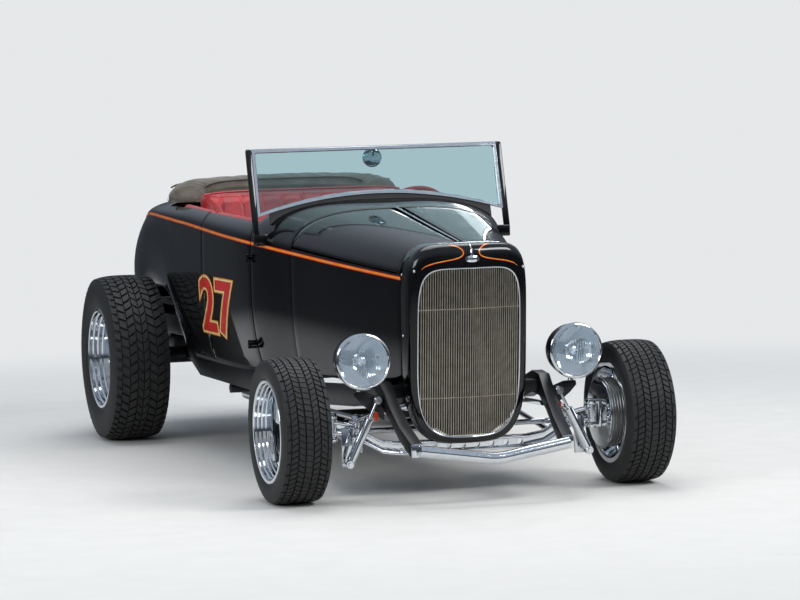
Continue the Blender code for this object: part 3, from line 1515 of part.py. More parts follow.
def make_radius_rods():
    """Hairpin rods: a plate behind the beam, two bars that meet at an eye under the rail."""
    plate_y = station(AXLE_DEEP / 2) + GAP
    top = Vector((HAIRPIN_X, plate_y + HAIRPIN_PLATE / 2, HAIRPIN_TOP_Z))
    low = Vector((HAIRPIN_X, plate_y + HAIRPIN_PLATE / 2, HAIRPIN_LOW_Z))
    x, z = rail_at(HAIRPIN_END)
    end = Vector((HAIRPIN_END_X, station(HAIRPIN_END), z - RAIL_HIGH / 2 - GAP - HAIRPIN_EYE_R))
    plate = block(
        "radius_rod_left",
        (HAIRPIN_X - HAIRPIN_EYE_R, plate_y, HAIRPIN_LOW_Z - HAIRPIN_R),
        (HAIRPIN_X + HAIRPIN_EYE_R, plate_y + HAIRPIN_PLATE, HAIRPIN_TOP_Z + HAIRPIN_R),
        "chrome",
    )
    half = Vector((HAIRPIN_EYE_R, 0, 0))
    pieces = [
        plate,
        rod("bar", top, end, HAIRPIN_R, "chrome", BAR_SIDES),
        rod("bar", low, end, HAIRPIN_R, "chrome", BAR_SIDES),
        rod("eye", end - half, end + half, HAIRPIN_EYE_R, "chrome", ROD_SIDES),
    ]
    rods = fused("radius_rod_left", pieces)
    mirrored("radius_rod_right", rods)


def make_knuckles():
    """Knuckles with their ears round the axle's boss, backing plate, spindle and steering arm."""
    centre = Vector((KINGPIN_X, FRONT_Y, FRONT_TYRE_R))
    half = BOSS_HIGH / 2
    web_in = centre.x + BOSS_R + KNUCKLE_CLEAR
    plate_in = web_in + KNUCKLE_WEB
    pieces = []
    for low in (half + EAR_GAP, -half - EAR_GAP - EAR_HIGH):
        start = centre + Vector((0, 0, low))
        ear = rod("ear", start, start + Vector((0, 0, EAR_HIGH)), BOSS_R, "iron", TUBE_SIDES)
        strap = block(
            "strap",
            (centre.x, centre.y - KNUCKLE_HALF, start.z),
            (web_in + EMBED, centre.y + KNUCKLE_HALF, start.z + EAR_HIGH),
            "iron",
        )
        pieces.append(fused("ear", [ear, strap]))
    reach = half + EAR_GAP + EAR_HIGH
    web = block(
        "knuckle_left",
        (web_in, centre.y - KNUCKLE_HALF, centre.z - reach),
        (plate_in + EMBED, centre.y + KNUCKLE_HALF, centre.z + reach),
        "iron",
    )
    plate = rod(
        "plate",
        (plate_in, centre.y, centre.z),
        (plate_in + PLATE_THICK, centre.y, centre.z),
        PLATE_R,
        "iron",
        DRUM_SIDES,
    )
    spindle_end = FRONT_HALF_TRACK + SPINDLE_OUT
    spindle = rod(
        "spindle",
        (plate_in, centre.y, centre.z),
        (spindle_end, centre.y, centre.z),
        SPINDLE_R,
        "iron",
        TUBE_SIDES,
    )
    arm_start = centre + Vector((0, 0, -half - EAR_GAP - EAR_HIGH / 2))
    eye = Vector((centre.x, centre.y + ARM_LONG, TIE_ROD_Z - TIE_EYE_HIGH / 2 - EAR_GAP))
    flat = Vector((eye.x, eye.y - TIE_EYE_R - EMBED, eye.z - ARM_HALF))
    beyond = Vector((eye.x, eye.y + TIE_EYE_R, eye.z - ARM_HALF))
    rings = []
    for place in (arm_start, flat, beyond):
        corners = ((-1, -1), (1, -1), (1, 1), (-1, 1))
        rings.append([place + ARM_HALF * Vector((across, 0, up)) for across, up in corners])
    arm = loft("arm", rings, "iron")
    knuckle = fused("knuckle_left", [web, plate, spindle, *pieces, arm])
    mirrored("knuckle_right", knuckle)


def make_tie_rod():
    """The bar between the steering arms, an eye over each arm's end."""
    y = FRONT_Y + ARM_LONG
    ends = [Vector((side * KINGPIN_X, y, TIE_ROD_Z)) for side in (-1, 1)]
    pieces = [rod("tie_rod", ends[0], ends[1], ROD_R, "chrome", ROD_SIDES)]
    for end in ends:
        half = Vector((0, 0, TIE_EYE_HIGH / 2))
        pieces.append(rod("eye", end - half, end + half, TIE_EYE_R, "chrome", ROD_SIDES))
    fused("tie_rod", pieces)


def tyre(name, x, y, outer_r, rim_r, wide):
    """A tyre as one turned hoop."""
    wall = outer_r - rim_r
    profile = [(across * wide / 2, rim_r + wall * up) for across, up in TYRE_SHARES]
    return turned(name, profile, (x, y, outer_r), "tyre", TYRE_SIDES)


def wheel(name, x, y, outer_r, rim_r, wide, bore, hub_in):
    """Dished rim with a rolled lip, five wedge spokes and a hub, all in one piece."""
    seat = rim_r - GAP
    half = wide / 2
    edge = RIM_SHARES[0][0] * half
    outer = [(across * half, seat - seat * deep) for across, deep in RIM_SHARES]
    inner = [(across * half, seat - seat * deep - RIM_WALL) for across, deep in reversed(RIM_SHARES)]
    profile = [(edge + RIM_LIP, seat + LIP_HIGH), (edge + RIM_LIP * LIP_START_SHARE, seat + LIP_HIGH)]
    profile += outer + [
        (-edge - RIM_LIP * LIP_START_SHARE, seat + LIP_HIGH), (-edge - RIM_LIP, seat + LIP_HIGH)
    ]
    profile += [(-edge - RIM_LIP, seat - RIM_WALL)] + inner[1:-1] + [(edge + RIM_LIP, seat - RIM_WALL)]
    barrel = turned(name, profile, (x, y, outer_r), "chrome", TYRE_SIDES)
    centre = Vector((x, y, outer_r))
    face = DISH_SHARE * half
    hub_profile = [
        (hub_in - x, bore),
        (face + HUB_PROUD, bore),
        (face + HUB_PROUD, HUB_R * HUB_NOSE_SHARE),
        (face, HUB_R),
        (hub_in - x, HUB_R),
    ]
    hub = turned("hub", hub_profile, (x, y, outer_r), "chrome", TUBE_SIDES)
    spokes = []
    for k in range(SPOKES):
        a = math.tau * k / SPOKES
        out = Vector((0, math.sin(a), math.cos(a)))
        beside = Vector((0, math.cos(a), -math.sin(a)))
        inner_r, outer_reach = HUB_R * SPOKE_START_SHARE, seat * (1 - DISH_DEEP_SHARE) - RIM_WALL * 0.5
        rings = []
        for r, w, t in ((inner_r, SPOKE_ROOT, SPOKE_THICK), (outer_reach, SPOKE_TIP, SPOKE_THICK)):
            middle = centre + out * r
            ring = []
            for c, d in ((-1, -1), (1, -1), (1, 1), (-1, 1)):
                ring.append(middle + beside * c * w / 2 + Vector((face - t / 2 + d * t / 2, 0, 0)))
            rings.append(ring)
        spokes.append(loft("spoke", rings, "chrome"))
    return fused(name, [barrel, hub, *spokes])


def make_wheels():
    """Tyres, rims and the front brake drums."""
    plate_out = KINGPIN_X + BOSS_R + KNUCKLE_CLEAR + KNUCKLE_WEB + PLATE_THICK
    drum_in = plate_out + DRUM_PLAY
    drum_out = drum_in + DRUM_WIDE
    tyre("tyre_front_left", FRONT_HALF_TRACK, FRONT_Y, FRONT_TYRE_R, FRONT_RIM_R, FRONT_TYRE_WIDE)
    tyre("tyre_rear_left", REAR_HALF_TRACK, REAR_Y, REAR_TYRE_R, REAR_RIM_R, REAR_TYRE_WIDE)
    bore = SPINDLE_R + SPINDLE_CLEAR
    wheel(
        "rim_front_left",
        FRONT_HALF_TRACK,
        FRONT_Y,
        FRONT_TYRE_R,
        FRONT_RIM_R,
        FRONT_TYRE_WIDE,
        bore,
        drum_out + GAP,
    )
    rear_in = REAR_AXLE_HALF + REAR_DRUM_WIDE + DRUM_PLAY
    wheel(
        "rim_rear_left",
        REAR_HALF_TRACK,
        REAR_Y,
        REAR_TYRE_R,
        REAR_RIM_R,
        REAR_TYRE_WIDE,
        SHAFT_R + SPINDLE_CLEAR,
        rear_in,
    )
    step = DRUM_WIDE / (2 * FIN_COUNT)
    profile = [(drum_in, DRUM_R - DRUM_WALL)]
    for k in range(FIN_COUNT):
        a = drum_in + 2 * k * step
        profile += [
            (a, DRUM_R),
            (a + step, DRUM_R),
            (a + step, DRUM_R - FIN_DEEP),
            (a + 2 * step, DRUM_R - FIN_DEEP),
        ]
    profile += [(drum_out, bore), (drum_out - DRUM_WALL, bore), (drum_out - DRUM_WALL, DRUM_R - DRUM_WALL)]
    turned("drum_left", profile, (0, FRONT_Y, FRONT_TYRE_R), "alloy", DRUM_SIDES)
    mirrored("drum_right", bpy.data.objects["drum_left"])
    for end in ("front", "rear"):
        for kind in ("tyre", "rim"):
            mirrored(f"{kind}_{end}_right", bpy.data.objects[f"{kind}_{end}_left"])


def make_rear_axle():
    """Axle tube, differential, drums and shafts, with trailing rods and coil springs as one piece."""
    y, z = REAR_Y, REAR_TYRE_R
    pieces = [
        rod("rear_axle", (-REAR_AXLE_HALF, y, z), (REAR_AXLE_HALF, y, z), REAR_AXLE_R, "paint", TUBE_SIDES)
    ]
    rings = []
    for share, r in DIFF_SHARES:
        rings.append(circle((share * DIFF_HALF, y, z), (1, 0, 0), r * DIFF_R, TUBE_SIDES))
    pieces.append(loft("diff", rings, "chrome"))
    for side in (-1, 1):
        drum_end = side * (REAR_AXLE_HALF + REAR_DRUM_WIDE)
        pieces.append(
            rod(
                "drum",
                (side * (REAR_AXLE_HALF - EMBED), y, z),
                (drum_end, y, z),
                REAR_DRUM_R,
                "iron",
                DRUM_SIDES,
            )
        )
        pieces.append(
            rod(
                "shaft",
                (drum_end - side * EMBED, y, z),
                (side * (REAR_HALF_TRACK + SPINDLE_OUT), y, z),
                SHAFT_R,
                "iron",
                TUBE_SIDES,
            )
        )
        x, rail_z = rail_at(REAR_ROD_FRONT)
        front = Vector(
            (side * REAR_ROD_X, station(REAR_ROD_FRONT), rail_z - RAIL_HIGH / 2 - GAP - HAIRPIN_EYE_R)
        )
        half = Vector((HAIRPIN_EYE_R + abs(x - REAR_ROD_X), 0, 0))
        pieces.append(rod("trailing", (front.x, y, z), front, REAR_ROD_R, "chrome", BAR_SIDES))
        pieces.append(rod("eye", front - half, front + half, HAIRPIN_EYE_R, "chrome", ROD_SIDES))
        _, top_z = rail_at(CROSSMEMBER_SHARES[1] * WHEELBASE)
        seat_y = station(CROSSMEMBER_SHARES[1] * WHEELBASE)
        seat = Vector((side * REAR_SPRING_X, seat_y, top_z - CROSSMEMBER_HIGH / 2 - GAP))
        rings = [circle(place, (0, 0, 1), REAR_SPRING_R, ROD_SIDES) for place in ((seat.x, y, z), seat)]
        pieces.append(loft("coil", rings, "chrome"))
    fused("rear_axle", pieces)


def make_tail():
    """Fuel tank, the bar across the rear horns with its two lamps, and the exhaust."""
    _, rail_z = rail_at(TANK_REAR)
    tank = block(
        "fuel_tank",
        (-TANK_HALF, station(TANK_FRONT), TANK_LOW),
        (TANK_HALF, station(TANK_REAR), rail_z + RAIL_HIGH / 2),
        "paint",
    )
    edges = tank.modifiers.new("round", "BEVEL")
    edges.width = TANK_ROUND
    edges.segments = 3
    edges.limit_method = "ANGLE"
    lugs = []
    rail_x, _ = rail_at(TANK_REAR - TANK_ROUND)
    for side in (-1, 1):
        x0, x1 = sorted((side * (TANK_HALF - TANK_ROUND), side * (rail_x - RAIL_WIDE / 2 - GAP)))
        low = (x0, station(TANK_REAR) - 2 * TANK_ROUND, rail_z - TANK_ROUND / 2)
        high = (x1, station(TANK_REAR) - TANK_ROUND, rail_z + TANK_ROUND / 2)
        lugs.append(block("lug", low, high))
    fused("fuel_tank", [tank, *lugs])
    rail_end_x, rail_end_s, rail_end_z = rail_path()[-1]
    y = station(REAR_BAR_STATION)
    pieces = [
        rod(
            "rear_bar",
            (-rail_end_x, y, rail_end_z),
            (rail_end_x, y, rail_end_z),
            REAR_BAR_R,
            "chrome",
            ROD_SIDES,
        )
    ]
    for side in (-1, 1):
        start = station(rail_end_s) + GAP
        pieces.append(
            block(
                "flange",
                (side * rail_end_x - RAIL_WIDE / 2, start, rail_end_z - RAIL_HIGH / 2),
                (side * rail_end_x + RAIL_WIDE / 2, y, rail_end_z + RAIL_HIGH / 2),
                "chrome",
            )
        )
        lamp = Vector((side * TAIL_LAMP_X, y, rail_end_z))
        pieces.append(
            rod(
                "lamp",
                lamp - Vector((0, TAIL_LAMP_LONG / 2, 0)),
                lamp + Vector((0, TAIL_LAMP_LONG / 2, 0)),
                TAIL_LAMP_R,
                "leather",
                TUBE_SIDES,
            )
        )
    fused("rear_bar", pieces)
    pipes = []
    for side in (-1, 1):
        x = side * PIPE_X
        pipes.append(
            rod(
                "pipe",
                (x, station(PIPE_FRONT), PIPE_Z),
                (x, station(PIPE_REAR), PIPE_Z),
                PIPE_R,
                "chrome",
                ROD_SIDES,
            )
        )
        pipes.append(
            rod(
                "muffler",
                (x, station(MUFFLER_FRONT), PIPE_Z),
                (x, station(MUFFLER_REAR), PIPE_Z),
                MUFFLER_R,
                "chrome",
                TUBE_SIDES,
            )
        )
        hang = station(CROSSMEMBER_SHARES[0] * WHEELBASE)
        _, cross_z = rail_at(CROSSMEMBER_SHARES[0] * WHEELBASE)
        low = (x - PIPE_R / 2, hang - PIPE_R / 2, PIPE_Z)
        high = (x + PIPE_R / 2, hang + PIPE_R / 2, cross_z - CROSSMEMBER_HIGH / 2 - GAP)
        pipes.append(block("hanger", low, high, "chrome"))
    middle = station((PIPE_FRONT + MUFFLER_FRONT) / 2)
    cross = rod("exhaust", (-PIPE_X, middle, PIPE_Z), (PIPE_X, middle, PIPE_Z), PIPE_R, "chrome", ROD_SIDES)
    fused("exhaust", [cross, *pipes])


def make_headlights():
    """Bowls with a rolled rim and a domed lens, on the brackets' studs."""
    rings = []
    for share, r in BUCKET_SHARES + LENS_SHARES:
        y = station(LAMP_FRONT_STATION) + LAMP_LONG * (1 - share) - LAMP_LONG * LAMP_SET_SHARE
        rings.append(circle((LAMP_X, y, LAMP_Z), (0, -1, 0), LAMP_R * r, LAMP_SIDES))
    lamp = loft("headlight_left", rings, "chrome")
    foot = Vector((LAMP_X, station(BRACKET_STATION) + BRACKET_THICK / 2, LAMP_Z * LAMP_SEAT_SHARE + GAP))
    stem = rod("stem", foot, foot + Vector((0, 0, LAMP_STUD)), LAMP_STUD_R, "chrome", BAR_SIDES)
    lamp = fused("headlight_left", [lamp, stem])
    mirrored("headlight_right", lamp)


def main():
    """Clears the scene and makes the car."""
    for thing in list(bpy.data.objects):
        bpy.data.objects.remove(thing)
    make_hood()
    make_cowl()
    make_doors()
    make_rear_body()
    make_grille()
    make_inside()
    make_steering_wheel()
    make_windshield()
    make_frame()
    make_spreader_bar()
    make_shocks()
    make_front_axle()
    make_front_spring()
    make_radius_rods()
    make_knuckles()
    make_tie_rod()
    make_wheels()
    make_rear_axle()
    make_tail()
    make_headlights()


main()
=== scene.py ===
"""Dresses the street rod roadster: paint, chrome, rubber, leather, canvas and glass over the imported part.

Lengths are in metres in the part's own frame: +Z up, the nose to -Y, +X the car's own left.
"""

import json
import logging
import math
from collections.abc import Callable, Iterator, Sequence
from contextlib import contextmanager
from dataclasses import dataclass, field
from enum import Enum

import bmesh
import bpy
from mathutils import Matrix, Vector
from mathutils.bvhtree import BVHTree


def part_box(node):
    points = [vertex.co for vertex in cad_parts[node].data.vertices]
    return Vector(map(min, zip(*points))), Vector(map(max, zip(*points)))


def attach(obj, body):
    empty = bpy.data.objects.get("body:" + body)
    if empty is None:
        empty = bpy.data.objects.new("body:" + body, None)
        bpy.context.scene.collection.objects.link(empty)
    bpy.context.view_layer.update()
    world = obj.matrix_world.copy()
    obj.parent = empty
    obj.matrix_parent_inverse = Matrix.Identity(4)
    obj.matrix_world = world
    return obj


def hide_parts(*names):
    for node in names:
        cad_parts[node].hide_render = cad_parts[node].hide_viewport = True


LOG = logging.getLogger("roadster")
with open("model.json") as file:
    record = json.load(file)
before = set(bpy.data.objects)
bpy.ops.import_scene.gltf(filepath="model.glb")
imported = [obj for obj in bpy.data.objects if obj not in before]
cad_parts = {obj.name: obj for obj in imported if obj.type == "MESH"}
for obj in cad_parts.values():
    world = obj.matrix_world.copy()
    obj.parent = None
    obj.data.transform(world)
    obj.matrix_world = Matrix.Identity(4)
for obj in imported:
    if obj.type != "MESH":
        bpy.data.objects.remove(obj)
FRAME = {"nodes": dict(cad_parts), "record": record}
MM = 0.001
FRONT_Y = -1.5135
REAR_Y = 1.1785
ORIGIN = Vector((0, 0, 0))
LEFTWARD = Vector((1, 0, 0))
REARWARD = Vector((0, 1, 0))
FORWARD = Vector((0, -1, 0))
UPWARD = Vector((0, 0, 1))
Profile = Sequence[tuple[float, float]]


def linear(code: str) -> tuple[float, float, float, float]:
    """Turns an sRGB hex colour into the shader's linear one.

    Args:
        code: Six hex digits.

    Returns:
        Red, green, blue and alpha.
    """
    shares = [int(code[k : k + 2], 16) / 255 for k in (0, 2, 4)]
    red, green, blue = (c / 12.92 if c <= 0.04045 else ((c + 0.055) / 1.055) ** 2.4 for c in shares)
    return red, green, blue, 1.0


def add(tree: bpy.types.NodeTree, kind: str, sockets: dict, **settings: object) -> bpy.types.Node:
    """Adds a node to a material.

    Args:
        tree: The material's nodes.
        kind: The node's type.
        sockets: Input name or number to its value, or to the output that feeds it.
        **settings: The node's own properties.

    Returns:
        The node.
    """
    made = tree.nodes.new(kind)
    for name, value in settings.items():
        setattr(made, name, value)
    for name, value in sockets.items():
        if isinstance(value, bpy.types.NodeSocket):
            tree.links.new(value, made.inputs[name])
        else:
            made.inputs[name].default_value = value
    return made


class Grain(Enum):
    """The relief that a finish's making leaves."""

    POLISHED = "polished"
    SPRAYED = "sprayed"
    CAST = "cast"
    BRUSHED = "brushed"
    HIDE = "hide"
    WOVEN = "woven"


@dataclass(frozen=True)
class Finish:
    """One real finish: its colour, its gloss and the relief that its making leaves."""

    name: str
    slot: str
    colour: str
    shade: str
    roughness: float
    grain: Grain
    grain_mm: float
    bump: float
    metallic: float = 0.0
    patch_mm: float = 60.0
    coat: float = 0.0
    sheen: float = 0.0
    wear: float = 0.06
    specular: float = 0.5

    def relief(self, tree: bpy.types.NodeTree, place: bpy.types.NodeSocket) -> bpy.types.NodeSocket:
        """Builds the height pattern.

        Args:
            tree: The material's nodes.
            place: Object coordinates.

        Returns:
            The pattern's height.
        """
        scale = 1 / (self.grain_mm * MM)
        if self.grain is Grain.WOVEN:
            threads = {"Vector": place, "Scale": scale / math.tau, "Distortion": 0.4, "Detail": 1.0}
            waves = [
                add(tree, "ShaderNodeTexWave", threads, bands_direction=axis).outputs["Fac"]
                for axis in "XY"
            ]
            return add(tree, "ShaderNodeMath", {0: waves[0], 1: waves[1]}, operation="MULTIPLY").outputs[0]
        if self.grain is Grain.HIDE:
            cells = {"Vector": place, "Scale": scale}
            return add(tree, "ShaderNodeTexVoronoi", cells, feature="DISTANCE_TO_EDGE").outputs["Distance"]
        stretch = (1, 1, 0.04) if self.grain is Grain.BRUSHED else (1, 1, 1)
        spread = add(tree, "ShaderNodeMapping", {"Vector": place, "Scale": stretch}).outputs[0]
        detail = 6.0 if self.grain is Grain.CAST else 2.0
        specks = {"Vector": spread, "Scale": scale, "Detail": detail}
        return add(tree, "ShaderNodeTexNoise", specks).outputs["Fac"]

    def material(self) -> bpy.types.Material:
        """Returns the finish's material, made the first time that it is asked for.

        Returns:
            The material.
        """
        made = bpy.data.materials.get(self.name)
        if made:
            return made
        made = bpy.data.materials.new(self.name)
        made.use_nodes = True
        tree = made.node_tree
        shader = tree.nodes["Principled BSDF"]
        shader.inputs["Metallic"].default_value = self.metallic
        shader.inputs["Coat Weight"].default_value = self.coat
        shader.inputs["Coat Roughness"].default_value = 0.02
        shader.inputs["Sheen Weight"].default_value = self.sheen
        shader.inputs["Specular IOR Level"].default_value = self.specular
        place = add(tree, "ShaderNodeTexCoord", {}).outputs["Object"]
        patch = {"Vector": place, "Scale": 1 / (self.patch_mm * MM), "Detail": 4.0, "Roughness": 0.6}
        cloud = add(tree, "ShaderNodeTexNoise", patch).outputs["Fac"]
        ramp = add(tree, "ShaderNodeValToRGB", {"Fac": cloud})
        ramp.color_ramp.elements[0].position = 0.35
        ramp.color_ramp.elements[0].color = linear(self.shade)
        ramp.color_ramp.elements[1].position = 0.65
        ramp.color_ramp.elements[1].color = linear(self.colour)
        tree.links.new(ramp.outputs["Color"], shader.inputs["Base Color"])
        low, high = max(self.roughness - self.wear, 0.02), self.roughness + self.wear
        span = {"Value": cloud, "To Min": low, "To Max": high}
        tree.links.new(add(tree, "ShaderNodeMapRange", span).outputs["Result"], shader.inputs["Roughness"])
        if self.bump:
            height = self.relief(tree, place)
            bump = {"Height": height, "Strength": self.bump, "Distance": self.grain_mm * MM * 0.4}
            tree.links.new(add(tree, "ShaderNodeBump", bump).outputs[0], shader.inputs["Normal"])
        return made


# Two-pack gloss black under clear lacquer: deep, wet, a trace of sprayed texture about 3 mm across
PAINT = Finish(
    "black_lacquer", "paint", "060608", "050506",
    roughness=0.30, grain=Grain.SPRAYED, grain_mm=3.0, bump=0.006,
    patch_mm=200, coat=0.85, wear=0.03, specular=0.05,
)
# Chromed steel, buffed: bright, with the faintest cloudy haze
CHROME = Finish(
    "buffed_chrome", "chrome", "D9DCE0", "CDD1D6",
    roughness=0.06, grain=Grain.POLISHED, grain_mm=12.0, bump=0.01,
    metallic=1.0, patch_mm=35, wear=0.03,
)
# Nickel-washed brass wire, drawn lengthwise: greyed gold, its fine upright lines drawn 0.8 mm apart to show
BRASS = Finish(
    "drawn_brass", "brass_bars", "D2CABC", "B5AC9B",
    roughness=0.34, grain=Grain.BRUSHED, grain_mm=0.8, bump=0.02,
    metallic=1.0, patch_mm=25,
)
# Black enamelled iron and steel: half gloss over the casting's 1.5 mm pitting, dusty in patches
IRON = Finish(
    "enamelled_iron", "iron", "15161A", "0C0D0F",
    roughness=0.38, grain=Grain.CAST, grain_mm=1.5, bump=0.20,
    metallic=0.1, patch_mm=30, wear=0.10,
)
# Radiator core, dipped in matt black: 4 mm cells between its fins, too dark to gleam
MESH = Finish(
    "dipped_core", "iron", "0B0B0C", "060607",
    roughness=0.75, grain=Grain.HIDE, grain_mm=4.0, bump=0.60,
    patch_mm=40,
)
# Sand-cast aluminium, wire-brushed: pale grey with a 1 mm grain
ALLOY = Finish(
    "cast_aluminium", "alloy", "B9BABA", "9D9E9F",
    roughness=0.34, grain=Grain.CAST, grain_mm=1.0, bump=0.15,
    metallic=1.0, patch_mm=20, wear=0.08,
)
# Vulcanised tread rubber: near black, dusty grey bloom, 0.8 mm mould texture
RUBBER = Finish(
    "tread_rubber", "tyre", "1C1C1D", "111112",
    roughness=0.62, grain=Grain.CAST, grain_mm=0.8, bump=0.15,
    patch_mm=25, wear=0.10,
)
# Dyed upholstery hide: scarlet, 1.6 mm pores between the creases, soft gloss
LEATHER = Finish(
    "scarlet_hide", "leather", "B3101C", "8E0913",
    roughness=0.42, grain=Grain.HIDE, grain_mm=1.6, bump=0.25,
    patch_mm=50, sheen=0.10,
)
# Doubled cotton duck: warm grey, plain weave with threads 0.9 mm apart, drawn twice that to show
CANVAS = Finish(
    "cotton_duck", "canvas", "6A6258", "4F4940",
    roughness=0.88, grain=Grain.WOVEN, grain_mm=1.8, bump=0.45,
    patch_mm=80, sheen=0.25,
)
# Bound edge of the same duck, darker where hands and sun have worked it
HEM = Finish(
    "duck_binding", "canvas", "3B352E", "2A2620",
    roughness=0.80, grain=Grain.WOVEN, grain_mm=1.4, bump=0.35,
    patch_mm=60, sheen=0.2,
)
# Loop-pile wool carpet: charcoal, 3 mm loops
CARPET = Finish(
    "loop_carpet", "carpet", "1A1A1C", "101011",
    roughness=0.95, grain=Grain.HIDE, grain_mm=3.0, bump=0.50,
    patch_mm=30, sheen=0.15,
)
# Sign-writer's enamel, brushed by hand over the lacquer: flat colour with soft edges of build-up
ORANGE = Finish(
    "orange_sign_enamel", "paint", "F2A02C", "E88A18",
    roughness=0.30, grain=Grain.SPRAYED, grain_mm=2.0, bump=0.03,
    patch_mm=40, coat=0.6,
)
SCARLET = Finish(
    "scarlet_sign_enamel", "paint", "D8261C", "C41C14",
    roughness=0.30, grain=Grain.SPRAYED, grain_mm=2.0, bump=0.03,
    patch_mm=40, coat=0.6,
)
CREAM = Finish(
    "cream_sign_enamel", "paint", "F4E3A6", "EDD68C",
    roughness=0.30, grain=Grain.SPRAYED, grain_mm=2.0, bump=0.03,
    patch_mm=40, coat=0.6,
)
# Moulded amber acrylic of the small signal lamps: saturated, glossy, with a slight 4 mm waviness
AMBER = Finish(
    "amber_acrylic", "chrome", "E0480C", "C83A08",
    roughness=0.18, grain=Grain.SPRAYED, grain_mm=4.0, bump=0.05,
    patch_mm=15, coat=0.8,
)
# Moulded ruby acrylic of the tail lamps: deep and glossy, darker where the moulding is thick
RUBY = Finish(
    "ruby_acrylic", "leather", "A60A10", "8A060C",
    roughness=0.16, grain=Grain.SPRAYED, grain_mm=4.0, bump=0.05,
    patch_mm=15, coat=0.8,
)


@dataclass(frozen=True)
class Clear:
    """A see-through finish: float glass or a pressed lens."""

    name: str
    slot: str
    colour: str
    roughness: float
    alpha: float
    ripple_mm: float
    bump: float

    def material(self) -> bpy.types.Material:
        """Returns the clear material, made the first time that it is asked for.

        Returns:
            The material.
        """
        made = bpy.data.materials.get(self.name)
        if made:
            return made
        made = bpy.data.materials.new(self.name)
        made.use_nodes = True
        tree = made.node_tree
        shader = tree.nodes["Principled BSDF"]
        shader.inputs["Base Color"].default_value = linear(self.colour)
        shader.inputs["Roughness"].default_value = self.roughness
        shader.inputs["IOR"].default_value = 1.5
        shader.inputs["Transmission Weight"].default_value = 1.0
        shader.inputs["Alpha"].default_value = self.alpha
        place = add(tree, "ShaderNodeTexCoord", {}).outputs["Object"]
        if not self.bump:
            return made
        ripple = {"Vector": place, "Scale": 1 / (self.ripple_mm * MM), "Detail": 1.0}
        height = add(tree, "ShaderNodeTexNoise", ripple).outputs["Fac"]
        bump = {"Height": height, "Strength": self.bump, "Distance": MM}
        tree.links.new(add(tree, "ShaderNodeBump", bump).outputs[0], shader.inputs["Normal"])
        return made


# Laminated float glass: flat and clear, with a cool blue-green tint
SCREEN_GLASS = Clear("float_glass", "glass", "B4D2D8", 0.0, 1.0, 90, 0.0)
# Pressed lamp glass: almost clear, with a 6 mm skin ripple over its moulded flutes
LENS_GLASS = Clear("pressed_lens", "glass", "EEF6FB", 0.02, 1.0, 6, 0.04)


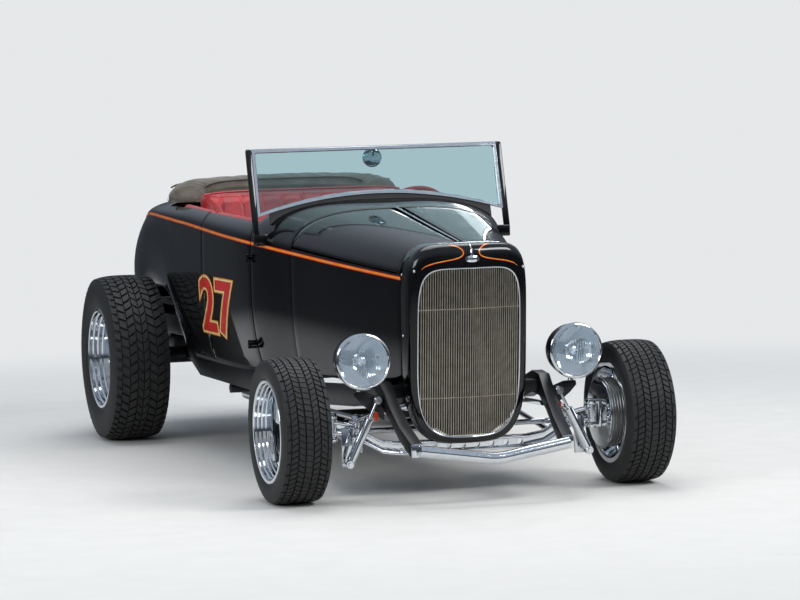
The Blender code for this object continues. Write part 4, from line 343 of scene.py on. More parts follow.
class Bench:
    """The modelling steps that every sub-assembly uses, each done as by hand in the editor."""

    @staticmethod
    def clear() -> None:
        """Leaves nothing selected."""
        bpy.ops.object.select_all(action="DESELECT")

    @staticmethod
    def pick(thing: bpy.types.Object) -> None:
        """Selects one object and makes it active.

        Args:
            thing: The object.
        """
        Bench.clear()
        thing.select_set(True)
        bpy.context.view_layer.objects.active = thing

    @staticmethod
    def added(name: str, data: bpy.types.ID) -> bpy.types.Object:
        """Links a new object to the scene.

        Args:
            name: The object's name.
            data: Its mesh, curve, text, camera or lamp.

        Returns:
            The object.
        """
        thing = bpy.data.objects.new(name, data)
        bpy.context.scene.collection.objects.link(thing)
        return thing

    @staticmethod
    @contextmanager
    def editing(thing: bpy.types.Object) -> Iterator[None]:
        """Keeps one object open in edit mode, all of it selected.

        Args:
            thing: The object.

        Yields:
            Nothing.
        """
        Bench.pick(thing)
        bpy.ops.object.mode_set(mode="EDIT")
        bpy.ops.mesh.select_all(action="SELECT")
        yield
        bpy.ops.object.mode_set(mode="OBJECT")

    @staticmethod
    def settle(thing: bpy.types.Object, smooth: float = 35) -> bpy.types.Object:
        """Applies the place and the modifiers, then shades the piece.

        Args:
            thing: The piece.
            smooth: Edges sharper than this many degrees stay sharp.

        Returns:
            The piece.
        """
        Bench.pick(thing)
        bpy.ops.object.transform_apply(location=True, rotation=True, scale=True)
        for step in list(thing.modifiers):
            bpy.ops.object.modifier_apply(modifier=step.name)
        bpy.ops.object.shade_smooth_by_angle(angle=math.radians(smooth))
        return thing

    @staticmethod
    def shell(name: str, points: Sequence, faces: Sequence) -> bpy.types.Object:
        """Makes an object from points and faces, its doubles merged and its faces turned outwards.

        Args:
            name: The object's name.
            points: Its points.
            faces: Its faces, each a list of the points' numbers.

        Returns:
            The object.
        """
        mesh = bpy.data.meshes.new(name)
        mesh.from_pydata([tuple(p) for p in points], [], [tuple(f) for f in faces])
        made = bmesh.new()
        made.from_mesh(mesh)
        bmesh.ops.remove_doubles(made, verts=made.verts, dist=1e-6)
        bmesh.ops.recalc_face_normals(made, faces=made.faces)
        if made.calc_volume(signed=True) < 0:
            bmesh.ops.reverse_faces(made, faces=made.faces)
        made.to_mesh(mesh)
        made.free()
        return Bench.added(name, mesh)

    @staticmethod
    def rings(name: str, rows: Sequence, hoop: bool = False, caps: bool = True) -> bpy.types.Object:
        """Skins rings of equal count.

        Args:
            name: The object's name.
            rows: The rings, each a list of points.
            hoop: Whether the last ring joins the first.
            caps: Whether the two ends are closed.

        Returns:
            The object.
        """
        count = len(rows[0])
        faces = []
        for r in range(len(rows) if hoop else len(rows) - 1):
            ahead = (r + 1) % len(rows)
            for k in range(count):
                beside = (k + 1) % count
                faces.append((r * count + k, r * count + beside, ahead * count + beside, ahead * count + k))
        if caps and not hoop:
            faces.append(tuple(reversed(range(count))))
            faces.append(tuple((len(rows) - 1) * count + k for k in range(count)))
        return Bench.shell(name, [p for row in rows for p in row], faces)

    @staticmethod
    def turned(
        name: str, profile: Profile, centre: Vector, axis: Vector, steps: int = 64
    ) -> bpy.types.Object:
        """Spins a closed profile round an axis.

        Args:
            name: The object's name.
            profile: Distance along the axis and radius, point by point round the section.
            centre: A point on the axis, from which distances count.
            axis: The axis.
            steps: Faces round the whole turn.

        Returns:
            The turned object.
        """
        axis = Vector(axis).normalized()
        out = axis.orthogonal().normalized()
        points = [Vector(centre) + axis * along + out * radius for along, radius in profile]
        mesh = bpy.data.meshes.new(name)
        count = len(points)
        mesh.from_pydata([tuple(p) for p in points], [(k, (k + 1) % count) for k in range(count)], [])
        thing = Bench.added(name, mesh)
        with Bench.editing(thing):
            bpy.ops.mesh.spin(steps=steps, angle=math.tau, center=tuple(centre), axis=tuple(axis))
            bpy.ops.mesh.select_all(action="SELECT")
            bpy.ops.mesh.remove_doubles(threshold=1e-5)
            bpy.ops.mesh.normals_make_consistent(inside=False)
        return thing

    @staticmethod
    def box(
        name: str, low: Sequence, high: Sequence, bevel: float = 0.0, segments: int = 2
    ) -> bpy.types.Object:
        """Adds a box between two corners, its edges bevelled.

        Args:
            name: The object's name.
            low: Its lowest corner.
            high: Its highest corner.
            bevel: How much each edge is broken.
            segments: The bevel's steps.

        Returns:
            The box.
        """
        Bench.clear()
        centre = (Vector(low) + Vector(high)) / 2
        bpy.ops.mesh.primitive_cube_add(size=1, location=centre, scale=tuple(Vector(high) - Vector(low)))
        thing = bpy.context.object
        thing.name = name
        bpy.ops.object.transform_apply(location=True, rotation=True, scale=True)
        if bevel:
            with Bench.editing(thing):
                bpy.ops.mesh.bevel(offset=bevel, segments=segments, affect="EDGES")
        return thing

    @staticmethod
    def tube(
        name: str, path: Sequence, radius: float, sides: int = 4, hoop: bool = False
    ) -> bpy.types.Object:
        """Draws a curve through points, rounds it and makes it a mesh with closed ends.

        Args:
            name: The object's name.
            path: The points of its middle line.
            radius: The tube's radius.
            sides: A quarter's bevel steps.
            hoop: Whether the line closes on itself.

        Returns:
            The tube.
        """
        curve = bpy.data.curves.new(name, "CURVE")
        curve.dimensions = "3D"
        curve.bevel_depth = radius
        curve.bevel_resolution = sides
        curve.use_fill_caps = not hoop
        line = curve.splines.new("POLY")
        line.points.add(len(path) - 1)
        for point, place in zip(line.points, path):
            point.co = (*place, 1)
        line.use_cyclic_u = hoop
        Bench.pick(Bench.added(name, curve))
        bpy.ops.object.convert(target="MESH")
        thing = bpy.context.object
        with Bench.editing(thing):
            bpy.ops.mesh.remove_doubles(threshold=1e-6)
            bpy.ops.mesh.normals_make_consistent(inside=False)
        return thing

    @staticmethod
    def copies(name: str, thing: bpy.types.Object, moves: Sequence[Matrix]) -> bpy.types.Object:
        """Joins one copy of a piece for each move into one mesh, and removes the model for it.

        Args:
            name: The new object's name.
            thing: The piece that is repeated.
            moves: Where each copy goes.

        Returns:
            The copies, as one object.
        """
        made = bmesh.new()
        for move in moves:
            mesh = thing.data.copy()
            mesh.transform(move)
            if move.determinant() < 0:
                mesh.flip_normals()
            made.from_mesh(mesh)
            bpy.data.meshes.remove(mesh)
        mesh = bpy.data.meshes.new(name)
        made.to_mesh(mesh)
        made.free()
        bpy.data.objects.remove(thing)
        return Bench.added(name, mesh)

    @staticmethod
    def joined(name: str, things: Sequence[bpy.types.Object]) -> bpy.types.Object:
        """Joins pieces into one object.

        Args:
            name: The object's name.
            things: The pieces.

        Returns:
            The object.
        """
        Bench.clear()
        for thing in things:
            thing.select_set(True)
        bpy.context.view_layer.objects.active = things[0]
        if len(things) > 1:
            bpy.ops.object.join()
        things[0].name = name
        return things[0]


MIRROR_X = Matrix.Diagonal((-1, 1, 1, 1))


def place(
    thing: bpy.types.Object,
    finish: Finish | Clear,
    body: str,
    *nodes: str,
    smooth: float = 35,
) -> bpy.types.Object:
    """Settles a piece, dresses it and hangs it on its body.

    Args:
        thing: The piece.
        finish: What it is made of.
        body: The body that it moves with.
        *nodes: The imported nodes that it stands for.
        smooth: Edges sharper than this many degrees stay sharp.

    Returns:
        The piece.
    """
    Bench.settle(thing, smooth)
    thing.data.materials.clear()
    thing.data.materials.append(finish.material())
    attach(thing, body)
    if nodes:
        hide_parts(*nodes)
    LOG.info("%s: %d faces on %s", thing.name, len(thing.data.polygons), body)
    return thing


def twin(thing: bpy.types.Object, name: str) -> bpy.types.Object:
    """Returns a copy of a piece on the car's other side, not yet placed.

    Args:
        thing: The piece.
        name: The copy's name.

    Returns:
        The copy.
    """
    mesh = thing.data.copy()
    mesh.transform(MIRROR_X)
    mesh.flip_normals()
    return Bench.added(name, mesh)


def both(
    thing: bpy.types.Object,
    finish: Finish | Clear,
    body: str,
    *nodes: str,
    smooth: float = 35,
    also: Callable[[bpy.types.Object], None] | None = None,
) -> None:
    """Places a left piece and its twin; where a name says left, the twin's says right.

    Args:
        thing: The left piece.
        finish: What both are made of.
        body: The left piece's body.
        *nodes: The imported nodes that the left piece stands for.
        smooth: Edges sharper than this many degrees stay sharp.
        also: What the twin still needs before it is placed.
    """
    other = twin(thing, thing.name.replace("left", "right"))
    if also:
        also(other)
    place(thing, finish, body, *nodes, smooth=smooth)
    right = [node.replace("left", "right") for node in nodes]
    place(other, finish, body.replace("left", "right"), *right, smooth=smooth)


@dataclass
class Skin:
    """The body's outer form: sections along the car, joined by smooth curves.

    Each row of shares has its station, then hip, belt and bottom half-width, belt height, crown rise and
    bottom height, all as shares of units.
    """

    wheelbase: float = 2.692
    units: tuple[float, ...] = (2.692, 0.58, 0.58, 0.58, 1.0, 0.172, 0.436)
    hip_share: float = 0.6
    side_power: float = 3.0
    top_power: float = 2.2
    shares: tuple[tuple[float, ...], ...] = (
        (-0.0074, 0.430, 0.430, 0.415, 0.865, 0.785, 1.00),
        (0.1486, 0.630, 0.630, 0.600, 0.902, 0.900, 1.00),
        (0.2935, 0.800, 0.800, 0.745, 0.938, 1.000, 1.00),
        (0.4086, 0.955, 0.950, 0.875, 0.970, 1.030, 1.00),
        (0.5572, 0.995, 0.990, 0.920, 0.990, 0.950, 1.00),
        (0.7801, 1.000, 0.990, 0.925, 1.017, 0.800, 1.00),
        (0.8500, 1.000, 0.985, 0.925, 1.022, 0.720, 1.04),
        (0.8950, 1.000, 0.980, 0.925, 1.026, 0.660, 1.21),
        (0.9658, 0.998, 0.966, 0.925, 1.030, 0.580, 1.53),
        (1.0400, 0.996, 0.948, 0.930, 1.034, 0.490, 1.62),
        (1.0958, 0.993, 0.925, 0.935, 1.030, 0.440, 1.57),
        (1.1500, 0.980, 0.890, 0.930, 1.005, 0.440, 1.33),
        (1.1850, 0.960, 0.850, 0.905, 0.970, 0.440, 1.19),
        (1.2259, 0.910, 0.770, 0.860, 0.900, 0.460, 1.14),
        (1.2630, 0.790, 0.640, 0.750, 0.800, 0.460, 1.14),
        (1.2820, 0.600, 0.470, 0.560, 0.710, 0.350, 1.14),
        (1.2853, 0.060, 0.050, 0.055, 0.640, 0.060, 1.25),
    )

    @staticmethod
    def y(s: float) -> float:
        """Turns a distance behind the front axle into Y."""
        return FRONT_Y + s

    def section(self, s: float) -> list[float]:
        """Finds hip, belt and bottom half-widths, belt height, crown rise and bottom height.

        Args:
            s: A station behind the front axle.

        Returns:
            The six values, eased between the sections on either side.
        """
        rows = [[share * unit for share, unit in zip(row, self.units)] for row in self.shares]
        last = len(rows) - 2
        k = 0
        while k < last and s > rows[k + 1][0]:
            k += 1
        before, here, after, beyond = (rows[min(max(k + d, 0), last + 1)] for d in (-1, 0, 1, 2))
        span = after[0] - here[0]
        t = (s - here[0]) / span
        values = []
        for c in range(1, len(here)):
            slope_in = (after[c] - before[c]) / (after[0] - before[0]) * span
            slope_out = (beyond[c] - here[c]) / (beyond[0] - here[0]) * span
            values.append(
                here[c] * (2 * t**3 - 3 * t**2 + 1)
                + slope_in * (t**3 - 2 * t**2 + t)
                + after[c] * (3 * t**2 - 2 * t**3)
                + slope_out * (t**3 - t**2)
            )
        return values

    def point(self, s: float, v: float) -> Vector:
        """Finds a point of the left skin.

        Args:
            s: A station behind the front axle.
            v: 0 at the bottom edge, 1 at the belt and 2 at the crown.

        Returns:
            The point.
        """
        hip, belt, bottom, belt_z, rise, bottom_z = self.section(s)
        if v <= 1:
            if v < self.hip_share:
                t = v / self.hip_share
                x = bottom + (hip - bottom) * (2 * t - t * t)
            else:
                t = (v - self.hip_share) / (1 - self.hip_share)
                x = hip + (belt - hip) * t * t
            z = bottom_z + (belt_z - bottom_z) * v
        else:
            a = (min(v, 1.9999) - 1) * math.pi / 2
            x = belt * math.cos(a) ** (2 / self.side_power)
            z = belt_z + rise * math.sin(a) ** (2 / self.top_power)
        return Vector((x, self.y(s), z))

    def normal(self, s: float, v: float) -> Vector:
        """Returns the outward direction of the skin there.

        Args:
            s: A station behind the front axle.
            v: The height, as for point.

        Returns:
            The direction, of length 1.
        """
        step = 1e-4
        v = min(v, 1.999)
        low, high = max(v - step, 0), v + step
        top = 3.4599
        along = self.point(min(s + step, top), v) - self.point(min(s, top) - step, v)
        out = along.cross(self.point(s, high) - self.point(s, low)).normalized()
        return out if out.x >= 0 or out.z > 0 else -out

    def v_of(self, share: float) -> float:
        """Returns the v of the crown's point whose X is that share of the belt's half-width."""
        return 1 + math.acos(share ** (self.side_power / 2)) * 2 / math.pi

    def crown_z(self, s: float, x: float) -> float:
        """Returns the crown's height at a station and an X."""
        _, belt, _, belt_z, rise, _ = self.section(s)
        return belt_z + rise * (1 - min(abs(x) / belt, 1) ** self.side_power) ** (1 / self.top_power)

    def on(self, s: float, v: float, lift: float, side: int = 1) -> Vector:
        """Returns a point that stands off the skin, on the left for 1 and on the right for -1."""
        spot = self.point(s, v) + self.normal(s, v) * lift
        return Vector((side * spot.x, spot.y, spot.z))


SKIN = Skin()


@dataclass
class Coachwork:
    """The painted panels, drawn anew on the body's form with fine sections and rounded edges."""

    wall: float = 0.042
    rear_wall: float = 0.034
    hood_wall: float = 0.012
    lid_wall: float = 0.020
    gap: float = 0.006
    edge: float = 0.0016
    hood: tuple[float, float] = (-0.020, 0.790)
    door: tuple[float, float] = (1.100, 1.810)
    lid: tuple[float, float] = (2.760, 3.340)
    quarter_shares: tuple[float, ...] = (0.674, 0.724, 0.7801, 0.82, 0.85, 0.872, 0.895, 0.93, 0.9658)
    well_rear: float = 2.670
    tail: float = 3.4599
    seat_z: float = 0.4303
    firewall: tuple[float, float] = (0.792, 0.804)
    strip: tuple[float, float, float] = (0.0355, 0.545, 0.652)
    lid_hinge: float = 0.260

    def panel(
        self,
        name: str,
        stations: Sequence[float],
        over: Sequence[float],
        wall: float,
        keep: Callable[[int, int], bool] | None = None,
        trim: tuple[float, float] = (0, 0),
        seated: bool = False,
    ) -> bpy.types.Object:
        """Makes a skin panel of even thickness.

        Args:
            name: The object's name.
            stations: Its sections' places along the car.
            over: The v values across; past 2 they run down the right side.
            wall: Its thickness.
            keep: Which cells are metal.
            trim: How far the inner face is short of the outer at its two ends.
            seated: Whether the bottom edge is drawn down to the floor's edge.

        Returns:
            The panel.
        """
        rows, columns = len(stations), len(over)
        outer, inner = [], []
        for s in stations:
            share = (s - stations[0]) / (stations[-1] - stations[0])
            within = stations[0] + trim[0] + share * (stations[-1] - trim[1] - stations[0] - trim[0])
            for v in over:
                side, height = (1, v) if v <= 2 else (-1, 4 - v)
                spot = SKIN.point(s, height)
                under = SKIN.point(within, height) - wall * SKIN.normal(within, height)
                if v == 2:
                    spot.x, under.x = 0, 0
                for place_of, point in ((outer, spot), (inner, under)):
                    z = self.seat_z if seated and point.z < 0.456 else point.z
                    place_of.append((side * point.x, point.y, z))
        shift = len(outer)
        cells = {(i, j) for i in range(rows - 1) for j in range(columns - 1) if keep is None or keep(i, j)}
        faces = []
        for i, j in sorted(cells):
            a, b = i * columns + j, i * columns + j + 1
            c, d = b + columns, a + columns
            faces += [(a, b, c, d), (shift + d, shift + c, shift + b, shift + a)]
            for beside, (p, q) in (
                ((i, j - 1), (d, a)),
                ((i, j + 1), (b, c)),
                ((i - 1, j), (a, b)),
                ((i + 1, j), (c, d)),
            ):
                if beside not in cells:
                    faces.append((q, p, shift + p, shift + q))
        used = sorted({k for face in faces for k in face})
        index = {k: n for n, k in enumerate(used)}
        points = [(outer + inner)[k] for k in used]
        thing = Bench.shell(name, points, [tuple(index[k] for k in face) for face in faces])
        self.round_edges(thing)
        return thing

    def round_edges(self, thing: bpy.types.Object) -> None:
        """Rounds a panel's folded edges, so that the gaps between panels catch the light.

        Args:
            thing: The panel.
        """
        bevel = thing.modifiers.new("edge", "BEVEL")
        bevel.width = self.edge
        bevel.segments = 2
        bevel.limit_method = "ANGLE"
        bevel.angle_limit = math.radians(50)

    @staticmethod
    def spread(first: float, last: float, count: int) -> list[float]:
        """Returns evenly spread values, both ends included."""
        return [first + (last - first) * k / count for k in range(count + 1)]

    @staticmethod
    def arch(left: Sequence[float]) -> list[float]:
        """Returns a whole arch's values from those of its left half."""
        return [*left, *(4 - v for v in reversed(left[:-1]))]

    def hood_panels(self) -> None:
        """Makes the hood's sides and its two lids."""
        start, end = self.hood
        over = [v * 1.05 for v in self.spread(0, 1, 14)]
        side = self.panel(
            "hood_side_left_skin", self.spread(start + 0.0003, end - 0.0003, 24), over, self.hood_wall
        )
        both(side, PAINT, "car", "hood_side_left", also=self.round_edges)
        over = [*self.spread(1.08, 1.9, 24), 1.94, 1.97, 1.9899]
        lid = self.panel(
            "hood_top_left_skin", self.spread(start + self.gap, end - self.gap, 24), over, self.hood_wall
        )
        for vertex in lid.data.vertices:
            vertex.co.x = max(vertex.co.x, 0.0046)
        both(lid, PAINT, "hood_left", "hood_top_left", also=self.round_edges)

    def cowl(self) -> None:
        """Makes the cowl with its firewall."""
        start, end = self.hood[1] + 0.0003, self.door[0] - self.gap / 2
        over = self.arch([*self.spread(0, 1, 12), *self.spread(1.04, 2, 22)])
        cowl = self.panel("cowl_skin", self.spread(start, end, 12), over, self.wall, seated=True)
        outline = []
        for v in over:
            height = min(v, 4 - v, 1.9999)
            spot = SKIN.point(start, height) - SKIN.normal(start, height) * self.wall / 2
            outline.append((spot.x if v <= 2 else -spot.x, spot.z))
        rows = [[(x, SKIN.y(s), z) for x, z in outline] for s in self.firewall]
        wall = Bench.rings("firewall", rows)
        place(wall, IRON, "car")
        place(cowl, PAINT, "car", "cowl")

    def door_barrels(self, name: str, thirds: Sequence[tuple[float, float]], turn: int) -> bpy.types.Object:
        """Makes one side's hinge barrels with their leaves.

        Args:
            name: The object's name.
            thirds: The barrel's spans, from the hinge's middle.
            turn: 1 for leaves on the door, -1 for leaves on the cowl.

        Returns:
            The left side's barrels.
        """
        s = self.door[0]
        hip, low, high = SKIN.point(s, 0.6).x, SKIN.point(s, 0).z, SKIN.point(s, 1).z
        x, y = hip + 0.012, SKIN.y(s)
        things = []
        for share in (0.20, 0.88):
            middle, skin = low + (high - low) * share, SKIN.point(s, share).x
            for start, end in thirds:
                z0, z1 = middle + start, middle + end
                tall = z1 - z0
                profile = [
                    (0, 0.0001), (0, 0.007), (0.001, 0.008),
                    (tall - 0.001, 0.008), (tall, 0.007), (tall, 0.0001),
                ]
                things.append(Bench.turned("barrel", profile, Vector((x, y, z0)), UPWARD, 24))
                near, far = y + turn * self.gap / 2, y + turn * (self.gap / 2 + 0.030)
                y0, y1 = sorted((near, far))
                things.append(Bench.box("leaf", (skin - 0.002, y0, z0), (skin + 0.006, y1, z1), 0.0015))
                y0, y1 = sorted((near, near + turn * 0.008))
                things.append(Bench.box("neck", (skin, y0, z0), (x, y1, z1), 0.001))
        return Bench.joined(name, things)

    def doors(self) -> None:
        """Makes both doors and the four hinges."""
        shoulder = SKIN.v_of(0.93)
        over = [*self.spread(0, 1, 14), *self.spread(1 + (shoulder - 1) / 5, shoulder, 4)]
        stations = self.spread(self.door[0] + self.gap / 2, self.door[1] - self.gap / 2, 20)
        door = self.panel("door_left_skin", stations, over, self.wall, trim=(0.004, 0.008))
        both(door, PAINT, "door_left", "door_left", also=self.round_edges)
        third, play = 0.012, 0.0003
        half = third / 2 + play
        spans = {
            "door": ([(play - third / 2, third / 2 - play)], 1),
            "post": ([(-1.5 * third + play, -half), (half, 1.5 * third - play)], -1),
        }
        for kind, (thirds, turn) in spans.items():
            left = self.door_barrels(f"{kind}_hinges_left", thirds, turn)
            both(left, PAINT, "door_left" if kind == "door" else "car")

    def rear_sections(self) -> tuple[list[float], int, int, int]:
        """Spreads the rear body's sections, closer where it curves more.

        Returns:
            The stations, and the numbers of the ones at the well's front and at the lid's two edges.
        """
        first = [share * SKIN.wheelbase for share in self.quarter_shares]
        first[0] = self.door[1] + self.gap / 2
        stations: list[float] = []
        for a, b in zip(first, first[1:]):
            stations += self.spread(a, b, 4)[:-1]
        well = len(stations)
        stations += [first[-1], self.well_rear]
        lid_front = len(stations)
        stations += self.spread(self.lid[0], self.lid[1], 26)
        lid_rear = len(stations) - 1
        closing = 22
        rest = self.tail - self.lid[1]
        stations += [self.tail - rest * (1 - k / closing) ** 2 for k in range(1, closing + 1)]
        return stations, well, lid_front, lid_rear

    def rear(self) -> None:
        """Makes the rear body and the deck lid."""
        stations, well, lid_front, lid_rear = self.rear_sections()
        shoulder, edge = SKIN.v_of(0.93), SKIN.v_of(0.72)
        left = [*self.spread(0, 1, 14), *self.spread(1 + (shoulder - 1) / 5, shoulder, 4)]
        cockpit = len(left) - 1
        left += self.spread(shoulder + (edge - shoulder) / 5, edge, 4)
        lid_column = len(left) - 1
        left += self.spread(edge + (2 - edge) / 10, 2, 9)
        over = self.arch(left)

        def keep(i: int, j: int) -> bool:
            """Tells whether a cell is metal.

            Args:
                i: The cell's station.
                j: The cell's place across.

            Returns:
                Whether it is.
            """
            column = min(j, 2 * (len(left) - 1) - 1 - j)
            if i < well:
                return column < cockpit
            if lid_front <= i < lid_rear:
                return column < lid_column
            return True

        body = self.panel("rear_body_skin", stations, over, self.rear_wall, keep=keep, seated=True)
        place(body, PAINT, "car", "rear_body")
        rear, (half, low, high) = SKIN.y(self.tail), self.strip
        strip = Bench.box("tail_strip", (-half, rear - 0.012, low), (half, rear - 0.0003, high), 0.002)
        place(strip, PAINT, "car")
        edge += 0.012
        over = self.arch(self.spread(edge, 2, 14))
        stations = self.spread(self.lid[0] + self.gap, self.lid[1] - self.gap, 26)
        lid = self.panel("deck_lid_skin", stations, over, self.lid_wall)
        place(lid, PAINT, "deck_lid", "deck_lid")
        self.lid_hinges()

    def lid_hinges(self) -> None:
        """Makes the deck lid's two chromed strap hinges: the body's half and the lid's half."""
        s, x = self.lid[0], self.lid_hinge
        y, z = SKIN.y(s + self.gap / 2), SKIN.crown_z(s, x) + 0.005
        for kind, turn in (("body", -1), ("lid", 1)):
            inner = x + 0.0003 if kind == "body" else x - 0.0303
            profile = [
                (0, 0.0001), (0, 0.0042), (0.001, 0.005), (0.029, 0.005), (0.030, 0.0042), (0.030, 0.0001)
            ]
            barrel = Bench.turned("barrel", profile, Vector((inner, y, z)), LEFTWARD, 20)
            near, far = y + turn * self.gap / 2, y + turn * (self.gap / 2 + 0.030)
            y0, y1 = sorted((near, far))
            low = SKIN.crown_z(s + self.gap / 2 + turn * 0.030, x) - 0.004
            leaf = Bench.box("leaf", (inner, y0, low), (inner + 0.030, y1, z - 0.0005), 0.001)
            y0, y1 = sorted((y, near + turn * 0.002))
            neck = Bench.box("neck", (inner, y0, z - 0.0025), (inner + 0.030, y1, z - 0.0005))
            left = Bench.joined(f"lid_hinge_{kind}_left", [barrel, leaf, neck])
            both(left, CHROME, "car" if kind == "body" else "deck_lid")

    def build(self) -> None:
        """Makes every painted panel."""
        self.hood_panels()
        self.cowl()
        self.doors()
        self.rear()


@dataclass
class Grille:
    """The painted radiator shell, and the upright bars with their bright surround and cross wires."""

    half: float = 0.215
    bottom: float = 0.230
    top: float = 0.906
    shell_half: float = 0.250
    shell_bottom: float = 0.204
    shell_top: float = 1.000
    wall: float = 0.010
    round: float = 0.055
    rear: float = -0.020
    bars: int = 44
    powers: tuple[float, float] = (6.0, 3.6)

    def outline(self, half: float, low: float, high: float, inset: float = 0, sides: int = 144) -> list:
        """Returns the grille's outline in X and Z, squarer at the top than at the bottom.

        Args:
            half: Its half width.
            low: Its lowest height.
            high: Its top.
            inset: How far within that it runs.
            sides: How many points it has.

        Returns:
            The points.
        """
        half, middle, tall = half - inset, (low + high) / 2, (high - low) / 2 - inset
        points = []
        for k in range(sides):
            a = math.tau * k / sides
            power = 2 / (self.powers[0] if math.sin(a) > 0 else self.powers[1])
            x = half * math.copysign(abs(math.cos(a)) ** power, math.cos(a))
            points.append((x, middle + tall * math.copysign(abs(math.sin(a)) ** power, math.sin(a))))
        return points

    def nose(self, x: float, z: float) -> float:
        """Returns the station of the grille's face: vee'd in plan and leaning forward at the top."""
        return -0.174 + 0.0962 * (self.top - z) + 0.16 * abs(x)

    def back(self, z: float) -> float:
        """Returns the station of the shell's rear edge, cut forward at the bottom."""
        return self.rear - 0.045 * max(0, (0.440 - z) / (0.440 - self.shell_bottom))

    def shell(self) -> None:
        """Makes the shell with its rolled front edge."""
        outside = self.outline(self.shell_half, self.shell_bottom, self.shell_top)
        within = self.outline(self.shell_half, self.shell_bottom, self.shell_top, self.wall)
        lip = self.outline(self.half, self.bottom, self.top)
        rings = []
        for (xo, zo), (xi, zi), (xl, zl) in zip(outside, within, lip):
            xm, zm = (xo + xl) / 2, (zo + zl) / 2
            nose = self.nose(xl, zl)
            ring = [(xo, self.back(zo), zo)]
            for k in range(7):
                t = k / 6
                a, b, c = (1 - t) ** 2, 2 * t * (1 - t), t * t
                x = a * xo + b * (xo + (xm - xo) * 0.02) + c * xm
                z = a * zo + b * (zo + (zm - zo) * 0.02) + c * zm
                s = a * (nose + self.round) + b * (nose + self.round * 0.12) + c * (nose + self.round * 0.1)
                ring.append((x, s, z))
            ring += [(xl + (xm - xl) * 0.25, nose + 0.0006, zl + (zm - zl) * 0.25), (xl, nose, zl)]
            ring += [(xl, nose + 0.004, zl), (xl, nose + 0.010 + self.wall, zl)]
            ring += [(xi, nose + self.round + self.wall, zi), (xi, self.back(zo), zi)]
            rings.append([(x, SKIN.y(s), z) for x, s, z in ring])
        place(Bench.rings("grille_shell_skin", rings, hoop=True), PAINT, "car", "grille_shell", smooth=50)

    def surround(self) -> bpy.types.Object:
        """Makes the bright line round the bars.

        Returns:
            The surround.
        """
        rows = []
        depth = (
            (0.0003, 0.0), (0.0003, 0.009), (0.0063, 0.009),
            (0.0063, 0.002), (0.0050, 0.0), (0.0018, -0.0008),
        )
        outlines = [self.outline(self.half, self.bottom, self.top, inset) for inset, _ in depth]
        for k, (xo, zo) in enumerate(outlines[0]):
            nose = self.nose(xo, zo) + 0.002
            ring = [(*line[k], nose + deep) for line, (_, deep) in zip(outlines, depth)]
            rows.append([(x, SKIN.y(s), z) for x, z, s in ring])
        return Bench.rings("surround", rows, hoop=True)

    def bar(self, x: float) -> bpy.types.Object:
        """Makes one upright bar, rounded in front, its ends inside the surround.

        Args:
            x: Its place across.

        Returns:
            The bar.
        """
        half, middle = self.half - 0.0033, (self.bottom + self.top) / 2
        tall = (self.top - self.bottom) / 2 - 0.0033
        rows = []
        for share in (-1, -0.5, 0, 0.5, 1):
            power = self.powers[0 if share > 0 else 1]
            reach = middle + share * tall * (1 - abs(x / half) ** power) ** (1 / power)
            nose = self.nose(x, reach) + 0.003
            section = ((-1.4, 6), (1.4, 6), (1.6, 1.3), (1.25, 0.35), (0, 0), (-1.25, 0.35), (-1.6, 1.3))
            rows.append([(x + across * MM, SKIN.y(nose + deep * MM), reach) for across, deep in section])
        return Bench.rings("bar", rows)

    def wire(self, z: float) -> bpy.types.Object:
        """Makes one wire across the backs of the bars.

        Args:
            z: Its height.

        Returns:
            The wire.
        """
        reach = self.half - 0.003
        path = [(x, SKIN.y(self.nose(x, z) + 0.0105), z) for x in (-reach, -0.0008, 0, 0.0008, reach)]
        return Bench.tube("wire", path, 0.0022, 3)

    def core(self) -> bpy.types.Object:
        """Makes the dark core that shows between the bars.

        Returns:
            The core.
        """
        rows = []
        low, high = self.bottom + 0.010, self.top - 0.012
        for k in range(13):
            z = low + (high - low) * k / 12
            power = self.powers[0] if k > 6 else self.powers[1]
            middle, tall = (self.bottom + self.top) / 2, (self.top - self.bottom) / 2 - 0.006
            reach = (self.half - 0.007) * (1 - abs((z - middle) / tall) ** power) ** (1 / power)
            line = [(share * reach, z) for share in (-1, -0.5, 0, 0.5, 1)]
            face = [(x, SKIN.y(self.nose(x, z) + 0.0150), z) for x, z in line]
            rear = [(x, SKIN.y(self.nose(x, z) + 0.0165), z) for x, z in reversed(line)]
            rows.append([*face, *rear])
        return Bench.rings("core", rows)

    def insert(self) -> None:
        """Makes the bars, their surround and the two wires."""
        clear = self.half - 0.006
        bars = [self.bar(clear * (2 * (k + 1) / (self.bars + 1) - 1)) for k in range(self.bars)]
        place(Bench.joined("grille_bars", bars), BRASS, "car", "grille_insert", smooth=50)
        place(self.surround(), CHROME, "car", "grille_insert", smooth=50)
        place(self.core(), MESH, "car", "grille_insert")
        tall = self.top - self.bottom
        wires = [self.wire(self.bottom + tall * share) for share in (0.237, 0.757)]
        place(Bench.joined("cross_wires", wires), BRASS, "car", "grille_insert")

    def build(self) -> None:
        """Makes the whole grille."""
        self.shell()
        self.insert()


@dataclass(frozen=True)
class Pattern:
    """A tread pattern, in shares of the tyre's half width and of the pitch round it.

    Each row has its middle, half width, skew and the gap behind a block; stagger shifts a row by its
    place and by its side; the shoulder has its two edges, a block's length and its skew.
    """

    count: int
    rows: tuple[tuple[float, float, float, float], ...]
    stagger: tuple[float, float]
    shoulder: tuple[float, float, float, float]
    shoulder_count: int


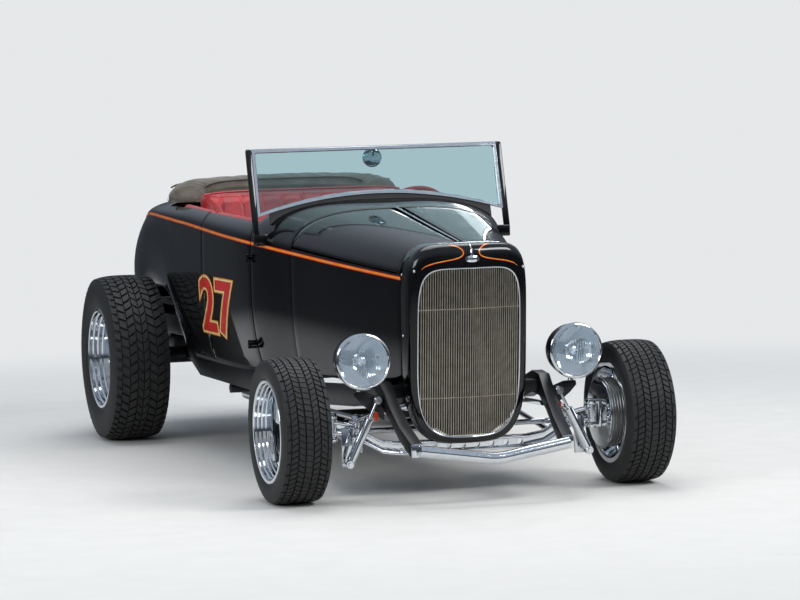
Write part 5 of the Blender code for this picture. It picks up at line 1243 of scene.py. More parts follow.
class Tread(Enum):
    """The two tread patterns: ribs in front, wide blocks behind."""

    RIBBED = Pattern(
        72,
        ((0.0, 0.13, 0.25, 0.10), (0.30, 0.115, 0.55, 0.16), (0.585, 0.12, -0.55, 0.20)),
        (0.4, 0.0),
        (0.745, 0.905, 1.6, -0.3),
        36,
    )
    BLOCKS = Pattern(
        54,
        ((0.105, 0.085, 0.5, 0.22), (0.34, 0.115, -0.45, 0.24), (0.60, 0.115, 0.4, 0.26)),
        (1.0, 0.5),
        (0.745, 0.915, 0.66, 0.25),
        54,
    )


@dataclass
class Tyre:
    """A tyre: a smooth carcass with a tread of separate blocks."""

    outer: float
    rim: float
    wide: float
    tread: Tread
    deep: float = 0.008
    shares: tuple[tuple[float, float], ...] = (
        (0.82, 0.00),
        (0.90, 0.06),
        (0.965, 0.20),
        (1.00, 0.46),
        (0.985, 0.66),
        (0.94, 0.82),
        (0.90, 0.89),
    )

    def crown(self, x: float) -> float:
        """Returns the tread's radius at a distance across from the middle.

        Args:
            x: The distance.

        Returns:
            The radius.
        """
        share = abs(x) / (self.wide / 2)
        wall = self.outer - self.rim
        return self.outer - 0.0004 - wall * 0.058 * share**3.2 / 0.8**3.2

    def profile(self) -> list[tuple[float, float]]:
        """Returns the carcass's closed section.

        Returns:
            Distance across and radius, point by point.
        """
        half, wall = self.wide / 2, self.outer - self.rim
        side = [(across * half, self.rim + wall * up) for across, up in self.shares]
        top = [(x, self.crown(x) - self.deep) for x in (half * k / 8 for k in range(6, -7, -1))]
        left = [(-x, r) for x, r in reversed(side)]
        inner = [(-0.80 * half, self.rim + 0.0002), (0.80 * half, self.rim + 0.0002)]
        return [*side, *top, *left, *inner]

    def block(self, low: float, high: float, start: float, end: float, skew: float) -> bpy.types.Object:
        """Makes one tread block at the top of the tyre.

        Args:
            low: Where it starts across the tread.
            high: Where it ends.
            start: Its first edge round the tyre, in radians.
            end: Its last edge.
            skew: How far its outer end is turned ahead of its inner end, in radians.

        Returns:
            The block.
        """
        chamfer = 0.0010
        rows = []
        for lift, inset in ((-self.deep - 0.001, 0.0), (-chamfer, 0.0), (0.0, chamfer)):
            ring = []
            for x, a, sign_x, sign_a in (
                (low, start, 1, 1),
                (high, start + skew, -1, 1),
                (high, end + skew, -1, -1),
                (low, end, 1, -1),
            ):
                across, angle = x + sign_x * inset, a + sign_a * inset / self.outer
                radius = self.crown(across) + lift
                ring.append((across, radius * math.sin(angle), radius * math.cos(angle)))
            rows.append(ring)
        return Bench.rings("block", rows)

    def around(self, name: str, block: bpy.types.Object, count: int, shift: float = 0) -> bpy.types.Object:
        """Repeats a block round the tyre.

        Args:
            name: The object's name.
            block: The block.
            count: How many there are.
            shift: How far the first is turned, in pitches.

        Returns:
            The blocks, as one object.
        """
        turn = math.tau / count
        moves = [Matrix.Rotation(-turn * (k + shift), 4, "X") for k in range(count)]
        return Bench.copies(name, block, moves)

    def make(self, name: str, centre: Vector) -> tuple[bpy.types.Object, bpy.types.Object]:
        """Makes the carcass and its tread.

        Args:
            name: The start of their names.
            centre: The wheel's centre.

        Returns:
            The carcass and the tread.
        """
        carcass = Bench.turned(f"{name}_carcass", self.profile(), ORIGIN, LEFTWARD, 120)
        half = self.wide / 2
        rows = []
        pattern = self.tread.value
        turn = math.tau / pattern.count
        for share, wide, skew, gap in pattern.rows:
            for side in (1, -1) if share else (1,):
                low, high = sorted((side * (share - wide) * half, side * (share + wide) * half))
                block = self.block(low, high, 0, turn * (1 - gap), skew * turn * side)
                shift = pattern.stagger[0] * share + pattern.stagger[1] * (side > 0)
                rows.append(self.around("rib", block, pattern.count, shift))
        near, far, long, skew = pattern.shoulder
        for side in (1, -1):
            low, high = sorted((side * near * half, side * far * half))
            block = self.block(low, high, 0, turn * long, skew * turn * side)
            rows.append(self.around("rib", block, pattern.shoulder_count))
        tread = Bench.joined(f"{name}_tread", rows)
        for thing in (carcass, tread):
            thing.data.transform(Matrix.Translation(centre))
        return carcass, tread


@dataclass
class Rim:
    """A chromed deep-dish rim: a stepped barrel, five spokes, a hub with its cap and nuts."""

    outer: float
    rim: float
    wide: float
    bore: float
    hub_in: float
    lip: float = 0.013
    wall: float = 0.009
    hub: float = 0.062
    thick: float = 0.018

    def barrel(self) -> bpy.types.Object:
        """Makes the barrel with its rolled lip and the dish's steps.

        Returns:
            The barrel.
        """
        half, seat = self.wide / 2, self.rim - 0.0003
        edge = 0.82 * half
        tip = edge + self.lip
        face = 0.10 * half
        outer = [
            (edge + 0.009, seat + 0.010), (edge, seat),
            (0.45 * half, seat * 0.915), (-0.55 * half, seat * 0.915),
            (-edge, seat), (-edge - 0.009, seat + 0.010), (-tip, seat + 0.009), (-tip, seat - self.wall),
        ]
        inner = [(-0.80 * half, seat - self.wall), (-0.55 * half, seat * 0.915 - self.wall)]
        steps: list[tuple[float, float]] = []
        start, end = seat - self.wall * 0.7, seat * 0.915 - self.wall
        near, far = tip - 0.004, face + 0.012
        for k in range(5):
            along = near + (far - near) * k / 4.6
            radius = start + (end - start) * min(1, k / 3.4)
            steps += [(along, radius), (along - (near - far) / 4.6 * 0.72, radius - 0.0012)]
        front = [(tip - 0.0035, seat - self.wall * 0.55), (tip - 0.0006, seat - 0.002), (tip, seat + 0.004)]
        front += [(tip - 0.0006, seat + 0.0088), (tip - 0.002, seat + 0.010)]
        profile = [*outer, *inner, *reversed(steps), *front]
        return Bench.turned("barrel", profile, ORIGIN, LEFTWARD, 96)

    def spoke(self) -> bpy.types.Object:
        """Makes one spoke: a wedge that widens to the barrel, its face dished and its edges rounded.

        Returns:
            The spoke.
        """
        face = 0.10 * self.wide / 2
        reach = (self.rim - 0.0003) * 0.915 - self.wall * 0.5
        rows = []
        for r, wide, dip in (
            (0.043, 0.052, 0), (0.075, 0.040, 0.004), (0.115, 0.046, 0.004), (reach, 0.084, 0)
        ):
            half, back = wide / 2, self.thick
            ring = [(back, -half), (back, half), (0.004, half), (dip, half - 0.006)]
            ring += [(dip + 0.002, 0), (dip, -half + 0.006), (0.004, -half)]
            rows.append([(face - deep, y, r) for deep, y in ring])
        return Bench.rings("spoke", rows)

    def middle(self) -> list[bpy.types.Object]:
        """Makes the hub, its cap and the five nuts.

        Returns:
            The three pieces.
        """
        face = 0.10 * self.wide / 2
        proud = face + 0.020
        profile = [
            (self.hub_in, self.bore), (proud - 0.003, self.bore), (proud - 0.003, 0.020), (proud, 0.026),
            (proud - 0.004, 0.034), (face + 0.004, 0.036), (face + 0.001, self.hub - 0.004),
            (face - 0.003, self.hub), (face - self.thick, self.hub), (self.hub_in, self.hub * 0.98),
        ]
        hub = Bench.turned("hub", profile, ORIGIN, LEFTWARD, 72)
        dome = [
            (proud - 0.006, 0.0002), (proud - 0.006, 0.0225), (proud - 0.0012, 0.0215),
            (proud - 0.0004, 0.012), (proud, 0.0002),
        ]
        cap = Bench.turned("cap", dome, ORIGIN, LEFTWARD, 48)
        Bench.clear()
        bpy.ops.mesh.primitive_cylinder_add(
            vertices=6, radius=0.0095, depth=0.014, rotation=(0, math.pi / 2, 0)
        )
        nut = bpy.context.object
        bpy.ops.object.transform_apply(location=True, rotation=True, scale=True)
        spot = Matrix.Translation((face + 0.006, 0, 0.050))
        moves = [Matrix.Rotation(math.tau * (k + 0.5) / 5, 4, "X") @ spot for k in range(5)]
        return [hub, cap, Bench.copies("nuts", nut, moves)]

    def make(self, name: str, centre: Vector) -> bpy.types.Object:
        """Makes the whole rim, its dish towards +X.

        Args:
            name: Its name.
            centre: The wheel's centre.

        Returns:
            The rim.
        """
        moves = [Matrix.Rotation(math.tau * k / 5, 4, "X") for k in range(5)]
        spokes = Bench.copies("spokes", self.spoke(), moves)
        thing = Bench.joined(name, [self.barrel(), spokes, *self.middle()])
        thing.data.transform(Matrix.Translation(centre))
        return thing


@dataclass
class Wheels:
    """The four wheels."""

    front: Tyre = field(default_factory=lambda: Tyre(0.288, 0.196, 0.200, Tread.RIBBED))
    rear: Tyre = field(default_factory=lambda: Tyre(0.381, 0.221, 0.272, Tread.BLOCKS, deep=0.010))
    track: tuple[float, float] = (0.713, 0.734)
    bores: tuple[float, float] = (0.0166, 0.0186)
    hub_ends: tuple[float, float] = (-0.0655, -0.122)

    def wheel(self, end: str, tyre: Tyre, x: float, y: float, bore: float, hub_in: float) -> None:
        """Makes one end's pair of wheels.

        Args:
            end: front or rear.
            tyre: Its tyre.
            x: The wheel's middle, from the car's.
            y: The axle's Y.
            bore: The hub's inner radius.
            hub_in: The hub's inner end, from the wheel's middle.
        """
        centre = Vector((x, y, tyre.outer))
        rim = Rim(tyre.outer, tyre.rim, tyre.wide, bore, hub_in)
        left = [*tyre.make(f"tyre_{end}_left", centre), rim.make(f"rim_{end}_left_skin", centre)]
        kinds = (("tyre", RUBBER), ("tyre", RUBBER), ("rim", CHROME))
        for thing, (kind, finish) in zip(left, kinds):
            both(thing, finish, f"wheel_{end}_left", f"{kind}_{end}_left")

    def build(self) -> None:
        """Makes all four wheels."""
        self.wheel("front", self.front, self.track[0], FRONT_Y, self.bores[0], self.hub_ends[0])
        self.wheel("rear", self.rear, self.track[1], REAR_Y, self.bores[1], self.hub_ends[1])


@dataclass
class Windshield:
    """The raked screen: chromed frame, black posts, seal and mirror."""

    foot: float = 0.992
    foot_z: float = 1.027
    rake: float = 0.2627
    half: float = 0.546
    top: float = 1.364
    bar: float = 0.018
    thick: float = 0.020
    arch_z: float = 1.160
    corner_z: float = 1.078
    post_x: float = 0.555
    post: tuple[float, float] = (0.022, 0.026)
    mirror_z: float = 1.312
    mirror_r: float = 0.042
    seal_half: float = 0.490

    def y(self, z: float) -> float:
        """Returns the screen's Y at a height."""
        return SKIN.y(self.foot + self.rake * (z - self.foot_z))

    def bottom(self, x: float) -> float:
        """Returns the frame's lowest height at an X."""
        return self.corner_z + (self.arch_z - self.corner_z) * (1 - min(abs(x) / self.half, 1) ** 2)

    def outline(self, inset: float) -> list[tuple[float, float]]:
        """Returns the screen's outline in X and Z, its top corners rounded.

        Args:
            inset: How far within the frame's edge it runs.

        Returns:
            The points.
        """
        half, top = self.half - inset, self.top - inset
        radius = 0.010
        points = []
        for side, start in ((-1, math.pi), (1, math.pi / 2)):
            for k in range(5):
                a = start - math.pi / 2 * k / 4
                x = side * (half - radius) + radius * math.cos(a)
                points.append((x, top - radius + radius * math.sin(a)))
        for k in range(33):
            x = half - 2 * half * k / 32
            points.append((x, self.bottom(x * self.half / half) + inset))
        return points

    def frame(self) -> None:
        """Makes the chromed frame with rounded edges."""
        edge, wall = 0.003, self.thick / 2
        around = ((0, 0.4), (0.18, 1), (0.82, 1), (1, 0.4), (1, -0.4), (0.82, -1), (0.18, -1), (0, -0.4))
        outlines = {share: self.outline(self.bar * share) for share in {share for share, _ in around}}
        rows = []
        for k in range(len(outlines[0])):
            row = []
            for share, deep in around:
                x, z = outlines[share][k]
                row.append((x, self.y(z) + deep * (wall if abs(deep) == 1 else wall - edge), z))
            rows.append(row)
        place(Bench.rings("screen_frame", rows, hoop=True), CHROME, "car", "windshield_frame", smooth=40)

    def seal(self) -> None:
        """Makes the rubber seal down to the cowl."""
        rows = []
        for k in range(41):
            x = self.seal_half * (2 * k / 40 - 1)
            top = self.bottom(x) + 0.002
            low = SKIN.crown_z(self.foot + self.rake * (top - self.foot_z), x) - 0.001
            ring = [(top, -0.004), (top, 0.004), (low + 0.006, 0.005), (low, 0.006), (low, -0.006)]
            rows.append([(x, self.y(z) + deep, z) for z, deep in [*ring, (low + 0.006, -0.005)]])
        place(Bench.rings("screen_seal", rows), RUBBER, "car", "windshield_frame")

    def posts(self) -> None:
        """Makes the two black posts with their feet and the chromed pivot knobs."""
        wide, deep = self.post
        rows = []
        for z in (self.foot_z - 0.020, self.foot_z + 0.10, self.top - 0.01, self.top):
            w, d = (wide / 2, deep / 2) if z < self.top else (wide / 2 - 0.003, deep / 2 - 0.003)
            x, y = self.post_x, self.y(z)
            rows.append([(x - w, y - d, z), (x + w, y - d, z), (x + w, y + d, z), (x - w, y + d, z)])
        post = Bench.rings("post", rows)
        low = self.foot_z - 0.020
        skin = SKIN.section(self.foot + self.rake * (low - self.foot_z))[1] - wide
        y = self.y(low)
        corner = (self.post_x + wide / 2, y + deep / 2, low + 0.002)
        foot = Bench.box("foot", (skin, y - deep / 2, low - 0.045), corner, 0.003)
        bevel = post.modifiers.new("edge", "BEVEL")
        bevel.width, bevel.segments = 0.003, 2
        Bench.settle(post)
        left = Bench.joined("screen_post_left", [post, foot])
        both(left, PAINT, "car", "windshield_frame")
        knobs = []
        for z in (self.corner_z + 0.035, self.top - 0.055):
            profile = [
                (0, 0.0002), (0, 0.0085), (0.004, 0.0095), (0.011, 0.0085), (0.013, 0.006), (0.013, 0.0002)
            ]
            spot = Vector((self.post_x - wide / 2 - 0.001, self.y(z) + deep / 2 - 0.002, z))
            knobs.append(Bench.turned("knob", profile, spot + Vector((wide / 2, 0, 0)), REARWARD, 32))
        both(Bench.joined("screen_knobs_left", knobs), CHROME, "car", "windshield_frame")

    def mirror(self) -> None:
        """Makes the round mirror on its stem."""
        spot = Vector((0, self.y(self.mirror_z) + 0.045, self.mirror_z))
        head = Vector((0, self.y(self.top - self.bar / 2), self.top - self.bar / 2))
        stem = Bench.tube("stem", [head, head.lerp(spot, 0.4) + Vector((0, 0.004, 0)), spot], 0.005, 4)
        r = self.mirror_r
        cup = [
            (0.009, 0.0002), (0.009, r - 0.004), (0.0075, r - 0.003), (0.009, r - 0.0012), (0.0075, r),
            (0, r - 0.001), (-0.005, r * 0.8), (-0.008, r * 0.45), (-0.009, 0.0002),
        ]
        shell = Bench.turned("cup", cup, spot, REARWARD, 56)
        place(Bench.joined("mirror_skin", [stem, shell]), CHROME, "car", "windshield_frame")

    def build(self) -> None:
        """Makes the whole screen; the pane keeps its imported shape."""
        self.frame()
        self.seal()
        self.posts()
        self.mirror()


@dataclass
class Trim:
    """Pinstripes, the door numbers and the hood's chromed strip."""

    stripe: float = 0.0085
    lift: float = 0.0004
    shut: tuple[float, float] = (1.8065, 1.8135)
    figures: str = "27"
    size: float = 0.285
    facet: float = 0.02
    film: float = 0.0002
    number_at: tuple[float, float] = (1.620, 0.658)
    number_scale: tuple[float, float] = (1.84, 1.15)
    layers: tuple[tuple[float, float, Finish], ...] = (
        (0.0165, 0.0004, ORANGE),
        (0.0120, 0.0007, CREAM),
        (0.0060, 0.0010, SCARLET),
    )

    def band(
        self, name: str, first: float, last: float, offsets: tuple[float, float], body: str, finish: Finish
    ) -> None:
        """Lays a thin stripe along the belt on both sides.

        Args:
            name: The stripe's name.
            first: Its first station.
            last: Its last station.
            offsets: Its lower and upper edge, in metres above the belt.
            body: What it rides on; a door's name is taken for its own side.
            finish: Its colour.
        """
        count = max(4, round((last - first) / (0.03 if first < 3 else 0.008)))
        rows = []
        for k in range(count + 1):
            s = first + (last - first) * k / count
            thin = min(1.0, 0.12 + (count - k) / 12) if last > 3.4 else 1.0
            low, high = offsets[0] * thin, offsets[1] * thin
            row = []
            for offset, lift in ((low, -0.0002), (low, self.lift), (high, self.lift), (high, -0.0002)):
                row.append(SKIN.on(s, self.v_at(s, offset), lift))
            rows.append(row)
        left = Bench.rings(f"{name}_left", rows)
        both(left, finish, "door_left" if body == "door" else body)

    @staticmethod
    def v_at(s: float, offset: float) -> float:
        """Returns the v at a distance above or below the belt, measured along the skin.

        Args:
            s: The station.
            offset: The distance, above 0 upwards.

        Returns:
            The v.
        """
        step = 0.01
        near = SKIN.point(s, 1)
        away = SKIN.point(s, 1 + math.copysign(step, offset))
        return 1 + offset / (near - away).length * step

    def belt(self) -> None:
        """Stripes the belt: an orange core between two red edges, broken at each panel gap."""
        spans = (
            ("hood", -0.0195, 0.7895, "car"),
            ("cowl", 0.7905, 1.0965, "car"),
            ("door", 1.1035, 1.8065, "door"),
            ("rear", 1.8135, 3.10, "car"),
            ("tail", 3.10, 3.438, "car"),
        )
        bands = (
            ("lower", -0.0085, -0.0045, SCARLET), ("core", -0.0044, 0.0034, ORANGE),
            ("upper", 0.0035, 0.0072, SCARLET),
        )
        for name, first, last, body in spans:
            for band, low, high, finish in bands:
                self.band(f"stripe_{name}_{band}", first, last, (low, high), body, finish)

    def cut_out(self, name: str, grow: float, side: int, part: str) -> bpy.types.Object:
        """Cuts one layer of the number from a flat film, on one side of the shut line.

        Args:
            name: The object's name.
            grow: How far the layer's outline stands out past the figures' own.
            side: 1 for the left side, -1 for the right.
            part: door, or quarter for the rear body's part.

        Returns:
            The flat film, in facets small enough to follow the skin.
        """
        curve = bpy.data.curves.new(name, "FONT")
        curve.body, curve.size, curve.offset = self.figures, self.size, grow
        curve.align_x, curve.align_y = "CENTER", "CENTER"
        Bench.pick(Bench.added(name, curve))
        bpy.ops.object.convert(target="MESH")
        thing = bpy.context.object
        at = side * (self.shut[part == "quarter"] - self.number_at[0]) / self.number_scale[0]
        drop = {"clear_outer": part == "door", "clear_inner": part == "quarter"}
        with Bench.editing(thing):
            bpy.ops.mesh.remove_doubles(threshold=1e-5)
            bpy.ops.mesh.select_all(action="SELECT")
            bpy.ops.mesh.bisect(plane_co=(at, 0, 0), plane_no=(side, 0, 0), **drop)
            for step in range(-9, 10):
                for way in (LEFTWARD, REARWARD):
                    bpy.ops.mesh.select_all(action="SELECT")
                    bpy.ops.mesh.bisect(plane_co=way * step * self.facet, plane_no=way)
        return thing

    def lay(self, thing: bpy.types.Object, side: int, lift: float) -> None:
        """Thickens a flat film and lays it on the skin.

        Args:
            thing: The film.
            side: 1 for the left side, -1 for the right.
            lift: How far it stands off the lacquer.
        """
        film = thing.modifiers.new("film", "SOLIDIFY")
        film.thickness, film.offset = self.film, -1
        Bench.settle(thing)
        for vertex in thing.data.vertices:
            along, up, out = vertex.co
            s = self.number_at[0] + side * along * self.number_scale[0]
            height = self.number_at[1] + up * self.number_scale[1]
            _, _, _, belt_z, _, bottom_z = SKIN.section(s)
            vertex.co = SKIN.on(s, (height - bottom_z) / (belt_z - bottom_z), lift + out, side)
        with Bench.editing(thing):
            bpy.ops.mesh.normals_make_consistent(inside=False)

    def number(self, side: int, word: str) -> None:
        """Lays a race number on a door and on over its rear shut line: red, edged in cream and orange.

        Args:
            side: 1 for the left side, -1 for the right.
            word: The side's word.
        """
        for layer, (grow, lift, finish) in enumerate(self.layers):
            for part, body in (("door", f"door_{word}"), ("quarter", "car")):
                thing = self.cut_out(f"number_{word}_{part}_{layer}", grow, side, part)
                if not thing.data.vertices:
                    bpy.data.objects.remove(thing)
                    continue
                self.lay(thing, side, lift)
                place(thing, finish, body)

    def crest(self) -> None:
        """Makes the chromed strip down the hood's middle, over the hinge."""
        half = ((1, -0.003), (1, 0.0005), (0.55, 0.0028))
        section = [*((-across, up) for across, up in half), (0, 0.0036), *reversed(half)]
        rows = []
        for k in range(31):
            s = -0.0195 + (0.7895 + 0.0195) * k / 30
            wide = 0.0032 + 0.001 * k / 30
            z = SKIN.point(s, 2).z
            rows.append([(across * wide, SKIN.y(s), z + up) for across, up in section])
        place(Bench.rings("hood_strip", rows), CHROME, "car", "hood_hinge", smooth=60)

    def build(self) -> None:
        """Makes all the trim."""
        self.belt()
        self.number(1, "left")
        self.number(-1, "right")
        self.crest()


def bar(
    name: str, start: Vector, end: Vector, radius: float, steps: int = 32, edge: float = 0.0012
) -> bpy.types.Object:
    """Makes a round bar between two points, its ends' edges broken.

    Args:
        name: The object's name.
        start: The middle of one end.
        end: The middle of the other end.
        radius: Its radius.
        steps: Faces round it.
        edge: How much each end's edge is broken.

    Returns:
        The bar.
    """
    start, end = Vector(start), Vector(end)
    long = (end - start).length
    profile = [
        (0, 0.0001), (0, radius - edge), (edge, radius), (long - edge, radius), (long, radius - edge),
        (long, 0.0001),
    ]
    return Bench.turned(name, profile, start, end - start, steps)


def hexagon(name: str, centre: Vector, axis: Vector, across: float, thick: float) -> bpy.types.Object:
    """Makes a bolt's head or a nut: a six-sided disc with broken corners, on a washer.

    Args:
        name: The object's name.
        centre: The middle of its seat.
        axis: The direction it stands out in.
        across: Its width over two corners.
        thick: How far it stands out.

    Returns:
        The nut.
    """
    Bench.clear()
    turn = Vector(axis).to_track_quat("Z", "Y").to_euler()
    place_of = Vector(centre) + Vector(axis).normalized() * thick / 2
    bpy.ops.mesh.primitive_cylinder_add(
        vertices=6, radius=across / 2, depth=thick, location=place_of, rotation=turn
    )
    thing = bpy.context.object
    thing.name = name
    bpy.ops.object.transform_apply(location=True, rotation=True, scale=True)
    with Bench.editing(thing):
        bpy.ops.mesh.bevel(offset=thick * 0.12, segments=1, affect="EDGES")
    base = Vector(centre)
    washer = bar(
        "washer", base, base + Vector(axis).normalized() * thick * 0.2, across * 0.62, 24, thick * 0.05
    )
    return Bench.joined(name, [thing, washer])


@dataclass
class Headlamps:
    """Two round lamps: black bucket, chromed ring, reflector, bulb and a fluted lens."""

    x: float = 0.443
    z: float = 0.553
    radius: float = 0.112
    rear: float = 0.0075
    long: float = 0.150

    def spot(self, share: float) -> Vector:
        """Returns the point on the lamp's axis at a share of its length from the back."""
        return Vector((self.x, SKIN.y(self.rear - self.long * share), self.z))

    def turned(self, name: str, shares: Sequence[tuple[float, float]], steps: int = 72) -> bpy.types.Object:
        """Spins a section given in shares of the lamp's length and radius."""
        profile = [(self.long * share, self.radius * r) for share, r in shares]
        return Bench.turned(name, profile, self.spot(0), FORWARD, steps)

    def bucket(self) -> bpy.types.Object:
        """Makes the black bowl.

        Returns:
            The bucket.
        """
        outer = (
            (0.0, 0.002), (0.0, 0.30), (0.01, 0.36), (0.05, 0.52), (0.11, 0.67),
            (0.20, 0.79), (0.31, 0.88), (0.45, 0.93), (0.62, 0.955), (0.80, 0.96),
        )
        inner = ((0.80, 0.93), (0.62, 0.92), (0.31, 0.84), (0.11, 0.63), (0.03, 0.30), (0.03, 0.002))
        return self.turned("bucket", [*outer, *inner])

    def ring(self) -> bpy.types.Object:
        """Makes the chromed ring that holds the lens.

        Returns:
            The ring.
        """
        shares = (
            (0.795, 0.95), (0.795, 0.985), (0.81, 1.0), (0.855, 1.0), (0.90, 0.99),
            (0.925, 0.955), (0.93, 0.915), (0.915, 0.895), (0.895, 0.90), (0.895, 0.93),
        )
        return self.turned("ring", shares, 96)

    def reflector(self) -> bpy.types.Object:
        """Makes the polished bowl behind the lens, and the bulb with its shield.

        Returns:
            The three pieces, joined.
        """
        radii = (1.0, 0.9, 0.78, 0.65, 0.52, 0.40, 0.28, 0.16, 0.003)
        front = [(0.36 + 0.52 * r * r, r * 0.90) for r in radii]
        back = [(share - 0.02, r) for share, r in reversed(front)]
        bowl = self.turned("bowl", [*front, *back])
        stem = bar("stem", self.spot(0.36), self.spot(0.62), 0.009, 20)
        shares = ((0.60, 0.002), (0.60, 0.14), (0.66, 0.17), (0.72, 0.13), (0.75, 0.05), (0.76, 0.002))
        shield = self.turned("shield", shares, 32)
        return Bench.joined("reflector", [bowl, stem, shield])

    def lens(self) -> bpy.types.Object:
        """Makes the domed lens, its back cut in upright flutes.

        Returns:
            The lens.
        """
        rings, sides = 24, 144
        points, faces = [], []
        for layer in (0, 1):
            for i in range(rings + 1):
                r = 0.905 * self.radius * (i / rings)
                for k in range(sides):
                    a = math.tau * k / sides
                    x, z = r * math.cos(a), r * math.sin(a)
                    dome = self.long * (1.0 - 0.095 * (r / (0.905 * self.radius)) ** 2)
                    flute = 0.0013 * abs(math.sin(math.pi * x / 0.0105)) * (1 if z > -0.045 else 0.35)
                    rib = 0.0021 * (1 - abs(math.sin(math.pi * x / 0.0105))) * (1 if z > 0.010 else 0.15)
                    along = dome - rib if layer == 0 else dome - 0.0046 + flute
                    points.append((self.x + x, SKIN.y(self.rear - along), self.z + z))
        shift = (rings + 1) * sides
        for layer in (0, 1):
            for i in range(rings):
                for k in range(sides):
                    a, b = i * sides + k + layer * shift, i * sides + (k + 1) % sides + layer * shift
                    faces.append((a, b, b + sides, a + sides))
        for k in range(sides):
            a, b = rings * sides + k, rings * sides + (k + 1) % sides
            faces.append((a, b, b + shift, a + shift))
        return Bench.shell("lens", points, faces)

    def stud(self) -> bpy.types.Object:
        """Makes the stud under the lamp with its collar and nut.

        Returns:
            The stud.
        """
        foot = Vector((self.x, SKIN.y(-0.060) + 0.007, self.z * 0.775 + 0.0003))
        post = bar("post", foot, foot + Vector((0, 0, 0.045)), 0.008, 24)
        collar = bar("collar", foot + Vector((0, 0, 0.014)), foot + Vector((0, 0, 0.024)), 0.011, 28, 0.002)
        nut = hexagon("nut", foot, UPWARD, 0.0215, 0.009)
        profile = [(0, 0.0002), (0, 0.0105), (0.018, 0.011), (0.018, 0.0002)]
        cup = Bench.turned("cup", profile, foot + Vector((0, 0, 0.035)), UPWARD, 28)
        return Bench.joined("stud", [post, collar, nut, cup])

    def build(self) -> None:
        """Makes both lamps."""
        pieces = (
            (self.bucket(), PAINT, "bucket"),
            (self.ring(), CHROME, "ring"),
            (self.reflector(), CHROME, "reflector"),
            (self.lens(), LENS_GLASS, "lens"),
            (self.stud(), CHROME, "stud"),
        )
        for thing, finish, kind in pieces:
            thing.name = f"headlamp_{kind}_left"
            both(thing, finish, "car", "headlight_left")


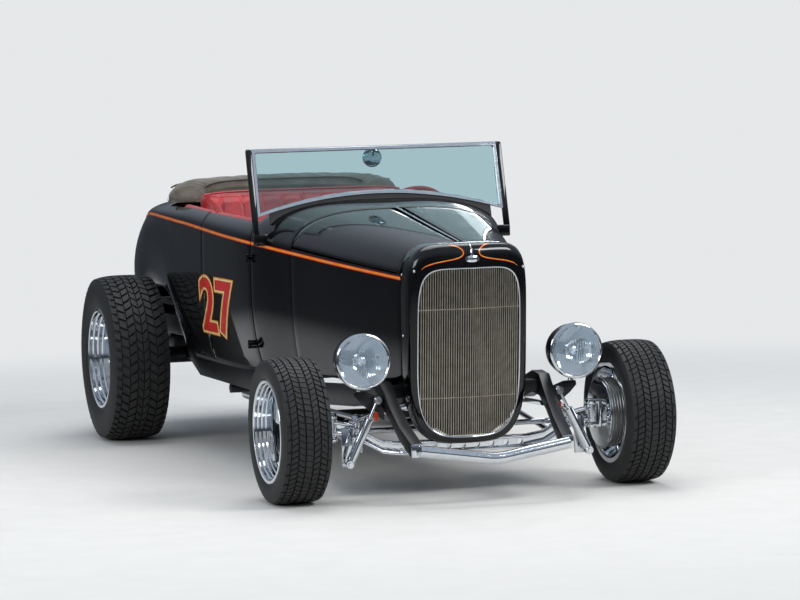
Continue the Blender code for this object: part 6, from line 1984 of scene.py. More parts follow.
@dataclass
class FrontEnd:
    """The chromed front suspension: axle, rods, shocks, spreader tube, spring, drums and signals."""

    kingpin: float = 0.545
    wheel_z: float = 0.288
    drop: float = 0.096
    beam: tuple[float, float, float, float] = (0.023, 0.007, 0.026, 0.014)
    drilled: tuple[float, float] = (0.060, 0.011)
    shock: tuple[tuple[float, float, float], ...] = ((0.379, -0.092, 0.397), (0.500, -0.092, 0.150))
    eye: float = 0.013
    horn: tuple[float, float, float] = (0.305, -0.389, 0.220)
    knee: tuple[float, float] = (-0.409, 0.176)
    flange: tuple[float, float, float] = (0.310, -0.361028, 0.2199)
    flange_half: tuple[float, float] = (0.023, 0.02666)
    rod_plate: tuple[float, float, float] = (0.430, 0.023, 0.254)
    rod_end: tuple[float, float, float] = (0.412, 0.860, 0.3032)
    tie_rod: tuple[float, float] = (0.130, 0.2525)
    drum: tuple[float, float, float, float] = (0.589, 0.058, 0.140, 0.010)
    fins: int = 5
    signal: tuple[float, float, float] = (0.383, -0.060, 0.331)
    line: tuple[tuple[float, float], ...] = (
        (0, 1), (0.50, 1), (0.62, 0.90), (0.76, 0.45), (0.88, 0.10), (0.965, 0), (1, 0)
    )

    def axle_z(self, x: float) -> float:
        """Returns the beam's middle height at an X, eased through its bends.

        Args:
            x: The place across.

        Returns:
            The height.
        """
        share = min(abs(x) / self.kingpin, 1)
        for (x0, d0), (x1, d1) in zip(self.line, self.line[1:]):
            if share <= x1:
                return self.wheel_z - self.drop * (d0 + (d1 - d0) * (share - x0) / (x1 - x0))
        return self.wheel_z

    def axle(self) -> None:
        """Makes the drilled I-beam with its kingpin bosses, shock tabs and studs, and spring perches."""
        deep, web, high, flange = self.beam
        ring = [
            (-deep, -high), (deep, -high), (deep, -flange - 0.002), (web, -flange), (web, flange),
            (deep, flange + 0.002), (deep, high), (-deep, high), (-deep, flange + 0.002), (-web, flange),
            (-web, -flange), (-deep, -flange - 0.002),
        ]
        xs = sorted({self.kingpin * x * side for x, _ in self.line for side in (-1, 1)})
        beam = Bench.rings("beam", [[(x, FRONT_Y + y, self.axle_z(x) + z) for y, z in ring] for x in xs])
        edge = beam.modifiers.new("edge", "BEVEL")
        edge.width, edge.segments = 0.002, 2
        edge.limit_method = "ANGLE"
        holes = []
        pitch, radius = self.drilled
        for k in range(-4, 5):
            spot = Vector((k * pitch, FRONT_Y, self.axle_z(k * pitch)))
            holes.append(bar("hole", spot + FORWARD * 0.05, spot + REARWARD * 0.05, radius, 28))
        cutter = Bench.joined("holes", holes)
        cut = beam.modifiers.new("holes", "BOOLEAN")
        cut.operation, cut.object, cut.solver = "DIFFERENCE", cutter, "EXACT"
        Bench.settle(beam)
        bpy.data.objects.remove(cutter)
        pieces = [beam]
        for side in (-1, 1):
            middle = Vector((side * self.kingpin, FRONT_Y, self.wheel_z))
            pieces.append(bar("boss", middle - UPWARD * 0.037, middle + UPWARD * 0.037, 0.024, 40, 0.003))
            x, s, z = self.shock[1]
            low = Vector((side * x, SKIN.y(s), z))
            x0, x1 = sorted((low.x - side * 0.034, low.x + side * 0.0085))
            corner = (x1, SKIN.y(-0.013), self.axle_z(low.x))
            pieces.append(Bench.box("tab", (x0, SKIN.y(-0.025), low.z - 0.017), corner, 0.003))
            end = Vector((low.x, SKIN.y(-0.022), low.z))
            pieces.append(bar("stud", low + Vector((0, 0.0133, 0)), end, 0.006, 20))
            perch = Vector((side * 0.440, FRONT_Y, self.axle_z(0.440)))
            pieces.append(bar("perch", perch, Vector((perch.x, perch.y, 0.3035)), 0.014, 28))
        place(Bench.joined("axle_beam", pieces), CHROME, "car", "front_axle")

    def shocks(self) -> None:
        """Makes the tube shocks: a thin rod above, the bright tube below, black bushes in the eyes."""
        top, low = (Vector((x, SKIN.y(s), z)) for x, s, z in self.shock)
        axis = (low - top).normalized()
        long = (low - top).length
        half = REARWARD * self.eye
        steel, rubber = [], []
        for spot in (top, low):
            profile = [
                (0, 0.0065), (0, 0.0145), (0.0015, 0.016), (0.0245, 0.016), (0.026, 0.0145), (0.026, 0.0065)
            ]
            steel.append(Bench.turned("eye", profile, spot - half, REARWARD, 36))
            rubber.append(bar("bush", spot - half - Vector((0, 0.0005, 0)), spot + half, 0.0105, 28))
            steel.append(hexagon("bolt", spot - half, FORWARD, 0.017, 0.007))
        steel.append(bar("rod", top + axis * 0.014, top + axis * long * 0.34, 0.0062, 24))
        tube = long * 0.70 - 0.012
        profile = [
            (0, 0.0064), (0, 0.0165), (0.002, 0.0188), (0.010, 0.019), (0.0105, 0.0178),
            (0.014, 0.0178), (0.0145, 0.019), (tube - 0.004, 0.019), (tube, 0.015), (tube, 0.0064),
        ]
        steel.append(Bench.turned("tube", profile, top + axis * long * 0.30, axis, 48))
        for kind, things, finish in (("steel", steel, CHROME), ("bush", rubber, RUBBER)):
            both(Bench.joined(f"shock_{kind}_left", things), finish, "car", "shock_left")

    def spreader(self) -> None:
        """Makes the polished vee tube between the horns and its flanges."""
        (nose, low), bend = self.knee, 0.030
        x, s, z = self.horn
        ends = [Vector((side * x, SKIN.y(s), z)) for side in (-1, 1)]
        knee = Vector((0, SKIN.y(nose), low))
        inner = [Vector((side * bend, SKIN.y(nose + 0.002), low + 0.003)) for side in (-1, 1)]
        turns = [k / 8 for k in range(9)]
        curve = [inner[0] * (1 - t) ** 2 + knee * 2 * t * (1 - t) + inner[1] * t * t for t in turns]
        pieces = [Bench.tube("tube", [ends[0], *curve, ends[1]], 0.024, 8)]
        x, s, z = self.flange
        half, tall = self.flange_half
        for side in (-1, 1):
            low = (side * x - half, SKIN.y(s) - 0.012, z - tall)
            pieces.append(Bench.box("flange", low, (side * x + half, SKIN.y(s), z + tall), 0.003))
        place(Bench.joined("spreader_tube", pieces), CHROME, "car", "spreader_bar")

    def rods(self) -> None:
        """Makes the radius rods' bars, plates and eyes, and the tie rod."""
        x, s, middle = self.rod_plate
        plate_y = SKIN.y(s) + 0.0003
        end = Vector((self.rod_end[0], SKIN.y(self.rod_end[1]), self.rod_end[2]))
        low, high = (x - 0.020, plate_y, middle - 0.075), (x + 0.020, plate_y + 0.010, middle + 0.075)
        pieces = [Bench.box("plate", low, high, 0.003)]
        for z in (middle + 0.064, middle - 0.064):
            pieces.append(bar("bar", Vector((x, plate_y + 0.005, z)), end, 0.011, 32))
            pieces.append(hexagon("nut", Vector((x, plate_y + 0.0098, z)), REARWARD, 0.026, 0.010))
        half = LEFTWARD * 0.020
        pieces.append(bar("eye", end - half, end + half, 0.020, 36, 0.002))
        both(Bench.joined("radius_bars_left", pieces), CHROME, "car", "radius_rod_left")
        behind, z = self.tie_rod
        ends = [Vector((side * self.kingpin, FRONT_Y + behind, z)) for side in (-1, 1)]
        pieces = [bar("rod", ends[0], ends[1], 0.011, 32)]
        for side, spot in zip((-1, 1), ends):
            pieces.append(bar("eye", spot - UPWARD * self.eye, spot + UPWARD * self.eye, 0.014, 32, 0.003))
            inward = spot - Vector((side * 0.060, 0, 0))
            pieces.append(bar("sleeve", inward, inward - Vector((side * 0.050, 0, 0)), 0.0135, 32, 0.002))
        place(Bench.joined("tie_rod_steel", pieces), CHROME, "tie_rod", "tie_rod")

    def drums(self) -> None:
        """Makes the finned aluminium brake drums."""
        start, wide, radius, deep = self.drum
        step = wide / (2 * self.fins)
        profile = [(start, radius - 0.020)]
        for k in range(self.fins):
            a = start + 2 * k * step
            profile += [
                (a, radius - 0.0008), (a + 0.0008, radius), (a + step - 0.0008, radius),
                (a + step, radius - 0.0008),
            ]
            profile += [(a + step + 0.0006, radius - deep), (a + 2 * step - 0.0006, radius - deep)]
        end = start + wide
        profile += [(end, 0.0165), (end - 0.020, 0.0165), (end - 0.020, radius - 0.020)]
        left = Bench.turned("drum_fins_left", profile, Vector((0, FRONT_Y, self.wheel_z)), LEFTWARD, 96)
        both(left, ALLOY, "wheel_front_left", "drum_left")

    def signals(self) -> None:
        """Makes the small amber signal lamps on the shock brackets' faces."""
        x, s, z = self.signal
        back, front = SKIN.y(s), SKIN.y(s) - 0.020
        cup = Bench.box(
            "cup", (x - 0.012, front + 0.006, z - 0.019), (x + 0.012, back + 0.001, z + 0.019), 0.003
        )
        low, high = (x - 0.0105, front, z - 0.0175), (x + 0.0105, front + 0.0065, z + 0.0175)
        lens = Bench.box("lens", low, high, 0.003, 3)
        for thing, finish, kind in ((cup, CHROME, "cup"), (lens, AMBER, "lens")):
            thing.name = f"signal_{kind}_left"
            both(thing, finish, "car")

    def build(self) -> None:
        """Makes the whole front end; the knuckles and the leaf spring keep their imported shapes."""
        self.axle()
        self.shocks()
        self.spreader()
        self.rods()
        self.drums()
        self.signals()


@dataclass
class Upholstery:
    """Turns a rough block into a swelled, sewn pad."""

    voxel: float = 0.008
    cap: float = 0.012
    pressure: float = 4.0
    frames: int = 20

    def swell(self, thing: bpy.types.Object) -> None:
        """Remeshes a block, blows it up as cloth and keeps the result.

        Args:
            thing: The block, which starts a little smaller than the pad.
        """
        Bench.pick(thing)
        even = thing.modifiers.new("even", "REMESH")
        even.mode, even.voxel_size = "VOXEL", self.voxel
        bpy.ops.object.modifier_apply(modifier="even")
        rest = [point.co.copy() for point in thing.data.vertices]
        cloth = thing.modifiers.new("swell", "CLOTH")
        cloth.settings.use_pressure = True
        cloth.settings.uniform_pressure_force = self.pressure
        cloth.settings.effector_weights.gravity = 0
        cloth.point_cache.frame_start, cloth.point_cache.frame_end = 1, self.frames
        for frame in range(1, self.frames + 1):
            bpy.context.scene.frame_set(frame)
        blown = thing.evaluated_get(bpy.context.evaluated_depsgraph_get()).to_mesh()
        moved = [point.co.copy() for point in blown.vertices]
        thing.modifiers.remove(cloth)
        bpy.context.scene.frame_set(1)
        for point, start, end in zip(thing.data.vertices, rest, moved):
            step = end - start
            point.co = start + step * min(1, self.cap / max(step.length, 1e-6))
        finer = thing.modifiers.new("finer", "SUBSURF")
        finer.levels = finer.render_levels = 1
        bpy.ops.object.modifier_apply(modifier="finer")

    @staticmethod
    def channels(
        thing: bpy.types.Object, face: Vector, pitch: float, deep: float, low: Vector, high: Vector
    ) -> None:
        """Sews upright rolls into a pad's face, then keeps it inside its space.

        Args:
            thing: The pad.
            face: The way its face looks.
            pitch: The width of a roll.
            deep: How deep the seams pull in.
            low: The lowest corner of its space.
            high: The highest corner of its space.
        """
        mesh = thing.data
        facing = [max(0.0, point.normal.dot(face)) for point in mesh.vertices]
        for point, share in zip(mesh.vertices, facing):
            roll = abs(math.sin(math.pi * point.co.x / pitch)) ** 0.42
            hold = min(1.0, share * 1.6)
            point.co -= face * deep * (1 - roll) * hold
            for axis in range(3):
                point.co[axis] = min(max(point.co[axis], low[axis]), high[axis])
        mesh.update()


@dataclass
class Interior:
    """The red tuck-and-roll seat, door pads, dash and steering wheel."""

    half: float = 0.480
    seat_low: float = 0.560
    lean: float = 0.170
    back_front: float = 0.5072
    back_deep: float = 0.140
    back_high: float = 0.600
    pitch: float = 0.096
    inset: Vector = field(default_factory=lambda: Vector((0.010, 0.010, 0.010)))
    seam: float = 0.014
    pipe: float = 0.0045
    column_head: tuple[float, float, float] = (0.310, 1.480, 0.990)
    column_axis: tuple[float, float, float] = (0.0, 0.91397, 0.40579)
    rim: float = 0.178
    grip: float = 0.013
    dash: float = 1.085
    dials: tuple[tuple[float, float, float], ...] = (
        (0.215, 0.925, 0.040),
        (0.405, 0.925, 0.040),
        (0.02, 0.92, 0.026),
        (0.09, 0.92, 0.026),
        (-0.05, 0.92, 0.026),
    )
    rolls: tuple[tuple[str, float, float], ...] = (("door", 1.150, 1.765), ("quarter", 1.830, 2.380))
    roll: tuple[float, float] = (0.022, 0.017)
    pads: Upholstery = field(default_factory=Upholstery)

    def cushion(self) -> None:
        """Makes the seat cushion and its piping."""
        low, high = (Vector(corner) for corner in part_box("seat_cushion"))
        block = Bench.box("seat_cushion_pad", low + self.inset * 0.8, high - self.inset, 0.034, 5)
        self.pads.swell(block)
        crown = 0.010
        middle, reach = (low + high) / 2, (high - low) / 2
        for point in block.data.vertices:
            x, y = (point.co.x - middle.x) / reach.x, (point.co.y - middle.y) / reach.y
            if point.co.z > middle.z:
                point.co.z += crown * (1 - x**4) * (1 - y**4)
        block.data.update()
        self.pads.channels(block, UPWARD, self.pitch, self.seam, low, high + Vector((0, 0, 0.004)))
        place(block, LEATHER, "car", "seat_cushion", smooth=70)
        front, edge = low.y + 0.006, high.x - 0.020
        for name, z in (("upper", high.z - 0.030), ("lower", low.z + 0.018)):
            left = [(edge - 0.02, front, z), (edge, front + 0.010, z)]
            path = [*((-x, y, z) for x, y, z in reversed(left)), *left]
            place(Bench.tube(f"cushion_welt_{name}", path, self.pipe, 3), LEATHER, "car")

    def back(self) -> None:
        """Makes the seat back: rolled face, welt round its top."""
        low = Vector((-self.half, self.back_front, self.seat_low))
        high = Vector((self.half, self.back_front + self.back_deep, self.seat_low + self.back_high))
        block = Bench.box("seat_back_pad", low + self.inset * 0.8, high - self.inset, 0.040, 5)
        self.pads.swell(block)
        middle, reach = (low + high) / 2, (high - low) / 2
        for point in block.data.vertices:
            x, z = (point.co.x - middle.x) / reach.x, (point.co.z - middle.z) / reach.z
            if point.co.y < middle.y:
                point.co.y -= 0.008 * (1 - x**4) * (1 - z**4)
        block.data.update()
        self.pads.channels(block, FORWARD, self.pitch, self.seam, low, high)
        for point in block.data.vertices:
            point.co.y += self.lean * (point.co.z - self.seat_low) / self.back_high
        block.data.update()
        place(block, LEATHER, "car", "seat_back", smooth=70)
        top, edge = high.z - 0.012, self.half - 0.016
        path = []
        for x in [-edge + 2 * edge * k / 24 for k in range(25)]:
            drop = 0.014 * (abs(x) / edge) ** 8
            z = top - drop
            path.append((x, self.back_front + 0.016 + self.lean * (z - self.seat_low) / self.back_high, z))
        place(Bench.tube("back_welt", path, self.pipe, 3), LEATHER, "car")

    def door_pads(self) -> None:
        """Makes the padded rolls along the tops of the doors and of the body behind them."""
        for kind, start, end in self.rolls:
            rows, steps = [], 40
            for k in range(steps + 1):
                s = start + (end - start) * k / steps
                z = 1.061 + (s - 1.2) * 0.022
                x = 0.5255 + 0.010 * min(1, (s - 1.2) / 0.5) - max(0, s - 1.95) * 0.04
                close = min(1.0, k / 3 + 0.12, (steps - k) / 3 + 0.12)
                puff = 1 + 0.06 * abs(math.sin(math.pi * s / 0.075))
                ring = []
                for side in range(16):
                    a = math.tau * side / 16
                    wide, high = (size * close * puff for size in self.roll)
                    across, up = x - 0.0225 + wide * math.cos(a), z - 0.012 + high * math.sin(a)
                    ring.append((across, SKIN.y(s), up))
                rows.append(ring)
            left = Bench.rings(f"{kind}_pad_left", rows)
            body = "door_left" if kind == "door" else "car"
            both(left, LEATHER, body, smooth=60, also=lambda other: other)

    def gauges(self) -> None:
        """Makes the dash's round gauges: chromed bezel, cream dial, ticks and a needle."""
        face = SKIN.y(self.dash)
        bezels, dials, marks = [], [], []
        for x, z, radius in self.dials:
            spot = Vector((x, face - 0.001, z))
            profile = [
                (0, radius - 0.006), (0, radius), (0.007, radius - 0.001), (0.009, radius - 0.004),
                (0.006, radius - 0.006),
            ]
            bezels.append(Bench.turned("bezel", profile, spot, REARWARD, 48))
            dials.append(bar("dial", spot, spot + Vector((0, 0.004, 0)), radius - 0.005, 40, 0.0005))
            for k in range(9):
                a = math.radians(-225 + 270 * k / 8)
                out = Vector((math.cos(a), 0, -math.sin(a)))
                near = spot + Vector((0, 0.0046, 0)) + out * (radius * 0.62)
                marks.append(bar("tick", near, near + out * radius * 0.16, 0.0009, 6, 0.0001))
            aim = Vector((-0.6, 0, 0.8)) * radius * 0.6
            start = spot + REARWARD * 0.0052
            marks.append(bar("needle", start, start + aim, 0.0009, 6, 0.0001))
        place(Bench.joined("gauge_bezels", bezels), CHROME, "car")
        place(Bench.joined("gauge_dials", dials), CREAM, "car")
        place(Bench.joined("gauge_marks", marks), IRON, "car")

    def wheel(self) -> None:
        """Makes the steering wheel: hide-bound rim, three spokes, hub and button."""
        x, s, z = self.column_head
        head, axis = Vector((x, SKIN.y(s), z)), Vector(self.column_axis)
        middle = head + axis * 0.045
        section = []
        for k in range(14):
            a = math.tau * k / 14
            radius = self.rim - self.grip + self.grip * math.sin(a) - 0.0004
            section.append((self.grip * math.cos(a), radius))
        rim = Bench.turned("wheel_rim", section, middle, axis, 96)
        place(rim, LEATHER, "steering_wheel", "steering_wheel", smooth=60)
        across = axis.cross(LEFTWARD)
        steel = []
        for turn in (-90, 30, 150):
            a = math.radians(turn)
            out = LEFTWARD * math.cos(a) + across * math.sin(a)
            side = out.cross(axis)
            near = middle - axis * 0.026 + out * 0.026
            far = middle + out * (self.rim - 2 * self.grip + 0.004)
            rows = []
            for spot, wide in ((near, 0.012), (near.lerp(far, 0.5), 0.010), (far, 0.008)):
                ring = ((-wide, -0.002), (wide, -0.002), (wide, 0.002), (-wide, 0.002))
                rows.append([spot + side * p + axis * q for p, q in ring])
            steel.append(Bench.rings("spoke", rows))
        hub = [
            (0.0006, 0.001), (0.0006, 0.026), (0.004, 0.034), (0.022, 0.034), (0.026, 0.030),
            (0.028, 0.018), (0.032, 0.012), (0.033, 0.001),
        ]
        steel.append(Bench.turned("hub", hub, head, axis, 48))
        place(Bench.joined("wheel_spokes", steel), CHROME, "steering_wheel")

    def build(self) -> None:
        """Makes the whole interior."""
        self.cushion()
        self.back()
        self.door_pads()
        self.gauges()
        self.wheel()


@dataclass
class Boot:
    """The folded top under its canvas boot: a soft horseshoe with piped edges and snaps."""

    reach: float = 0.470
    station: float = 2.460
    bow: float = 0.130
    halves: tuple[float, float] = (0.105, 0.020)
    tops: tuple[float, float] = (1.212, 0.047)
    rest: float = 2.670
    shares: Profile = (
        (-0.97, 0.02), (-1, 0.25), (-0.85, 0.70), (-0.40, 0.95), (0.20, 0.98), (0.75, 0.75), (1, 0.30),
        (0.95, 0.02),
    )

    def spot(self, u: float, across: float, up: float) -> Vector:
        """Returns a point of the roll.

        Args:
            u: From -1 at the right end to 1 at the left end.
            across: From -1 inside to 1 outside.
            up: From 0 at the body to 1 on top.

        Returns:
            The point.
        """
        a = u * math.pi / 2
        sine, cosine = math.sin(a), abs(math.cos(a))
        x = self.reach * math.copysign(abs(sine) ** 0.7, sine)
        y = SKIN.y(self.station + self.bow * cosine**0.7)
        half = self.halves[0] - self.halves[1] * abs(u) ** 3
        top = self.tops[0] - self.tops[1] * abs(u) ** 3
        out = Vector((sine * abs(sine), math.cos(a), 0)).normalized()
        low = SKIN.crown_z(self.rest, x) + 0.0003
        return Vector((x, y, low + (top - low) * up)) + out * half * across

    def section(self, rounds: int = 3) -> list[tuple[float, float]]:
        """Returns the roll's outline with its corners cut round; its bottom stays flat.

        Args:
            rounds: How many times the corners are cut.

        Returns:
            The outline.
        """
        line = list(self.shares)
        for _ in range(rounds):
            finer = [line[0]]
            for (x0, z0), (x1, z1) in zip(line, line[1:]):
                finer += [
                    (x0 * 0.75 + x1 * 0.25, z0 * 0.75 + z1 * 0.25),
                    (x0 * 0.25 + x1 * 0.75, z0 * 0.25 + z1 * 0.75),
                ]
            line = [*finer, line[-1]]
        return line

    def cover(self) -> None:
        """Makes the cover: three folds show through it, with drawn wrinkles across."""
        line, rows, steps = self.section(), [], 168
        for k in range(steps + 1):
            u = -1 + 2 * k / steps
            close = min(1.0, 0.25 + 9 * (1 - abs(u)))
            close = 1 - (1 - close) ** 2
            row = []
            for across, up in line:
                depth = 0.030 if abs(across) > 0.3 else 0.012
                folds = depth * math.cos(up * math.tau * 2.4 + 0.8 * math.sin(3 * u))
                draw = 0.016 * math.sin(46 * u + 4 * math.sin(7 * u) + 5 * across) * up
                sag = 0.020 * math.sin(9 * u + 1.3) * up
                squeeze = 1 - 0.045 + folds + draw
                height = min(up * (0.975 + sag + draw) * close + 0.004, 1.0)
                row.append(self.spot(u * 0.996, across * squeeze * close, height))
            rows.append(row)
        thing = Bench.rings("boot_cover", rows)
        finer = thing.modifiers.new("finer", "SUBSURF")
        finer.levels = finer.render_levels = 1
        Bench.settle(thing, 80)
        place(thing, CANVAS, "car", "folded_top", smooth=80)

    def edging(self) -> None:
        """Makes the piping along the top's outer and inner edges, and the snaps."""
        for name, across, up in (("outer", 0.80, 0.735), ("inner", -0.86, 0.735)):
            path = [self.spot(-0.80 + 1.60 * k / 64, across, up) for k in range(65)]
            place(Bench.tube(f"boot_piping_{name}", path, 0.0042, 3), HEM, "car", smooth=60)
        studs = []
        for k in range(15):
            u = -0.93 + 1.86 * k / 14
            near, far = self.spot(u, 0.90, 0.16), self.spot(u, 1.06, 0.16)
            out = (far - near).normalized()
            profile = [
                (0, 0.0002), (0, 0.0062), (0.0022, 0.0062), (0.0042, 0.0046), (0.0050, 0.0020),
                (0.0050, 0.0002),
            ]
            studs.append(Bench.turned("snap", profile, self.spot(u, 0.955, 0.16), out, 20))
        place(Bench.joined("boot_snaps", studs), CHROME, "car", smooth=40)

    def build(self) -> None:
        """Makes the whole boot."""
        self.cover()
        self.edging()


@dataclass
class Ornaments:
    """The painted scallops and oval boss on the shell, and its dome screws."""

    scallop: Profile = (
        (0.088, 0.996), (0.060, 0.990), (0.040, 0.978), (0.033, 0.964), (0.042, 0.950),
        (0.066, 0.941), (0.105, 0.934), (0.150, 0.926), (0.185, 0.914), (0.205, 0.898),
    )
    boss: tuple[float, float] = (0.030, 0.0135)
    boss_z: float = 0.939
    boss_section: Profile = (
        (0.97, -0.004), (1, 0.001), (0.99, 0.0025), (0.90, 0.0030), (0.86, 0.0026),
        (0.60, 0.0046), (0.25, 0.0058),
    )
    blade_long: float = 0.0455
    top_screw: tuple[float, float] = (0.226, 0.897)
    side_screws: tuple[float, float] = (0.880, 0.640)

    def face(self) -> BVHTree:
        """Reads the shell's skin, ready for finding points of its surface.

        Returns:
            The skin's faces as a tree.
        """
        mesh = bpy.data.objects["grille_shell_skin"].data
        faces = [tuple(face.vertices) for face in mesh.polygons]
        return BVHTree.FromPolygons([point.co for point in mesh.vertices], faces)

    @staticmethod
    def hit(tree: BVHTree, x: float, z: float) -> Vector | None:
        """Returns the surface's foremost point at an X and a height, if there is one."""
        return tree.ray_cast(Vector((x, -4, z)), REARWARD)[0]

    def brush(
        self, tree: BVHTree, name: str, offsets: tuple[float, float], side: int, finish: Finish
    ) -> None:
        """Draws one stroke of a scallop, thin at both ends.

        Args:
            tree: The surface.
            name: The stroke's name.
            offsets: Its near and far edge beside the path.
            side: 1 for the left scallop, -1 for the right.
            finish: Its colour.
        """
        points = [Vector((x, 0, z)) for x, z in self.scallop]
        path = []
        for k in range(len(points) - 1):
            p = [points[min(max(k + d, 0), len(points) - 1)] for d in (-1, 0, 1, 2)]
            for j in range(6):
                t = j / 6
                path.append(
                    0.5 * (2 * p[1] + (p[2] - p[0]) * t + (2 * p[0] - 5 * p[1] + 4 * p[2] - p[3]) * t * t
                    + (3 * p[1] - p[0] - 3 * p[2] + p[3]) * t**3)
                )
        rows = []
        for k, spot in enumerate(path[1:-1], 1):
            along = (path[k + 1] - path[k - 1]).normalized()
            across = Vector((along.z, 0, -along.x))
            thin = min(1.0, k / 5, (len(path) - 1 - k) / 8)
            row = []
            near, far = offsets
            for offset, lift in ((near, 0.0002), (near, -0.0005), (far, -0.0005), (far, 0.0002)):
                at = spot + across * offset * thin
                hit = self.hit(tree, side * at.x, at.z)
                row.append((hit.x, hit.y + lift, hit.z))
            rows.append(row)
        place(Bench.rings(name, rows), finish, "car")

    def oval(self, tree: BVHTree) -> None:
        """Makes the chromed oval boss.

        Args:
            tree: The surface that it sits on.
        """
        hit = self.hit(tree, 0, self.boss_z)
        wide, high = self.boss
        rows = []
        for share, out in self.boss_section:
            ring = []
            for k in range(48):
                a = math.tau * k / 48
                x, z = wide * share * math.cos(a), high * share * math.sin(a)
                ring.append((x, hit.y - out, hit.z + z))
            rows.append(ring)
        place(Bench.rings("shell_boss", rows), CHROME, "car", smooth=50)

    def blade(self, tree: BVHTree) -> None:
        """Makes the thin bright blade that runs up from the boss.

        Args:
            tree: The surface that it follows.
        """
        section = ((-1, 0.001), (-0.5, -0.0022), (0, -0.0030), (0.5, -0.0022), (1, 0.001))
        rows = []
        for k in range(13):
            z = self.boss_z + self.boss[1] + self.blade_long * k / 12
            spot = self.hit(tree, 0, z)
            if spot is None:
                break
            half = 0.0050 - 0.0025 * k / 12
            rows.append([(across * half, spot.y + out, z) for across, out in section])
        place(Bench.rings("shell_blade", rows), CHROME, "car", smooth=50)

    def screws(self, tree: BVHTree) -> None:
        """Sets the domed screws: one at each top corner and two down each side.

        Args:
            tree: The surface that the top ones sit on.
        """
        screws = []
        for side in (1, -1):
            spot = self.hit(tree, side * self.top_screw[0], self.top_screw[1])
            screws.append(self.dome("dome", spot, FORWARD, 0.0065))
            for z in self.side_screws:
                seat = Vector((side * 0.250, SKIN.y(-0.040), z))
                screws.append(self.dome("dome", seat, side * LEFTWARD, 0.006))
        place(Bench.joined("shell_screws", screws), CHROME, "car", smooth=40)

    def dome(self, name: str, spot: Vector, out: Vector, radius: float) -> bpy.types.Object:
        """Makes a domed screw on a thin washer.

        Args:
            name: Its name.
            spot: The middle of its seat.
            out: The way it stands out.
            radius: The washer's radius.

        Returns:
            The screw.
        """
        profile = [(-0.001, 0.0002), (-0.001, radius), (0.0006, radius), (0.0007, radius * 0.78)]
        profile += [(radius * 0.40, radius * 0.60), (radius * 0.56, radius * 0.30), (radius * 0.60, 0.0002)]
        return Bench.turned(name, profile, spot, out, 24)

    def build(self) -> None:
        """Makes all the shell's ornaments."""
        tree = self.face()
        for side, word in ((1, "left"), (-1, "right")):
            self.brush(tree, f"scallop_core_{word}", (-0.0016, 0.0014), side, ORANGE)
            self.brush(tree, f"scallop_edge_{word}", (0.0015, 0.0034), side, SCARLET)
        self.oval(tree)
        self.blade(tree)
        self.screws(tree)


@dataclass
class TailLamps:
    """The two round red lamps on the rear bar."""

    x: float = 0.360
    z: float = 0.4398
    station: float = 3.425
    radius: float = 0.044

    def build(self) -> None:
        """Makes each lamp's chromed rim and its stepped red lens."""
        for side, word in ((1, "left"), (-1, "right")):
            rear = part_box("rear_bar")[1][1]
            spot = Vector((side * self.x, rear - 0.0142, self.z))
            r = self.radius + 0.0008
            rim = [
                (0, r - 0.010), (0, r), (0.014, r),
                (0.018, r - 0.002), (0.018, r - 0.005), (0.012, r - 0.010),
            ]
            lens = [
                (0.001, 0.0003), (0.001, r - 0.006), (0.016, r - 0.006), (0.017, r - 0.010),
                (0.0195, r - 0.012), (0.0200, r - 0.020), (0.0220, r - 0.022),
                (0.0224, 0.012), (0.0236, 0.010), (0.0238, 0.0003),
            ]
            turned = ((f"tail_lamp_rim_{word}", rim, CHROME), (f"tail_lamp_lens_{word}", lens, RUBY))
            for name, profile, finish in turned:
                place(Bench.turned(name, profile, spot, REARWARD, 56), finish, "car", smooth=30)


@dataclass
class Softened:
    """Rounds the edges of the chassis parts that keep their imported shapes."""

    nodes: tuple[tuple[str, str, float], ...] = (
        ("frame", "iron", 0.0020),
        ("rear_axle", "iron", 0.0012),
        ("exhaust", "chrome", 0.0010),
        ("fuel_tank", "iron", 0.0015),
        ("rear_bar", "chrome", 0.0012),
        ("front_spring", "chrome", 0.0012),
        ("knuckle_left", "chrome", 0.0010),
        ("knuckle_right", "chrome", 0.0010),
        ("engine_block", "iron", 0.0030),
        ("radiator", "iron", 0.0015),
        ("dash", "paint", 0.0012),
    )

    def build(self) -> None:
        """Copies, merges, bevels and smooths each of them."""
        looks = {"iron": IRON, "chrome": CHROME, "paint": PAINT}
        for node, look, edge in self.nodes:
            carried = FRAME["nodes"][node]
            thing = Bench.added(f"{node}_finished", carried.data.copy())
            thing.data.materials.clear()
            with Bench.editing(thing):
                bpy.ops.mesh.remove_doubles(threshold=0.00002)
                bpy.ops.mesh.dissolve_limited(angle_limit=math.radians(1.5))
            soft = thing.modifiers.new("soft", "BEVEL")
            soft.width, soft.segments = edge, 2
            soft.limit_method, soft.angle_limit = "ANGLE", math.radians(42)
            place(thing, looks[look], node if node.startswith("knuckle") else "car", node, smooth=42)


@dataclass
class Carried:
    """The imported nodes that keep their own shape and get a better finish."""

    finishes: dict[str, Finish] = field(
        default_factory=lambda: {
            "paint": PAINT,
            "brass_bars": BRASS,
            "iron": IRON,
            "chrome": CHROME,
            "alloy": ALLOY,
            "tyre": RUBBER,
            "leather": LEATHER,
            "canvas": CANVAS,
            "carpet": CARPET,
            "glass": SCREEN_GLASS,
        }
    )

    def build(self) -> None:
        """Dresses each node that nothing replaces."""
        slots = {entry["node"]: entry["material_slot"] for entry in FRAME["record"]["subparts"]}
        for name, node in FRAME["nodes"].items():
            if node.hide_render:
                continue
            material = self.finishes[slots[name]].material()
            if not node.material_slots:
                node.data.materials.append(material)
            for socket in node.material_slots:
                socket.material = material
            LOG.info("%s carried in %s", name, material.name)


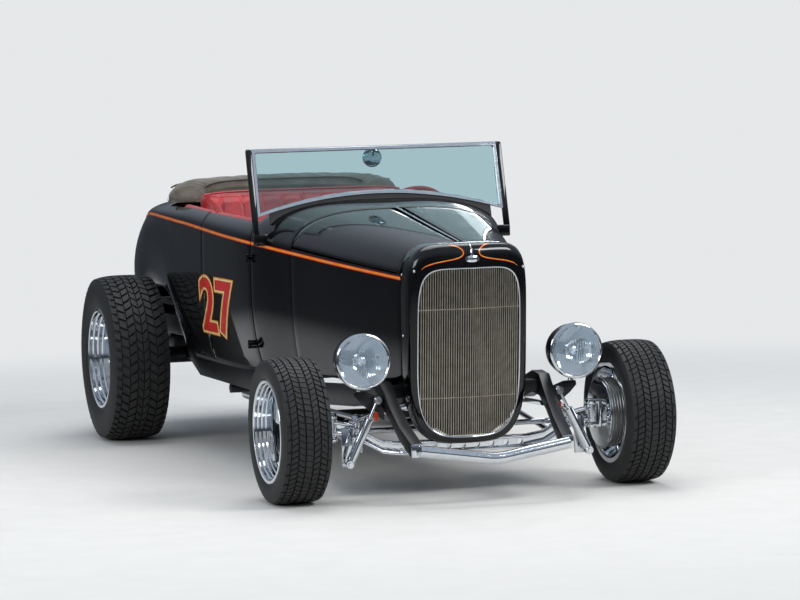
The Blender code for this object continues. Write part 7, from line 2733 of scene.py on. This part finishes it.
ASSEMBLIES = (
    Coachwork, Grille, Wheels, Windshield, Trim, Headlamps, FrontEnd, Interior, Boot, Ornaments, TailLamps,
    Softened,
)


@dataclass
class Studio:
    """The camera at the photograph's place, a pale floor and soft lamps."""

    eye: tuple[float, float, float] = (-4.445, -14.6935, 1.727)
    yaw: float = 17.669
    pitch: float = 3.922
    roll: float = -1.467
    focal_px: float = 3514.6
    width_px: float = 800
    backdrop: str = "E6E8EA"
    walls: str = "4A4E54"
    dusk: float = 0.10
    ceiling: float = 0.66
    near: float = 2.6
    far: float = 6.5
    stone: tuple[str, str] = ("DAD7D1", "E6E3DE")
    sky: str = "D3E0F0"
    lamps: tuple[tuple, ...] = (
        ("key", (5.5, -7.0, 6.5), (0, -0.3, 0.5), (4.5, 2.5), 480),
        ("fill", (-7.0, -4.0, 3.5), (0, 0, 0.6), (5.0, 2.0), 200),
        ("top", (0.5, 0.5, 5.5), (0, 0, 0.5), (3.0, 6.0), 190),
    )

    def camera(self) -> None:
        """Places the camera."""
        data = bpy.data.cameras.new("camera")
        data.sensor_width = 36
        data.lens = self.focal_px / self.width_px * data.sensor_width
        thing = Bench.added("camera", data)
        turn = Matrix.Rotation(math.radians(-self.yaw), 4, "Z")
        turn = turn @ Matrix.Rotation(math.radians(90 - self.pitch), 4, "X")
        turn = turn @ Matrix.Rotation(math.radians(self.roll), 4, "Z")
        thing.matrix_world = Matrix.Translation(self.eye) @ turn
        bpy.context.scene.camera = thing

    def floor(self) -> None:
        """Lays a pale floor under the wheels."""
        Bench.clear()
        bpy.ops.mesh.primitive_plane_add(size=120, location=(0, 0, -0.0006))
        thing = bpy.context.object
        thing.name = "studio_floor"
        made = bpy.data.materials.new("studio_floor")
        made.use_nodes = True
        tree = made.node_tree
        shader = tree.nodes["Principled BSDF"]
        place_of = add(tree, "ShaderNodeTexCoord", {}).outputs["Object"]
        grain = {"Vector": place_of, "Scale": 6.0, "Detail": 5.0}
        speck = add(tree, "ShaderNodeTexNoise", grain).outputs["Fac"]
        ramp = add(tree, "ShaderNodeValToRGB", {"Fac": speck})
        for stop, colour in zip(ramp.color_ramp.elements, self.stone):
            stop.color = linear(colour)
        tree.links.new(ramp.outputs["Color"], shader.inputs["Base Color"])
        shader.inputs["Roughness"].default_value = 0.8
        far = add(tree, "ShaderNodeVectorMath", {0: place_of}, operation="LENGTH").outputs["Value"]
        span = {"Value": far, "From Min": self.near, "From Max": self.far}
        fade = add(tree, "ShaderNodeMapRange", span, interpolation_type="SMOOTHSTEP").outputs["Result"]
        path = add(tree, "ShaderNodeLightPath", {})
        mixed = shader
        seen = (
            ("Is Glossy Ray", self.walls), ("Is Transmission Ray", self.backdrop),
            ("Is Camera Ray", self.backdrop),
        )
        for kind, colour in seen:
            both_of = {0: fade, 1: path.outputs[kind]}
            share = add(tree, "ShaderNodeMath", both_of, operation="MULTIPLY").outputs[0]
            glow = add(tree, "ShaderNodeEmission", {"Color": linear(colour), "Strength": 1.0})
            mixed = add(tree, "ShaderNodeMixShader", {0: share, 1: mixed.outputs[0], 2: glow.outputs[0]})
        tree.links.new(mixed.outputs[0], tree.nodes["Material Output"].inputs["Surface"])
        thing.data.materials.append(made)

    def lamp(
        self, name: str, spot: Sequence, aim: Sequence, size: tuple[float, float], power: float
    ) -> None:
        """Hangs a soft box.

        Args:
            name: The lamp's name.
            spot: Where it is.
            aim: What it faces.
            size: Its width and height.
            power: Its power in watts.
        """
        data = bpy.data.lights.new(name, "AREA")
        data.shape = "RECTANGLE"
        data.size, data.size_y = size
        data.energy = power
        thing = Bench.added(name, data)
        thing.location = spot
        thing.rotation_euler = (Vector(aim) - Vector(spot)).to_track_quat("-Z", "Y").to_euler()

    def world(self) -> None:
        """Gives the room its even light and its pale backdrop."""
        world = bpy.data.worlds.new("room")
        world.use_nodes = True
        bpy.context.scene.world = world
        tree = world.node_tree
        path = add(tree, "ShaderNodeLightPath", {})
        rays = {0: path.outputs["Is Camera Ray"], 1: path.outputs["Is Transmission Ray"]}
        seen = add(tree, "ShaderNodeMath", rays, operation="MAXIMUM").outputs[0]
        way = add(tree, "ShaderNodeTexCoord", {}).outputs["Generated"]
        up = add(tree, "ShaderNodeSeparateXYZ", {"Vector": way}).outputs["Z"]
        span = {
            "Value": up, "From Min": 0.04, "From Max": 0.42, "To Min": self.dusk, "To Max": self.ceiling
        }
        glow = add(tree, "ShaderNodeMapRange", span, interpolation_type="SMOOTHSTEP").outputs["Result"]
        room = add(tree, "ShaderNodeBackground", {"Color": linear(self.sky), "Strength": glow})
        backdrop = add(tree, "ShaderNodeBackground", {"Color": linear(self.backdrop), "Strength": 1.0})
        mixed = add(tree, "ShaderNodeMixShader", {0: seen, 1: room.outputs[0], 2: backdrop.outputs[0]})
        tree.links.new(mixed.outputs[0], tree.nodes["World Output"].inputs["Surface"])

    def build(self) -> None:
        """Makes the whole studio."""
        self.camera()
        self.floor()
        self.world()
        for lamp in self.lamps:
            self.lamp(*lamp)
        bpy.context.scene.view_settings.view_transform = "Standard"


def main() -> None:
    """Builds the sub-assemblies in order."""
    logging.basicConfig(level=logging.INFO, format="%(message)s")
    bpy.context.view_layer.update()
    Studio().build()
    for assembly in ASSEMBLIES:
        assembly().build()
    Carried().build()


if __name__ == "__main__":
    main()
